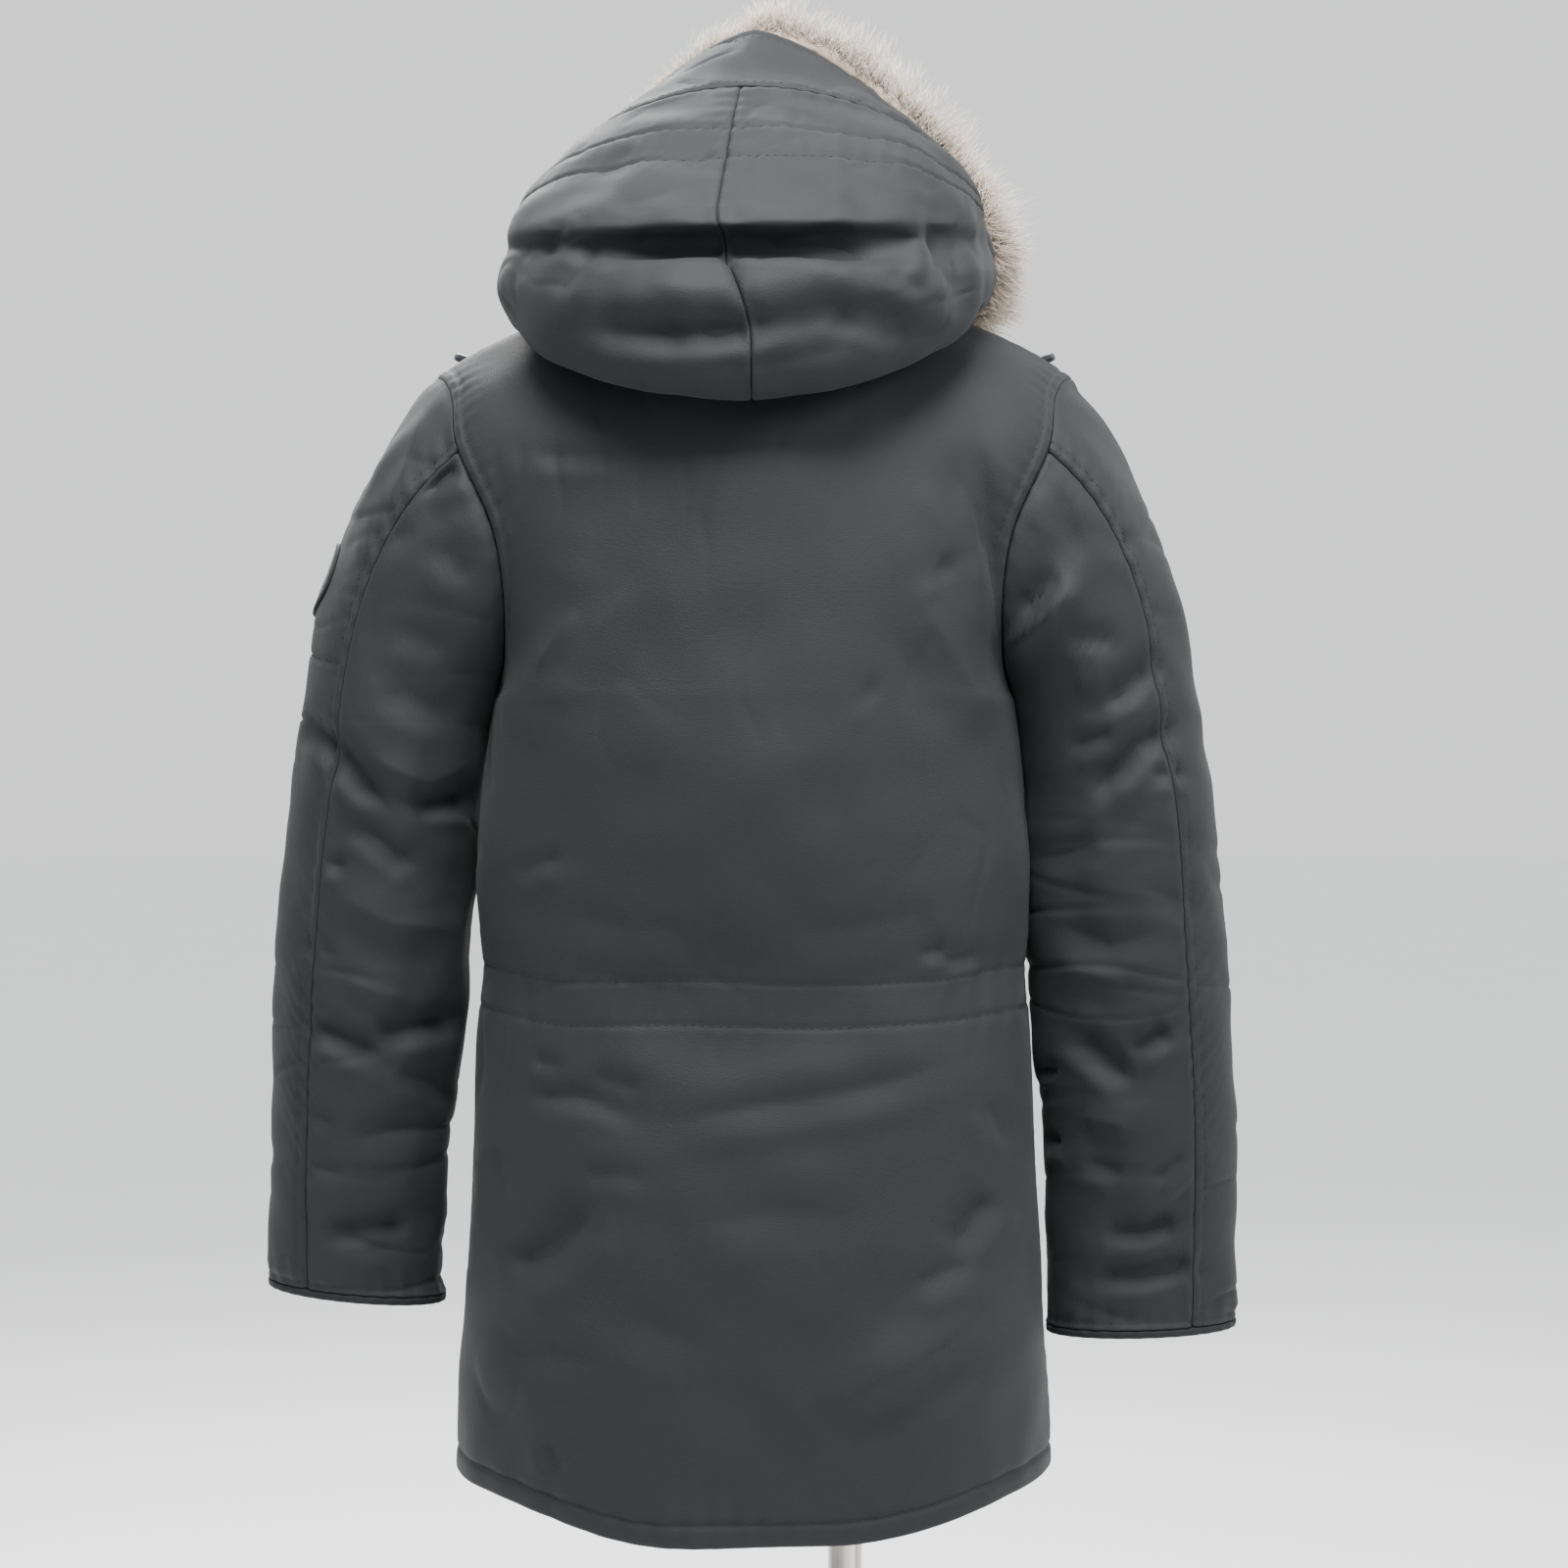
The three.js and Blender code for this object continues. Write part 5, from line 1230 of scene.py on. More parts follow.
    def form(self, turn: Array | float, length: Array | float) -> Array:
        """The plain form, as if on the wearer's left: length 0 to 1 over the head, then 1 to 2 down the tube."""
        turn, length = np.broadcast_arrays(np.asarray(turn, float), np.asarray(length, float))
        angle = turn % 360
        down = self.tube(angle, np.maximum(length - 1, 0))
        start = self.body.armhole(angle) + np.array([SEAM_GAP + 0.15, 0, 0])
        end = self.tube(angle, 0)
        reach = np.linalg.norm(end - start, axis=-1, keepdims=True)
        away = (1 - np.cos(np.radians(angle))) / 2
        leave = unit(xyz(lerp(0.62, 0.34, away**2) + 0.5 * np.sin(np.radians(angle)) ** 2, 0, -0.78))
        arrive = unit(self.tube(angle, 0.03) - end)
        first = start + leave * reach * 0.36
        second = end - arrive * reach * 0.34
        t = np.clip(length, 0, 1)[..., None]
        s = 1 - t
        head = start * s**3 + first * (3 * s * s * t) + second * (3 * s * t * t) + end * t**3
        return np.where((length >= 1)[..., None], down, head)

    def inward(self, turn: Array, length: Array) -> Array:
        """The direction from the outer face to the inside."""
        turn, length = np.broadcast_arrays(np.asarray(turn, float), np.asarray(length, float))
        step = 0.004
        low = np.clip(length, step, 2 - step)
        du = self.form(turn + 1, low) - self.form(turn - 1, low)
        dv = self.form(turn, low + step) - self.form(turn, low - step)
        found = unit(np.cross(du, dv))
        p = self.body.armhole(turn % 360)
        deep, rise = self.body.armhole_deep[0], self.body.armhole_rise
        seam = unit(xyz(0.12, -p[..., 1] / deep, -(p[..., 2] - self.body.armhole_mid) / rise))
        return unit(lerp(seam, found, smooth(length, 0, 0.05)[..., None]))

    def relief(self, panel: Panel, turns: Array, seams: dict[Edge, bool]) -> Array:
        """The sewn lines, creases and unevenness of one sleeve panel.

        Args:
            panel: The panel.
            turns: Degrees round the sleeve for each point.
            seams: Its long edges, and whether each has a second stitched line beside it.

        Returns:
            The shift in mm, outwards positive.
        """
        base = panel.base
        x, z = base[..., 0], base[..., 2]
        rim = np.min([panel.from_edge(edge) for edge in (*seams, Edge.LOW, Edge.HIGH)], axis=0)
        calm = smooth(rim, 0, 12)
        behind = smooth(np.sin(np.radians(turns)), 0.0, 0.35)
        relief = crease_relief(self.creases[self.arm], 45, x, z, self.arm is Arm.RIGHT) * behind * smooth(rim, 0, 7)
        relief += calm * (1.4 * swell(base, 110, self.seed) + 0.6 * swell(base, 44, self.seed + 1))
        relief += calm * crumple(base * np.array([0.5, 0.5, 1.5]), 62, self.seed + 5, 0.26) * 1.3
        relief += calm * crumple(base * np.array([0.35, 0.35, 1.7]), 84, self.seed + 9, 0.3) * 1.7
        inside = smooth(-np.cos(np.radians(turns)), 0.55, 0.92)
        near = 1.6 if self.arm is Arm.LEFT else 3.9
        relief += near * inside * smooth(z, 915, 985) * smooth(1165 - z, 0, 30)
        for edge, twin in seams.items():
            away = panel.from_edge(edge)
            relief += seam_relief(away, panel.along, 1.3, 3.2, 0.5, 17)
            if twin:
                relief += seam_relief(away - 7, panel.along, 0.8, 1.8, 0.3, 17)
        relief += seam_relief(panel.from_edge(Edge.LOW), panel.across, 0.8, 4.5, 0.4, 17)
        relief += seam_relief(panel.from_edge(Edge.HIGH) - 5, panel.across, 1.0, 3.0, 0.5, 15)
        return relief

    def panel(self, low: float, high: float, count: int, rows: int, seams: dict[Edge, bool]) -> Panel:
        """One panel between two seam angles, still as if on the wearer's left.

        Args:
            low: The first seam, in degrees.
            high: The last seam.
            count: The number of columns.
            rows: The number of rows.
            seams: Its long edges, and whether each has a second stitched line.

        Returns:
            The panel.
        """
        turns = even(lambda t: self.form(t, 1.4), low, high, count)
        lengths = even(lambda v: self.form((low + high) / 2, v), 0, 2, rows)
        turn, length = np.broadcast_arrays(turns[None], lengths[:, None])
        inward = self.inward(turn, length)
        base = self.form(turn, length)
        sin = np.sin(np.radians(turn))
        fade = smooth(np.abs(sin), 0.1, 0.5) * smooth(length, 0, 0.35) * smooth(2 - length, 0, 0.08)
        back = fold_relief(self.folds[self.arm, Half.BACK], base[..., 0], base[..., 2])
        front = fold_relief(self.folds[self.arm, Half.FRONT], base[..., 0], base[..., 2])
        base = base - inward * (fade * np.where(sin >= 0, back, front))[..., None]
        for edge, step in ((0, 1), (-1, -2)):
            base[:, edge] += unit(base[:, step] - base[:, edge]) * TOUCH
        panel = Panel(lengths, np.array(turn), base, inward, self.thick)
        panel.relief = self.relief(panel, turn, seams)
        return panel

    def mirror(self, panel: Panel) -> Panel:
        """The panel on this sleeve's own side."""
        side = np.array([self.arm.value, 1, 1])
        turned = Panel(panel.rows, panel.columns, panel.base * side, panel.inward * side, panel.thick)
        turned.relief = panel.relief
        return turned

    def build(self) -> list[Panel]:
        """Makes the sleeve's two panels and its cuff binding.

        Returns:
            The outer and the under panel.
        """
        word = self.arm.word
        specs = (
            ("outer", self.front_seam - 360, self.back_seam, 86, {Edge.FIRST: False, Edge.LAST: True}),
            ("under", self.back_seam, self.front_seam, 84, {Edge.FIRST: False, Edge.LAST: False}),
        )
        panels = []
        for part, low, high, count, seams in specs:
            panel = self.mirror(self.panel(low, high, count, 252, seams))
            roll = {Edge.FIRST: 1.2, Edge.LAST: 1.2, Edge.LOW: 0.8, Edge.HIGH: 1.5}
            rim = np.min([panel.from_edge(edge) for edge in Edge], axis=0)
            worn = np.clip(0.5 * hump(rim, 3) + 0.8 * hump(panel.from_edge(Edge.HIGH), 6), 0, 1)
            piece = panel.solid(f"sleeve_{part}_panel_{word}", Finish.SHELL, roll, wear=worn)
            settle(piece, Finish.SHELL, f"sleeve_{part}_{word}")
            panels.append(panel)
        self.binding()
        return panels

    def binding(self, fall: float = 6, thick: float = 8) -> None:
        """Makes the narrow tape that wraps the sleeve's lower edge."""
        turns = np.linspace(0, 360, 160, endpoint=False)
        drops = np.array([0, 0.5, 1.2, 2.2, 3.4, 4.6, 5.4, 5.8, 6.0]) * fall / 6
        turn, drop = np.broadcast_arrays(turns[None], drops[:, None])
        inward = self.inward(turn, np.full(turn.shape, 2.0))
        plain = self.form(turn, np.full(turn.shape, 2.0)) - inward * -0.4
        plain = plain - xyz(0, 0, SEAM_GAP + drop)
        side = np.array([self.arm.value, 1, 1])
        panel = Panel(drops, np.array(turn), plain * side, inward * side, thick)
        panel.relief = 0.3 + 0.25 * np.sin(np.radians(turn) * 31)
        wear = 0.7 * hump(drop - fall, 2.0)
        roll = {Edge.LOW: 1.5, Edge.HIGH: 2.6}
        piece = panel.solid(f"cuff_tape_{self.arm.word}", Finish.BINDING, roll, around=True, wear=wear)
        settle(piece, Finish.BINDING, f"cuff_binding_{self.arm.word}")


@dataclass
class Hood:
    """The hood: two sides, a band round the face opening and the roll that falls down the back."""

    thick: float = 5.0
    line_one: float = 12
    twist: float = -7
    about_y: float = -20
    lean: float = 0.1
    hoops: Table = field(default_factory=lambda: Table("row midY midZ half sideY sideZ endX endY endZ power", [
        (0, 73.8, 1457, 81.7, 3, 1450.5, 52, -70.9, 1417.5, 2), (1, 98, 1431, 116, 3, 1447.5, 54, -86, 1415, 2.1),
        (2, 127, 1380, 150, 5, 1438, 57, -97, 1409, 2.2), (3, 158, 1347, 168, 8, 1432, 60, -106, 1407, 2.3),
        (4, 184, 1360, 176, 8, 1442, 63, -112, 1408, 2.4), (5, 196, 1400, 179, 4, 1458, 65, -115, 1409, 2.5),
        (6, 187, 1434, 177, 0, 1470, 67, -117, 1410, 2.5), (7, 172, 1451, 174, 0, 1480, 69, -118, 1411, 2.5),
        (8, 180, 1465, 173, 4, 1489, 71, -119, 1412, 2.5), (9, 157, 1492, 172, 4, 1496, 73, -121, 1414, 2.5),
        (10, 127, 1522, 172, -2, 1500, 75, -122, 1416, 2.35), (11, 102, 1549, 172, -16, 1502, 77, -124, 1418, 2.2),
        (12, 56, 1589, 172, -40, 1500, 80, -126, 1420, 1.95), (13, 20, 1619, 173, -66, 1494, 83, -129, 1422, 1.68),
        (14, -15, 1649, 174, -92, 1486, 86, -132, 1424, 1.44),
    ]))
    folds: tuple = (
        (95, 1449, -105, 1446, 11, -9), (110, 1398, 40, 1388, 15, -9), (40, 1388, -50, 1396, 14, -7),
        (-50, 1396, -118, 1384, 15, -9), (-126, 1500, -142, 1420, 13, -7),
    )
    creases: tuple = (
        (((612, 262), (660, 252), (757, 253), (856, 257), (930, 262)), 5, -3.4),
        (((587, 336), (658, 344), (757, 344), (816, 318)), 8, -2.4),
        (((816, 316), (880, 318), (935, 328), (950, 352)), 8, -2.6),
        (((560, 300), (590, 262), (612, 240)), 7, -2.6), (((556, 352), (590, 372), (640, 384)), 7, -1.8),
        (((690, 384), (790, 378), (880, 356)), 8, -1.4), (((545, 250), (575, 215)), 8, -1.8),
        (((620, 205), (690, 190)), 9, -1.3), (((860, 190), (900, 212)), 8, -1.6),
        (((947, 205), (958, 250), (950, 300)), 6, -2.4), (((975, 220), (984, 262), (978, 305)), 5, -2.2),
        (((905, 275), (950, 300)), 7, -2.0), (((655, 295), (700, 305), (760, 300)), 12, 1.8),
        (((820, 285), (880, 290)), 11, 1.6), (((640, 120), (600, 165)), 9, -1.2),
    )

    def hoop(self, row: Array, turn: Array) -> Array:
        """The plain form: rows from the neck seam to the rim, turns from -90 at a front end to 90 at the middle."""
        row, turn = np.broadcast_arrays(np.asarray(row, float), np.asarray(turn, float))
        side = np.where(turn <= 90, 1.0, -1.0)
        folded = np.where(turn <= 90, turn, 180 - turn)
        get = {name: self.hoops.at(name, row) for name in self.hoops.columns if name != "row"}
        cos, sin = np.abs(np.cos(np.radians(folded))), np.abs(np.sin(np.radians(folded)))
        power = 2 / get["power"]
        overhang = lerp(1.6, 1, smooth(get["midY"], 120, 170))
        climb = sin ** np.where(get["midZ"] < get["sideZ"], overhang, power)
        back = xyz(
            get["half"] * cos**power,
            lerp(get["sideY"], get["midY"], sin**power),
            lerp(get["sideZ"], get["midZ"], climb),
        )
        fall = sin ** lerp(2, 1, smooth(get["half"], 150, 172))
        front = xyz(
            lerp(get["endX"], get["half"], cos),
            lerp(get["sideY"], get["endY"], sin),
            lerp(get["sideZ"], get["endZ"], fall),
        )
        p = np.where((folded >= 0)[..., None], back, front)
        x, y, z = p[..., 0] * side, p[..., 1], p[..., 2]
        low = 1 - smooth(z, 1400, 1470)
        z = z + np.where(x < 0, -x * self.lean * low * smooth(get["midY"], 120, 150), 0)
        angle = np.radians(self.twist) * smooth(z, 1380, 1480) * smooth(get["half"], 120, 165)
        y = y - self.about_y
        return xyz(x * np.cos(angle) - y * np.sin(angle), x * np.sin(angle) + y * np.cos(angle) + self.about_y, z)

    def inward(self, row: Array, turn: Array) -> Array:
        """The direction from the outer face to the inside."""
        step = 0.05
        low = np.clip(row, step, 14 - step)
        bent = np.clip(turn, -88, 268)
        du = self.hoop(low, bent + 1.5) - self.hoop(low, bent - 1.5)
        dv = self.hoop(low + step, bent) - self.hoop(low - step, bent)
        return unit(np.cross(dv, du))

    def panel(self, rows: tuple[float, float], turns: tuple[float, float], size: tuple[int, int], seed: int) -> Panel:
        """One stretch of the hood with its folds and unevenness.

        Args:
            rows: Its first and last row.
            turns: Its first and last turn.
            size: Its numbers of rows and columns.
            seed: Picks the unevenness.

        Returns:
            The panel.
        """
        lines = [(line, 8.0, 1.2) for line in (7.0, 10.0, 11.0) if rows[0] < line < rows[1]]
        steps = even(lambda r: self.hoop(r, np.full(r.shape, 60.0)), *rows, size[0], lines)
        angles = even(lambda t: self.hoop(np.full(t.shape, (rows[0] + rows[1]) / 2 + 2), t), *turns, size[1])
        row, turn = np.broadcast_arrays(steps[:, None], angles[None])
        inward = self.inward(row, turn)
        base = self.hoop(row, turn)
        fade = smooth(row, 3, 4.5) * smooth(base[..., 1], 20, 70)
        base = base - inward * (fade * fold_relief(self.folds, base[..., 0], base[..., 2]))[..., None]
        panel = Panel(steps, np.array(turn), base, inward, self.thick)
        x, z = base[..., 0], base[..., 2]
        rim = np.min([panel.from_edge(edge) for edge in Edge], axis=0)
        calm = smooth(rim, 0, 12)
        relief = fade * crease_relief(self.creases, 165, x, z) * smooth(rim, 0, 7)
        relief += calm * (1.2 * swell(base, 90, seed) + 0.5 * swell(base, 38, seed + 1))
        relief += calm * crumple(base, 46, seed + 4) * 1.3
        for line in (10.0, 11.0):
            if rows[0] < line < rows[1]:
                relief += seam_relief(panel.from_row(line), panel.across, 1.3, 2.8, 0.55, 13)
        panel.relief = relief
        return panel

    def build(self) -> list[Panel]:
        """Makes the two sides and the band.

        Returns:
            The left side, the right side and the band.
        """
        made = []
        for arm, turns, middle in ((Arm.LEFT, (-90, 90), Edge.LAST), (Arm.RIGHT, (90, 270), Edge.FIRST)):
            panel = self.panel((0, self.line_one), turns, (190, 118), SEED + 60)
            edge, step = (-1, -2) if middle is Edge.LAST else (0, 1)
            panel.base[:, edge] += unit(panel.base[:, step] - panel.base[:, edge]) * SEAM_GAP / 2
            panel.relief += seam_relief(panel.from_edge(middle), panel.along, 0.8, 2.6, 0.45, 16)
            panel.relief += seam_relief(panel.from_edge(Edge.HIGH), panel.across, 1.2, 3.4, 0.5, 13)
            roll = {middle: 1.4, Edge.HIGH: 1.4, Edge.LOW: 0.6}
            rim = panel.from_edge(Edge.HIGH)
            piece = panel.solid(f"hood_side_{arm.word}", Finish.SHELL, roll, wear=0.5 * hump(rim, 3))
            settle(piece, Finish.SHELL, f"hood_{arm.word}")
            made.append(panel)
        band = self.panel((self.line_one, 14), (-90, 270), (44, 220), SEED + 66)
        band.base[0] += unit(band.base[1] - band.base[0]) * 2 * SEAM_GAP
        band.relief += seam_relief(band.from_edge(Edge.LOW), band.across, 1.2, 3.4, 0.5, 13)
        band.relief += seam_relief(band.from_edge(Edge.HIGH) - 9, band.across, 0.9, 2.2, 0.4, 14)
        worn = 0.8 * hump(band.from_edge(Edge.HIGH), 4)
        roll = {Edge.LOW: 1.2, Edge.HIGH: 2.4, Edge.FIRST: 2.0, Edge.LAST: 2.0}
        piece = band.solid("hood_rim_band", Finish.SHELL, roll, wear=worn)
        settle(piece, Finish.SHELL, "hood_band")
        return [*made, band]


@dataclass
class Ruff:
    """The fur round the face opening: a backing strip and two coats of tapered hairs."""

    hood: Hood
    forward: float = 58
    out_left: float = 4
    out_right: float = 30
    inner: float = 30
    gap: float = 1.2
    lean: float = 0.35
    end_turn: float = -84

    def spine(self, share: Array) -> tuple[Array, Array, Array, Array]:
        """The strip's middle line and its frame, at shares from the left end to the right.

        Args:
            share: From 0 to 1.

        Returns:
            Centres, forward directions, outward directions and how far the fur reaches out.
        """
        turn = lerp(self.end_turn, 180 - self.end_turn, share)
        rim = np.full(turn.shape, 14.0)
        tangent = unit(self.hood.hoop(rim, turn + 2) - self.hood.hoop(rim, turn - 2))
        outward = unit(np.cross(tangent, np.array([0, -1, self.lean])))
        forward = np.cross(outward, tangent)
        out = lerp(self.out_left, self.out_right, smooth(turn, 75, 115))
        centre = self.hood.hoop(rim, turn) + forward * (self.gap + self.forward / 2)
        return centre + outward * ((out - self.inner) / 2)[..., None], forward, outward, out

    def strip(self) -> None:
        """Makes the backing that the hairs grow from."""
        share = np.linspace(0, 1, 180)
        centre, forward, outward, _ = self.spine(share)
        angles = np.linspace(0, 2 * math.pi, 28, endpoint=False)
        close = (0.25 + 0.75 * smooth(np.minimum(share, 1 - share), 0, 0.03))[:, None, None]
        along = (-9 + 17 * np.cos(angles))[None, :, None]
        across = (7 * np.sin(angles))[None, :, None] * close
        points = centre[:, None] + forward[:, None] * along + outward[:, None] * across
        points = points + 0.8 * swell(points, 9, SEED)[..., None] * outward[:, None]
        rings, sides = points.shape[:2]
        faces = []
        for i in range(rings - 1):
            for j in range(sides):
                k = (j + 1) % sides
                faces.append([i * sides + j, i * sides + k, (i + 1) * sides + k, (i + 1) * sides + j])
        faces.append(list(range(sides))[::-1])
        faces.append([(rings - 1) * sides + j for j in range(sides)])
        spread = np.random.default_rng(SEED).uniform(0, 1, rings * sides)
        uv = np.stack([spread, np.full(rings * sides, 0.12)], axis=-1)
        piece = add_mesh("fur_strip", points.reshape(-1, 3), faces, Finish.FUR_UNDER, ("strand", uv))
        outward_faces(piece)
        settle(piece, Finish.FUR_UNDER, "fur_ruff")

    def hairs(self, name: str, finish: Finish, count: int, reach: tuple[float, float], wide: float, seed: int) -> None:
        """Grows one coat of hairs as tapered three-sided strands.

        Args:
            name: The piece's name.
            finish: Its finish.
            count: How many hairs.
            reach: The least and most share of the fur's depth that a hair spans.
            wide: A hair's thickness at its root.
            seed: Fixes every random choice.
        """
        rng = np.random.default_rng(seed)
        share = rng.uniform(0.004, 0.996, count)
        lock = np.round(share * 150 + rng.normal(0, 0.35, count)) / 150
        share = lerp(share, np.clip(lock, 0.002, 0.998), 0.55)
        centre, forward, outward, out = self.spine(share)
        rear = rng.uniform(0.45, 0.97, count) * math.pi
        angle = np.where(rng.random(count) < 0.36, rear, rng.uniform(-math.pi, math.pi, count))
        angle = angle * lerp(0.82, 1.0, np.abs(angle) / math.pi)
        cos, sin = np.cos(angle)[:, None], np.sin(angle)[:, None]
        root = centre + forward * (-9 + 15 * cos) + outward * 6 * sin
        far = rng.uniform(*reach, count)[:, None] * (0.94 + 0.09 * swell(centre, 46, seed))[:, None]
        depth = ((self.inner + out) / 2)[:, None]
        tip = centre + forward * (cos * self.forward / 2 * far) + outward * (sin * (depth + 5) * far)
        tangent = np.cross(forward, outward)
        comb = 8 * swell(centre, 60, seed + 1) + rng.normal(0, 4.0, count)
        tip = tip + tangent * comb[:, None] + rng.normal(0, 1.6, (count, 3))
        tip[:, 2] -= rng.uniform(0, 4.5, count)
        bend = lerp(root, tip, 0.5) + outward * (sin * rng.uniform(0, 5, count)[:, None]) + rng.normal(0, 1.3, (count, 3))
        bend = bend - tangent * (0.4 * comb)[:, None]
        shares = np.array([0.0, 0.36, 0.7, 1.0])
        widths = np.array([1.0, 0.9, 0.58]) * wide / 2
        spine = [root * (1 - s) ** 2 + bend * 2 * s * (1 - s) + tip * s * s for s in shares]
        heading = unit(tip - root)
        sideways = unit(np.cross(heading, rng.normal(size=(count, 3))))
        across = np.cross(heading, sideways)
        thick = rng.uniform(0.7, 1.25, count)[:, None]
        corners = []
        for middle, width in zip(spine, widths):
            for k in range(3):
                turn = 2 * math.pi * k / 3
                corners.append(middle + (sideways * math.cos(turn) + across * math.sin(turn)) * width * thick)
        corners.append(spine[3])
        points = np.stack(corners, axis=1).reshape(-1, 3)
        start = (np.arange(count) * 10)[:, None]
        shape = []
        for ring in (0, 3):
            for k in range(3):
                n = (k + 1) % 3
                shape.append([ring + k, ring + n, ring + 3 + n, ring + 3 + k])
        quads = (start[:, :, None] + np.array(shape)[None]).reshape(-1, 4).tolist()
        caps = (start[:, :, None] + np.array([[6, 7, 9], [7, 8, 9], [8, 6, 9], [2, 1, 0]])[None]).reshape(-1, 3).tolist()
        pick = np.repeat(rng.uniform(0, 1, count), 10)
        level = np.tile(np.repeat(shares, [3, 3, 3, 1]), count)
        piece = add_mesh(name, points, quads + caps, finish, ("strand", np.stack([pick, level], axis=-1)))
        settle(piece, finish)

    def build(self) -> None:
        """Makes the strip and both coats."""
        self.strip()
        self.hairs("fur_under_coat", Finish.FUR_UNDER, 8200, (0.5, 0.95), 0.95, SEED + 80)
        self.hairs("fur_guard_coat", Finish.FUR_GUARD, 9400, (0.78, 1.32), 0.55, SEED + 90)


def outward_faces(piece: bpy.types.Object) -> None:
    """Turns a closed piece's faces outwards, by the sign of its volume."""
    mesh = piece.data
    points = np.array([v.co for v in mesh.vertices])
    volume = 0.0
    for polygon in mesh.polygons:
        ids = polygon.vertices
        for k in range(1, len(ids) - 1):
            volume += float(np.dot(points[ids[0]], np.cross(points[ids[k]], points[ids[k + 1]])))
    if volume < 0:
        mesh.flip_normals()


@dataclass
class Drawcord:
    """One end of the hood's drawcord, laid over the shoulder, with its moulded end."""

    arm: Arm
    body: Body
    hood: Hood
    diameter: float = 4
    end_long: float = 19
    end_wide: float = 9
    exit_row: float = 13.2
    exit_turn: float = -58
    out: tuple[float, float] = (2.5, 8)
    laid: tuple = ((136, -90, 10), (154, -74, 5), (172, -58, 4), (190, -45, 6), (208, -35, 15))

    def route(self) -> Array:
        """The points that the cord follows, as in the part's source."""
        row = np.array(self.exit_row)
        turn = np.array(self.exit_turn if self.arm is Arm.LEFT else 180 - self.exit_turn)
        start = self.hood.hoop(row, turn)
        inward = self.hood.inward(row, turn)
        first = [start - inward * far for far in self.out]
        rest = [xyz(self.arm.value * x, y, self.body.height(x, y) + lift) for x, y, lift in self.laid]
        return np.array([*first, *rest])

    def path(self, steps: int = 90) -> Array:
        """A smooth line through the route."""
        route = self.route()
        padded = np.concatenate([[2 * route[0] - route[1]], route, [2 * route[-1] - route[-2]]])
        knots = np.concatenate([[0], np.cumsum(np.linalg.norm(np.diff(padded, axis=0), axis=1) ** 0.5)])
        line = []
        for at in np.linspace(knots[1], knots[-2], steps):
            i = int(np.clip(np.searchsorted(knots, at, side="right") - 1, 1, len(knots) - 3))
            p, k = padded[i - 1:i + 3], knots[i - 1:i + 3]
            level = [p[j] + (p[j + 1] - p[j]) * (at - k[j]) / (k[j + 1] - k[j]) for j in range(3)]
            level = [level[j] + (level[j + 1] - level[j]) * (at - k[j]) / (k[j + 2] - k[j]) for j in range(2)]
            line.append(level[0] + (level[1] - level[0]) * (at - k[1]) / (k[2] - k[1]))
        return np.array(line)

    def build(self) -> None:
        line = self.path()
        sides = 14
        points, faces = tube(line, self.diameter / 2, sides)
        run = runs(line, 0)
        around = np.arange(sides) * math.pi * self.diameter / sides
        uv = np.stack(np.broadcast_arrays(around[None], run[:, None]), axis=-1).reshape(-1, 2) * MM
        cord = add_mesh(f"drawcord_{self.arm.word}", points, faces, Finish.CORD, ("cloth", uv))
        outward_faces(cord)
        settle(cord, Finish.CORD, f"hood_cord_{self.arm.word}")
        tip = self.end(line)
        self.diameter * MM

    def end(self, line: Array) -> bpy.types.Object:
        """Makes the faceted cord end: a tapered six-sided barrel with a collar and a bevelled mouth."""
        heading = unit(line[-1] - line[-2])
        start = line[-1] + heading * SEAM_GAP
        wide, long = self.end_wide / 2, self.end_long
        profile = (
            (0.0, 0.55), (0.0, 0.78), (0.06, 0.92), (0.2, 0.92), (0.24, 0.8), (0.32, 0.8), (0.38, 1.0), (0.62, 1.0),
            (0.94, 0.82), (1.0, 0.68), (1.0, 0.3),
        )
        sideways = unit(np.cross(heading, np.array([0, 0, 1.0])))
        above = np.cross(sideways, heading)
        points, faces, sides = [], [], 6
        for far, width in profile:
            for k in range(sides):
                turn = 2 * math.pi * (k + 0.5) / sides
                ring = sideways * math.cos(turn) + above * math.sin(turn) * 0.85
                points.append(start + heading * far * long + ring * wide * width)
        for i in range(len(profile) - 1):
            for k in range(sides):
                n = (k + 1) % sides
                faces.append([i * sides + k, i * sides + n, (i + 1) * sides + n, (i + 1) * sides + k])
        faces.append(list(range(sides))[::-1])
        faces.append([(len(profile) - 1) * sides + k for k in range(sides)])
        piece = add_mesh(f"cord_tip_{self.arm.word}", np.array(points), faces, Finish.CORD_END)
        outward_faces(piece)
        bevel = piece.modifiers.new("bevel", "BEVEL")
        bevel.width = 0.0006
        bevel.segments = 3
        bevel.limit_method = "ANGLE"
        bake_modifiers(piece)
        piece.data.shade_flat()
        return settle(piece, Finish.CORD_END, f"cord_end_{self.arm.word}")


def bake_modifiers(piece: bpy.types.Object) -> None:
    """Turns a piece and its modifiers into a plain mesh."""
    graph = bpy.context.evaluated_depsgraph_get()
    mesh = bpy.data.meshes.new_from_object(piece.evaluated_get(graph))
    piece.modifiers.clear()
    piece.data = mesh


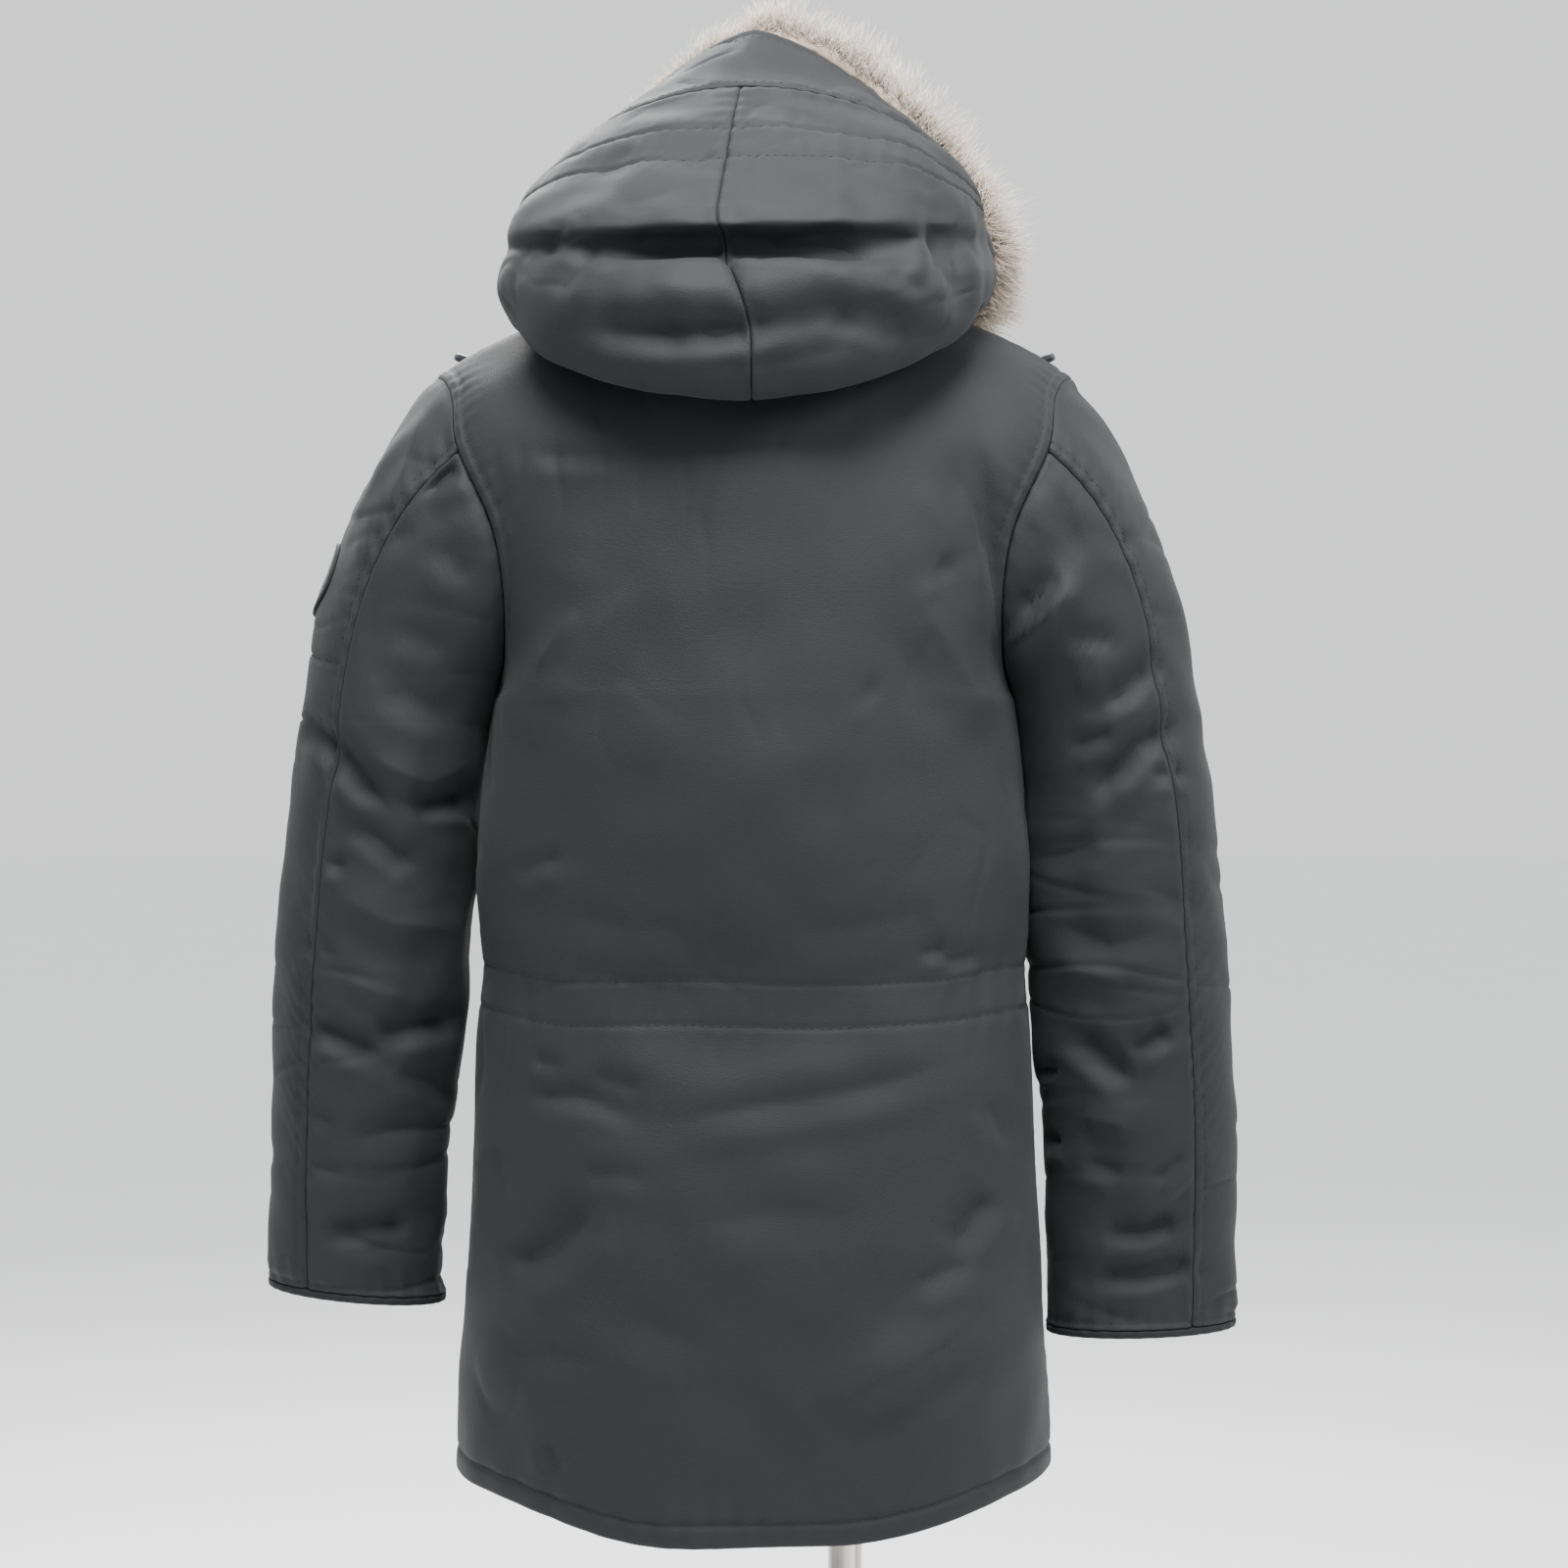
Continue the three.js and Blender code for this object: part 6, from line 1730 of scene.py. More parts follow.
def tube(line: Array, radius: float, sides: int) -> tuple[Array, list]:
    """A closed round tube along a line.

    Args:
        line: Its middle line in mm.
        radius: Its radius in mm.
        sides: How many sides it has.

    Returns:
        Its corners and faces.
    """
    tangent = unit(np.gradient(line, axis=0))
    across = unit(np.cross(tangent, np.array([0.0, 0.35, 1.0])))
    other = np.cross(tangent, across)
    turns = np.arange(sides) * 2 * math.pi / sides
    ring = across[:, None] * np.cos(turns)[None, :, None] + other[:, None] * np.sin(turns)[None, :, None]
    points = (line[:, None] + ring * radius).reshape(-1, 3)
    faces = []
    for i in range(len(line) - 1):
        for k in range(sides):
            n = (k + 1) % sides
            faces.append([i * sides + k, i * sides + n, (i + 1) * sides + n, (i + 1) * sides + k])
    faces.append(list(range(sides))[::-1])
    faces.append([(len(line) - 1) * sides + k for k in range(sides)])
    return points, faces


@dataclass
class Front:
    """What is sewn to the fronts: the stand collar, the zip, the storm flap, the pockets and their flaps."""

    body: Body
    left: Panel
    right: Panel
    collar_top: tuple[float, float] = (1512, 1490)
    collar_lean: float = -6
    collar_inset: float = 1.4
    collar_sink: float = 0.3
    collar_thick: float = 4
    flap_edges: tuple[float, float] = (-26, 34)
    flap_thick: float = 2.5
    pocket_share: tuple[float, float] = (0.345, 0.98)
    pocket_rows: tuple[float, float] = (733.8, 840.1)
    flap_rows: tuple[float, float] = (848.1, 904.7)

    def joined(self) -> Panel:
        """Both fronts as one grid, with the gap for the zip bridged."""
        columns = np.concatenate([self.right.columns[:, ::-1], self.left.columns], axis=1)
        base = np.concatenate([self.right.base[:, ::-1], self.left.base], axis=1)
        inward = np.concatenate([self.right.inward[:, ::-1], self.left.inward], axis=1)
        panel = Panel(self.left.rows, columns, base, inward, self.body.thick)
        panel.relief = np.concatenate([self.right.relief[:, ::-1], self.left.relief], axis=1)
        return panel

    def collar_point(self, half: Half, part: Array, up: Array) -> Array:
        """The collar's outer face at parts of the neckline from -1 to 1, and at heights from 0 to 1."""
        edge = self.body.top_edge(half, np.abs(part) * self.body.neck.half)
        edge[..., 0] *= np.where(part < 0, -1, 1)
        edge += unit(xyz(-edge[..., 0], -edge[..., 1] - 4, 0)) * self.collar_inset
        back, front = self.collar_top
        top = np.full(part.shape, float(back)) if half is Half.BACK else lerp(front, back, np.abs(part) ** 2)
        rise = top - edge[..., 2]
        return edge + xyz(0, self.collar_lean * up**2, rise * up - self.collar_sink)

    def collar(self) -> None:
        """Makes the stand collar, open at the zip."""
        near = self.body.zip_edge / self.body.neck.half
        ups = np.linspace(0, 1, 34)
        front = np.linspace(near, 0.999, 60)
        back = np.linspace(1, 0, 56)
        full = [
            self.collar_point(Half.FRONT, np.broadcast_to(front, (34, 60)), ups[:, None]),
            self.collar_point(Half.BACK, np.broadcast_to(back, (34, 56)), ups[:, None]),
        ]
        half = np.concatenate(full, axis=1)
        other = half[:, -2::-1] * np.array([-1, 1, 1])
        base = np.concatenate([half, other], axis=1)
        inward = unit(xyz(-base[..., 0], -base[..., 1] - 6, 0))
        columns = np.broadcast_to(np.arange(base.shape[1], dtype=float), base.shape[:2])
        panel = Panel(ups, columns, base, inward, self.collar_thick)
        calm = smooth(panel.from_edge(Edge.LOW), 2, 14)
        panel.relief = calm * (0.7 * swell(base, 60, SEED + 31) + 0.8 * crumple(base, 36, SEED + 33))
        panel.relief += seam_relief(panel.from_edge(Edge.HIGH) - 7, panel.across, 0.8, 2.0, 0.35, 13)
        panel.relief += 0.5 * smooth(panel.from_edge(Edge.LOW), 1, 10)
        roll = {Edge.HIGH: 1.9, Edge.FIRST: 1.6, Edge.LAST: 1.6}
        worn = 0.9 * hump(panel.from_edge(Edge.HIGH), 4)
        piece = settle(panel.solid("stand_collar", Finish.SHELL, roll, wear=worn), Finish.SHELL, "collar")

    def closure(self) -> list[tuple[Array, Array]]:
        """Makes the storm flap over the zip.

        Returns:
            Its two stitched lines, as points and outward directions.
        """
        joined = self.joined()
        xs = np.linspace(*self.flap_edges, 30)
        levels = self.left.rows
        levels = levels[(levels > 0.03) & (levels < 1.985)][::2]
        outer = []
        for level in levels:
            wide = float(np.abs(self.body.form(Half.FRONT, 1.0, level)[0]))
            points, outward = joined.sample(np.full(xs.shape, level), xs / wide)
            ahead = unit(outward.mean(axis=0) * np.array([0, 1, 1]))
            plain = self.body.form(Half.FRONT, xs / wide, level)
            points[:, 1] = np.minimum(points[:, 1], plain[:, 1] + 0.2)
            outer.append(points + ahead * (0.7 + self.flap_thick))
        neck = self.body.neck.half * float(self.body.shoulder.keys[-1])
        for up in np.linspace(0.12, 1, 30):
            points = self.collar_point(Half.FRONT, xs / neck, np.full(xs.shape, up))
            outer.append(points + np.array([0, -1.6 - self.flap_thick - 0.9, 0]))
        base = np.array(outer)
        du = np.gradient(base, axis=1)
        dv = np.gradient(base, axis=0)
        inward = unit(np.cross(dv, du))
        inward = np.where((inward[..., 1:2] < 0), -inward, inward)
        rows = np.arange(len(base), dtype=float)
        columns = np.broadcast_to(xs, base.shape[:2])
        panel = Panel(rows, columns, base, inward, self.flap_thick)
        panel.relief = 0.5 + 0.35 * swell(base, 40, SEED + 12) - 0.25 * hump(xs[None] - 4, 6)
        for edge in (Edge.FIRST, Edge.LAST):
            panel.relief += seam_relief(panel.from_edge(edge) - 7, panel.along, 0.7, 1.8, 0.3, 15)
        roll = {Edge.FIRST: 1.1, Edge.LAST: 1.1, Edge.LOW: 1.1, Edge.HIGH: 1.1}
        rim = np.min([panel.from_edge(edge) for edge in Edge], axis=0)
        piece = settle(panel.solid("front_flap", Finish.SHELL, roll, wear=0.7 * hump(rim, 3)), Finish.SHELL, "storm_flap")
        wide = float(panel.across[100, -1])
        return [panel.beside(edge, 7) for edge in (Edge.FIRST, Edge.LAST)]

    def zip(self) -> None:
        """Makes the zip's tape and, with Geometry Nodes, its teeth."""
        levels = self.left.rows[self.left.rows < 1.995]
        line = self.body.form(Half.FRONT, self.body.zip_edge, levels)
        xs = np.array([-2.5, -1.6, -0.9, 0.0, 0.9, 1.6, 2.5])
        sag = np.array([0.0, 0.2, 0.9, 1.2, 0.9, 0.2, 0.0])
        base = xyz(xs[None], line[:, 1:2] + 0.4 + sag[None], line[:, 2:3])
        inward = np.broadcast_to(np.array([0.0, 1.0, 0.0]), base.shape)
        columns = np.broadcast_to(xs, base.shape[:2])
        panel = Panel(levels, columns, base, inward, 2.6)
        piece = panel.solid("zip_tape", Finish.BINDING, {Edge.LOW: 0.6, Edge.HIGH: 0.6})
        settle(piece, Finish.BINDING, "zip")
        run = runs(line, 0)
        places = np.arange(6, run[-1] - 4, 1.9)
        spots = np.stack([np.interp(places, run, line[:, k]) for k in range(3)], axis=-1)
        spots[:, 0] = np.where(np.arange(len(places)) % 2, 0.75, -0.75)
        spots[:, 1] += 1.1
        along = unit(np.gradient(np.stack([np.interp(places, run, line[:, k]) for k in range(3)], axis=-1), axis=0))
        along[:, 0] = 0
        ahead = np.cross(np.broadcast_to(np.array([1.0, 0, 0]), along.shape), along)
        teeth = scatter("zip_teeth", spots, ahead, along, Repeat.TOOTH, Finish.ZIP)
        settle(teeth, Finish.ZIP)

    def pockets(self) -> list[tuple[Array, Array]]:
        """Makes the patch pockets and their flaps.

        Returns:
            Their stitched lines, as points and outward directions.
        """
        lines = []
        for arm, front in ((Arm.LEFT, self.left), (Arm.RIGHT, self.right)):
            lines += self.patch(arm, front, "pocket", self.pocket_rows, 3.5, 0.2, (60, 64), 2.6)
            lines += self.patch(arm, front, "pocket_flap", self.flap_rows, self.flap_thick, 0.2, (40, 64), 1.0)
        return lines

    def patch(
        self, arm: Arm, front: Panel, name: str, heights: tuple[float, float], thick: float, lift: float,
        size: tuple[int, int], puff: float,
    ) -> list[tuple[Array, Array]]:
        """Lays one flat piece over a front.

        Args:
            arm: Which front.
            front: That front's panel.
            name: The piece's stem.
            heights: Its lower and upper edge.
            thick: Its thickness.
            lift: How far it stands off.
            size: Its rows and columns.
            puff: How far its middle swells.

        Returns:
            A stitched line up each side.
        """
        hem = float(self.body.hem(Half.FRONT, 0.345))
        levels = (np.linspace(*heights, size[0]) - hem) / (self.body.armpit_z - hem)
        shares = even(lambda u: self.body.form(Half.FRONT, u, 0.45), *self.pocket_share, size[1])
        signed = shares * arm.value
        order = np.sort(signed)
        level, share = np.broadcast_arrays(levels[:, None], order[None])
        points, outward = front.sample(level.ravel(), share.ravel()) if arm is Arm.LEFT else self.flipped(
            front, level.ravel(), share.ravel()
        )
        base = points.reshape(*level.shape, 3)
        outward = outward.reshape(*level.shape, 3)
        panel = Panel(levels, np.array(share), base + outward * (lift + thick), -outward, thick)
        rim = np.min([panel.from_edge(edge) for edge in Edge], axis=0)
        panel.relief = puff * smooth(rim, 2, 26) + 0.3 * swell(base, 32, SEED + 15)
        edges = (Edge.FIRST, Edge.LAST, Edge.LOW)
        for edge in edges:
            panel.relief += seam_relief(panel.from_edge(edge) - 4.5, panel.along + panel.across, 0.7, 1.7, 0.3, 14)
        roll = {edge: 1.3 for edge in Edge}
        piece = panel.solid(f"{name}_piece_{arm.word}", Finish.SHELL, roll, wear=0.8 * hump(rim, 3))
        settle(piece, Finish.SHELL, f"{name}_{arm.word}")
        low = float(np.interp(4.5, panel.along[:, 30], panel.rows))
        across = np.linspace(order[1], order[-2], 60)
        return [panel.beside(Edge.FIRST, 4.5), panel.beside(Edge.LAST, 4.5), panel.sample(np.full(60, low), across)]

    def flipped(self, front: Panel, rows: Array, columns: Array) -> tuple[Array, Array]:
        """Samples the right front, whose columns run backwards."""
        turned = Panel(front.rows, front.columns[:, ::-1], front.base[:, ::-1], front.inward[:, ::-1], front.thick)
        turned.relief = front.relief[:, ::-1]
        return turned.sample(rows, columns)


class Repeat(Enum):
    """Small shapes that Geometry Nodes repeat: kind of mesh, and length, width and height in metres."""

    STITCH = ("GeometryNodeMeshUVSphere", (0.0029, 0.00062, 0.0005))
    TOOTH = ("GeometryNodeMeshCube", (0.0028, 0.0015, 0.0011))


def scatter(
    name: str, points: Array, primary: Array, normal: Array, kind: Repeat, finish: Finish
) -> bpy.types.Object:
    """Repeats a small shape over points with Geometry Nodes and keeps the result as a plain mesh.

    Args:
        name: The piece's name.
        points: Where each goes, in mm.
        primary: The direction of each one's length.
        normal: The direction of each one's height.
        kind: The shape.
        finish: Its finish.

    Returns:
        The object.
    """
    mesh = bpy.data.meshes.new(name)
    mesh.from_pydata((points * MM).tolist(), [], [])
    for key, vectors in (("heading", primary), ("normal_way", normal)):
        data = mesh.attributes.new(key, "FLOAT_VECTOR", "POINT").data
        data.foreach_set("vector", np.ascontiguousarray(vectors, dtype=np.float32).ravel())
    piece = bpy.data.objects.new(name, mesh)
    bpy.context.scene.collection.objects.link(piece)
    tree = bpy.data.node_groups.new(f"repeat_{name}", "GeometryNodeTree")
    face = tree.interface
    face.new_socket("Geometry", in_out="INPUT", socket_type="NodeSocketGeometry")
    face.new_socket("Geometry", in_out="OUTPUT", socket_type="NodeSocketGeometry")
    sizes = [face.new_socket(word, in_out="INPUT", socket_type="NodeSocketFloat") for word in ("Length", "Width", "Height")]

    def add(kind_name: str, settings: dict | None = None, sockets: dict | None = None) -> bpy.types.Node:
        """Adds a node with its settings, values and links."""
        node = tree.nodes.new(kind_name)
        for key, value in (settings or {}).items():
            setattr(node, key, value)
        for key, value in (sockets or {}).items():
            if isinstance(value, bpy.types.NodeSocket):
                tree.links.new(value, node.inputs[key])
            else:
                node.inputs[key].default_value = value
        return node

    start = add("NodeGroupInput")
    head = add("GeometryNodeInputNamedAttribute", {"data_type": "FLOAT_VECTOR"}, {"Name": "heading"})
    way = add("GeometryNodeInputNamedAttribute", {"data_type": "FLOAT_VECTOR"}, {"Name": "normal_way"})
    turn = add(
        "FunctionNodeAxesToRotation", {"primary_axis": "X", "secondary_axis": "Z"},
        {0: head.outputs[0], 1: way.outputs[0]},
    )
    if kind is Repeat.STITCH:
        shape = add(kind.value[0], None, {"Segments": 5, "Rings": 4, "Radius": 0.5})
    else:
        shape = add(kind.value[0], None, {"Size": (1.0, 1.0, 1.0)})
    scale = add("ShaderNodeCombineXYZ", None, {i: start.outputs[i + 1] for i in range(3)})
    spread = add(
        "GeometryNodeInstanceOnPoints", None,
        {"Points": start.outputs[0], "Instance": shape.outputs[0], "Rotation": turn.outputs[0],
         "Scale": scale.outputs[0]},
    )
    real = add("GeometryNodeRealizeInstances", None, {0: spread.outputs[0]})
    paint = add("GeometryNodeSetMaterial", None, {"Geometry": real.outputs[0], "Material": finish.material()})
    add("NodeGroupOutput", None, {0: paint.outputs[0]})
    modifier = piece.modifiers.new("repeat", "NODES")
    modifier.node_group = tree
    for socket, value in zip(sizes, kind.value[1]):
        modifier[socket.identifier] = value
    bake_modifiers(piece)
    piece.data.shade_smooth() if kind is Repeat.STITCH else piece.data.shade_flat()
    ensure_maps(piece)
    return piece


def ensure_maps(piece: bpy.types.Object) -> None:
    """Gives a repeated shape the UV map and the wear that its finish reads."""
    mesh = piece.data
    if "cloth" not in mesh.uv_layers:
        count = len(mesh.loops)
        corner = np.empty(count, dtype=np.int32)
        mesh.loops.foreach_get("vertex_index", corner)
        places = np.array([(v.co[0], v.co[2]) for v in mesh.vertices], dtype=np.float32)
        mesh.uv_layers.new(name="cloth").data.foreach_set("uv", places[corner].ravel())
    if "wear" not in mesh.attributes:
        mesh.attributes.new("wear", "FLOAT", "POINT")


@dataclass
class Sewing:
    """All the topstitching, collected line by line and sewn at the end."""

    pitch: float = 6.4
    points: list = field(default_factory=list)
    headings: list = field(default_factory=list)
    normals: list = field(default_factory=list)

    def line(self, found: tuple[Array, Array]) -> None:
        """Adds stitches along a line of points with outward directions."""
        line, outward = found
        run = runs(line, 0)
        places = np.arange(2, run[-1] - 2, self.pitch)
        spots = np.stack([np.interp(places, run, line[:, k]) for k in range(3)], axis=-1)
        ways = unit(np.stack([np.interp(places, run, outward[:, k]) for k in range(3)], axis=-1))
        if len(spots) < 3:
            return
        heading = unit(np.gradient(spots, axis=0))
        self.points.append(spots + ways * 0.05)
        self.headings.append(heading)
        self.normals.append(ways)

    def sew(self) -> None:
        """Makes every stitch, in one piece."""
        parts = [np.concatenate(group) for group in (self.points, self.headings, self.normals)]
        piece = scatter("topstitching", *parts, Repeat.STITCH, Finish.THREAD)
        settle(piece, Finish.THREAD)
        log.info("topstitching: %d stitches", len(parts[0]))


@dataclass
class DressForm:
    """The limbless form with its neck cap, pole, socket and round base."""

    pole_x: float = -67
    pole_radius: float = 12.5
    rows: tuple = (
        (850, 148, 100, 0, 2), (852.5, 154, 105, 0, 2), (862, 160, 110, 0, 2), (905, 165, 113, 0, 2),
        (955, 156, 106, 0, 2), (1010, 146, 100, 0, 2), (1080, 149, 105, 0, 2), (1150, 157, 113, 0, 2),
        (1215, 160, 116, 0, 2.1), (1275, 161, 112, 2, 2.1), (1320, 171, 103, 3, 2.1), (1355, 177, 91, 3, 2),
        (1383, 178, 76, 3, 1.8), (1402, 172, 56, 3, 1.6), (1418.9, 159, 36, 3, 1.4), (1431.4, 120, 30, 3, 1.4),
        (1438.4, 81, 30, 3, 1.6), (1447, 66, 48, 0, 1.8), (1458, 58, 54, -3, 2), (1485, 55, 56, -6, 2),
        (1508, 55, 55, -8, 2),
    )

    def torso(self) -> None:
        """Makes the covered torso, with the cover's seams at the middle and the sides."""
        data = np.array(self.rows, dtype=float)
        heights = np.concatenate([np.linspace(a, b, 5)[:-1] for a, b in zip(data[:-1, 0], data[1:, 0])] + [[1508.0]])
        get = [np.interp(heights, data[:, 0], data[:, k])[:, None] for k in range(1, 5)]
        turns = np.linspace(0, 2 * math.pi, 100, endpoint=False)
        cos, sin = np.cos(turns)[None], np.sin(turns)[None]
        seam = sum(hump((turns - at + math.pi) % (2 * math.pi) - math.pi, 0.012) for at in np.arange(4) * math.pi / 2)
        inset = 1 - 0.006 * seam[None]
        x = get[0] * np.sign(cos) * np.abs(cos) ** (2 / get[3]) * inset
        y = get[2] + get[1] * np.sign(sin) * np.abs(sin) ** (2 / get[3]) * inset
        points = xyz(x, y, heights[:, None])
        rings, sides = points.shape[:2]
        faces = ring_faces(rings, sides)
        uv = np.stack(np.broadcast_arrays(turns[None] * 0.14, heights[:, None] * MM), axis=-1).reshape(-1, 2)
        piece = add_mesh("form_torso", points.reshape(-1, 3), faces, Finish.FORM, ("cloth", uv))
        outward_faces(piece)
        settle(piece, Finish.FORM, "dress_form")

    def turned(self, name: str, profile: Sequence[tuple[float, float]], x: float, y: float, finish: Finish, node: str,
               bore: bool = False) -> None:
        """Makes a part turned about the vertical, with its corners rounded.

        Args:
            name: The piece's name.
            profile: Radii and heights, from the bottom up.
            x: The axis' X.
            y: The axis' Y.
            finish: Its finish.
            node: The node that it stands for.
            bore: Whether it closes on itself round a bore.
        """
        soft = []
        corners = list(profile)
        for i, (radius, z) in enumerate(corners):
            before = corners[i - 1] if i or bore else None
            after = corners[(i + 1) % len(corners)] if i + 1 < len(corners) or bore else None
            if before is None or after is None:
                soft.append((radius, z))
                continue
            here = np.array([radius, z])
            for share in (1, 0.45, 0.12):
                soft.append(tuple(here + unit(np.array(before) - here) * min(0.8, math.dist(before, here) / 3) * share))
            for share in (0.12, 0.45, 1):
                soft.append(tuple(here + unit(np.array(after) - here) * min(0.8, math.dist(after, here) / 3) * share))
        sides = 64
        turns = np.linspace(0, 2 * math.pi, sides, endpoint=False)
        rings = np.array(soft)
        points = xyz(x + rings[:, :1] * np.cos(turns)[None], y + rings[:, :1] * np.sin(turns)[None], rings[:, 1:2])
        faces = ring_faces(len(rings), sides, closed=bore)
        piece = add_mesh(name, points.reshape(-1, 3), faces, finish)
        outward_faces(piece)
        settle(piece, finish, node)

    def build(self) -> None:
        """Makes the form and its stand."""
        self.torso()
        low, x = 1508.3, self.pole_x
        self.turned("form_neck_cap", (
            (53, low), (53, low + 10), (49, low + 14), (12, low + 14), (7.5, low + 15), (7.5, low + 18),
            (13, low + 21), (15, low + 24.5), (13, low + 30), (7, low + 33.2), (1.2, low + 34),
        ), 0, -8, Finish.WOOD, "neck_cap")
        self.turned("stand_pole", (
            (12.2, 8.3), (12.5, 9), (12.5, 430), (12.3, 430.6), (12.3, 431.4), (12.5, 432), (12.5, 849), (12.2, 849.7),
        ), x, 0, Finish.POLE, "pole")
        bore = self.pole_radius + 0.5
        self.turned("stand_socket", (
            (bore, 824), (31, 824), (31, 828), (30, 829), (30, 842), (31, 843), (31, 844.7), (26, 849.7), (bore, 849.7),
        ), x, 0, Finish.CHROME, "pole_socket", bore=True)
        self.turned("stand_boss", (
            (bore, 8.3), (27, 8.3), (27, 12), (26, 13), (26, 33), (27, 34), (27, 37), (22, 42), (bore, 42),
        ), x, 0, Finish.CHROME, "base_boss", bore=True)
        self.turned("stand_base", (
            (188.5, 0), (190, 1.5), (190, 5.5), (187, 8), (150, 8), (148, 7.6), (146, 8), (1.5, 8),
        ), x, 0, Finish.CHROME, "base")


def ring_faces(rings: int, sides: int, closed: bool = False) -> list:
    """Faces between rings of points, capped at both ends unless the last ring joins the first."""
    faces = []
    for i in range(rings if closed else rings - 1):
        n = (i + 1) % rings
        for j in range(sides):
            k = (j + 1) % sides
            faces.append([i * sides + j, i * sides + k, n * sides + k, n * sides + j])
    if not closed:
        faces.append(list(range(sides))[::-1])
        faces.append([(rings - 1) * sides + j for j in range(sides)])
    return faces


@dataclass
class ArmPatch:
    """The bare round patch on the outside of the left sleeve."""

    sleeve: Sleeve
    outer: Panel
    length: float = 0.72
    radius: float = 30
    thick: float = 1.8
    lift: float = 1.2
    per_degree: float = 1.35
    per_length: float = 245

    def build(self) -> tuple[Array, Array]:
        """Makes the patch.

        Returns:
            Its stitched line, as points and outward directions.
        """
        shares = np.concatenate([np.linspace(0.003, 0.9, 16), [0.95, 0.98, 1.0]])
        angles = np.linspace(0, 2 * math.pi, 96, endpoint=False)
        share, angle = np.broadcast_arrays(shares[:, None], angles[None])
        turn = share * self.radius * np.cos(angle) / self.per_degree
        length = self.length - share * self.radius * np.sin(angle) / self.per_length
        points, outward = self.outer.sample(length.ravel(), turn.ravel())
        base = points.reshape(*share.shape, 3)
        outward = outward.reshape(*share.shape, 3)
        panel = Panel(shares, np.array(angle), base + outward * (0.4 + self.thick), -outward, self.thick)
        panel.relief = 0.5 * hump((share - 0.93) * self.radius, 1.6) + 0.12 * np.sin(angle * 48) * (share > 0.88)
        roll = {Edge.HIGH: 0.9}
        piece = panel.solid("sleeve_patch", Finish.PATCH, roll, around=True, wear=0.5 * hump(share - 1, 0.05))
        settle(piece, Finish.PATCH, "arm_patch")
        area = math.pi * (self.radius * MM) ** 2
        size = 2 * self.radius * MM
        ring = (shares * 0 + 0.86)[:1]
        spots = np.full(97, float(ring[0]))
        return panel.sample(spots, np.linspace(0, 6.2, 97))


@dataclass
class Studio:
    """The camera of the photograph, soft light from above and a pale floor."""

    def camera(self) -> None:
        """Makes the camera and sets it as the scene's."""
        data = bpy.data.cameras.new("camera")
        data.sensor_width = 36
        data.lens = 36 * VIEW.focal / (2 * VIEW.middle)
        data.clip_end = 200
        camera = bpy.data.objects.new("camera", data)
        camera.location = (VIEW.x * MM, VIEW.y * MM, VIEW.z * MM)
        camera.rotation_euler = (math.radians(90), 0, math.radians(180))
        bpy.context.scene.collection.objects.link(camera)
        bpy.context.scene.camera = camera

    def lamp(self, name: str, place: Sequence[float], target: Sequence[float], size: float, power: float) -> None:
        """Adds one square soft light aimed at a point."""
        data = bpy.data.lights.new(name, "AREA")
        data.size = size
        data.energy = power
        lamp = bpy.data.objects.new(name, data)
        lamp.location = place
        lamp.rotation_euler = (Vector(target) - Vector(place)).to_track_quat("-Z", "Y").to_euler()
        bpy.context.scene.collection.objects.link(lamp)

    def build(self) -> None:
        """Makes the lights, the world and the floor."""
        self.lamp("top_light", (0.0, 0.9, 2.75), (0, 0.1, 1.25), 0.9, 150)
        self.lamp("side_light", (-1.9, 1.1, 2.2), (0, 0.1, 1.1), 0.8, 60)
        self.lamp("front_light", (0.6, -1.9, 2.9), (0, 0, 1.2), 1.4, 140)
        world = bpy.data.worlds.new("studio")
        world.use_nodes = True
        background = world.node_tree.nodes["Background"]
        background.inputs["Color"].default_value = (0.95, 0.96, 0.97, 1)
        background.inputs["Strength"].default_value = 1.25
        bpy.context.scene.world = world
        angles = np.linspace(0, 2 * math.pi, 96, endpoint=False)
        radii = np.array([1500.0, 4000.0, 40000.0])
        points = xyz(radii[:, None] * np.cos(angles)[None], radii[:, None] * np.sin(angles)[None], 0)
        faces = ring_faces(3, 96)[:-1]
        mesh = bpy.data.meshes.new("floor")
        mesh.from_pydata((points.reshape(-1, 3) * MM).tolist(), [], faces)
        mesh.materials.append(FloorFinish().build())
        floor = bpy.data.objects.new("floor", mesh)
        floor.location = (0, 0, -0.0005)
        bpy.context.scene.collection.objects.link(floor)


def stitch_body(sewing: Sewing, body: Body, panel: Panel, half: Half, edges: Sequence[Edge]) -> None:
    """Adds a body panel's stitched lines: hem, waist and armhole.

    Args:
        sewing: Collects them.
        body: The body.
        panel: The panel.
        half: Back or front.
        edges: The panel's side edges.
    """
    low, high = sorted((float(panel.columns[0, 0]), float(panel.columns[0, -1])))
    shares = np.linspace(low, high, 240) * 0.998
    order = panel if panel.columns[0, 0] < panel.columns[0, -1] else None
    hem = body.hem(half, shares)
    x = shares * 205
    for waist in body.waist_lines:
        z = waist + 7 * smooth(np.abs(shares), 0.6, 1) + 1.2 * np.sin(x / 31)
        sewing.line(sample_any(panel, order, (z - hem) / (body.armpit_z - hem), shares))
    sewing.line(sample_any(panel, order, np.full(240, body.hem_fold) / (body.armpit_z - hem), shares))
    for edge in edges:
        points, outward = panel.beside(edge, 8.5) if order is not None else reverse(panel).beside(other(edge), 8.5)
        upper = panel.rows > 1.04
        sewing.line((points[upper], outward[upper]))


def other(edge: Edge) -> Edge:
    """The opposite side edge."""
    return Edge.LAST if edge is Edge.FIRST else Edge.FIRST


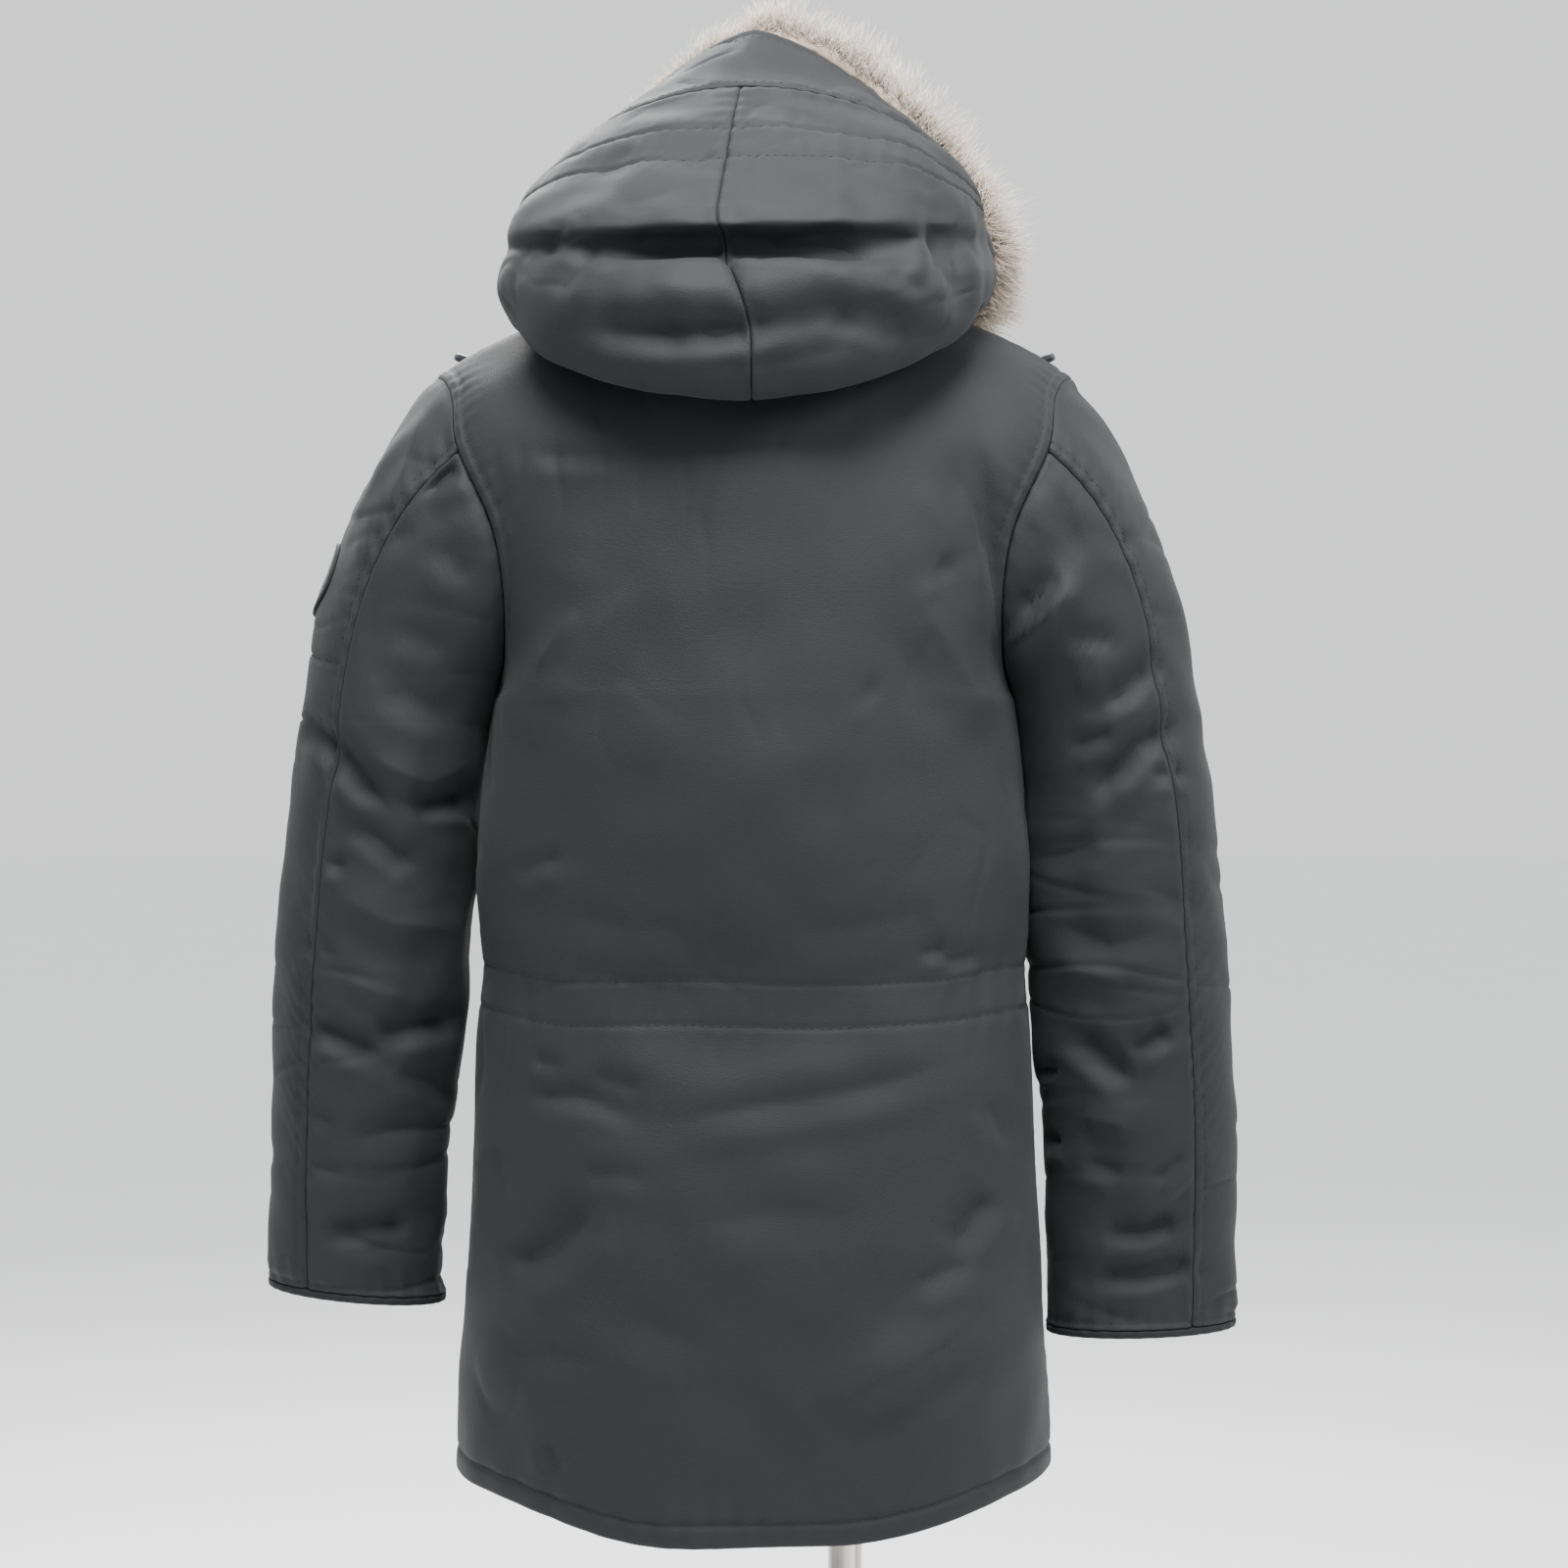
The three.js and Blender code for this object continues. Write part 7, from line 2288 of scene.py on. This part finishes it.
def reverse(panel: Panel) -> Panel:
    """The same panel with its columns the other way round."""
    turned = Panel(panel.rows, panel.columns[:, ::-1], panel.base[:, ::-1], panel.inward[:, ::-1], panel.thick)
    turned.relief = panel.relief[:, ::-1]
    return turned


def sample_any(panel: Panel, order: Panel | None, rows: Array, columns: Array) -> tuple[Array, Array]:
    """Samples a panel whichever way its columns run."""
    return (order or reverse(panel)).sample(rows, columns)


def stitch_rest(sewing: Sewing, sleeves: Sequence[Sequence[Panel]], hood: Sequence[Panel]) -> None:
    """Adds the sleeves' and the hood's stitched lines.

    Args:
        sewing: Collects them.
        sleeves: The outer and under panel of each sleeve.
        hood: The left side, the right side and the band.
    """
    for outer, under in sleeves:
        for away in (2.5, 8.5):
            sewing.line(outer.beside(Edge.LAST, away))
        sewing.line(outer.beside(Edge.FIRST, 3))
        for panel in (outer, under):
            row = float(np.interp(panel.along[-1, 40] - 5, panel.along[:, 40], panel.rows))
            columns = np.linspace(panel.columns[0, 1], panel.columns[0, -2], 120)
            sewing.line(panel.sample(np.full(120, row), columns))
    left, right, band = hood
    for panel in (left, right):
        columns = np.linspace(panel.columns[0, 1], panel.columns[0, -2], 200)
        for row in (10.0, 11.0):
            sewing.line(panel.sample(np.full(200, row), columns))
    sewing.line(left.beside(Edge.LAST, 2.2))
    sewing.line(right.beside(Edge.FIRST, 2.2))
    columns = np.linspace(band.columns[0, 1], band.columns[0, -2], 320)
    for row in (12.12, 13.7):
        sewing.line(band.sample(np.full(320, row), columns))


def main() -> None:
    """Builds every piece in order, each riding the one body."""
    logging.basicConfig(level=logging.INFO, format="%(name)s: %(message)s")
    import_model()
    studio = Studio()
    studio.camera()
    body = Body()
    hood = Hood()
    for arm in Arm:
        Drawcord(arm, body, hood).build()
    studio.build()
    sewing = Sewing()
    back = body.panel(Half.BACK, 0, 86, 256)
    body.wrinkle(back, Half.BACK, SEED + 1, (Edge.FIRST, Edge.LAST))
    roll = {Edge.FIRST: 0.9, Edge.LAST: 0.9, Edge.HIGH: 1.3, Edge.LOW: 3.2}
    piece = back.solid("back_panel", Finish.SHELL, roll, wear=body.worn(back))
    settle(piece, Finish.SHELL, "back")
    stitch_body(sewing, body, back, Half.BACK, (Edge.FIRST, Edge.LAST))
    left = body.panel(Half.FRONT, body.zip_edge, 84, 250)
    right = Panel(left.rows, -left.columns, left.base * np.array([-1, 1, 1]), left.inward * np.array([-1, 1, 1]), 7.0)
    plain = body.form(Half.FRONT, right.columns, right.rows[:, None])
    fade = smooth(1 - np.abs(right.columns), 0, 0.12) * smooth(2 - right.rows[:, None], 0, 0.25)
    shift = (fade * fold_relief(body.front_folds, plain[..., 0], plain[..., 2]))[..., None]
    right = Panel(right.rows, right.columns, plain - right.inward * shift - np.array([0, TOUCH, 0]), right.inward, 7.0)
    for arm, panel in ((Arm.LEFT, left), (Arm.RIGHT, right)):
        body.wrinkle(panel, Half.FRONT, SEED + 4 + arm.value, (Edge.LAST,))
        piece = panel.solid(f"front_panel_{arm.word}", Finish.SHELL, roll, wear=body.worn(panel))
        settle(piece, Finish.SHELL, f"front_{arm.word}")
        stitch_body(sewing, body, panel, Half.FRONT, (Edge.LAST,))
    sleeves = []
    for arm in Arm:
        sleeve = Sleeve(arm, body)
        panels = sleeve.build()
        sleeves.append(panels)
        if arm is Arm.LEFT:
            sewing.line(ArmPatch(sleeve, panels[0]).build())
    hood_panels = hood.build()
    front = Front(body, left, right)
    front.collar()
    front.zip()
    for line in [*front.closure(), *front.pockets()]:
        sewing.line(line)
    stitch_rest(sewing, sleeves, hood_panels)
    sewing.sew()
    Ruff(hood).build()
    DressForm().build()


if __name__ == "__main__":
    main()
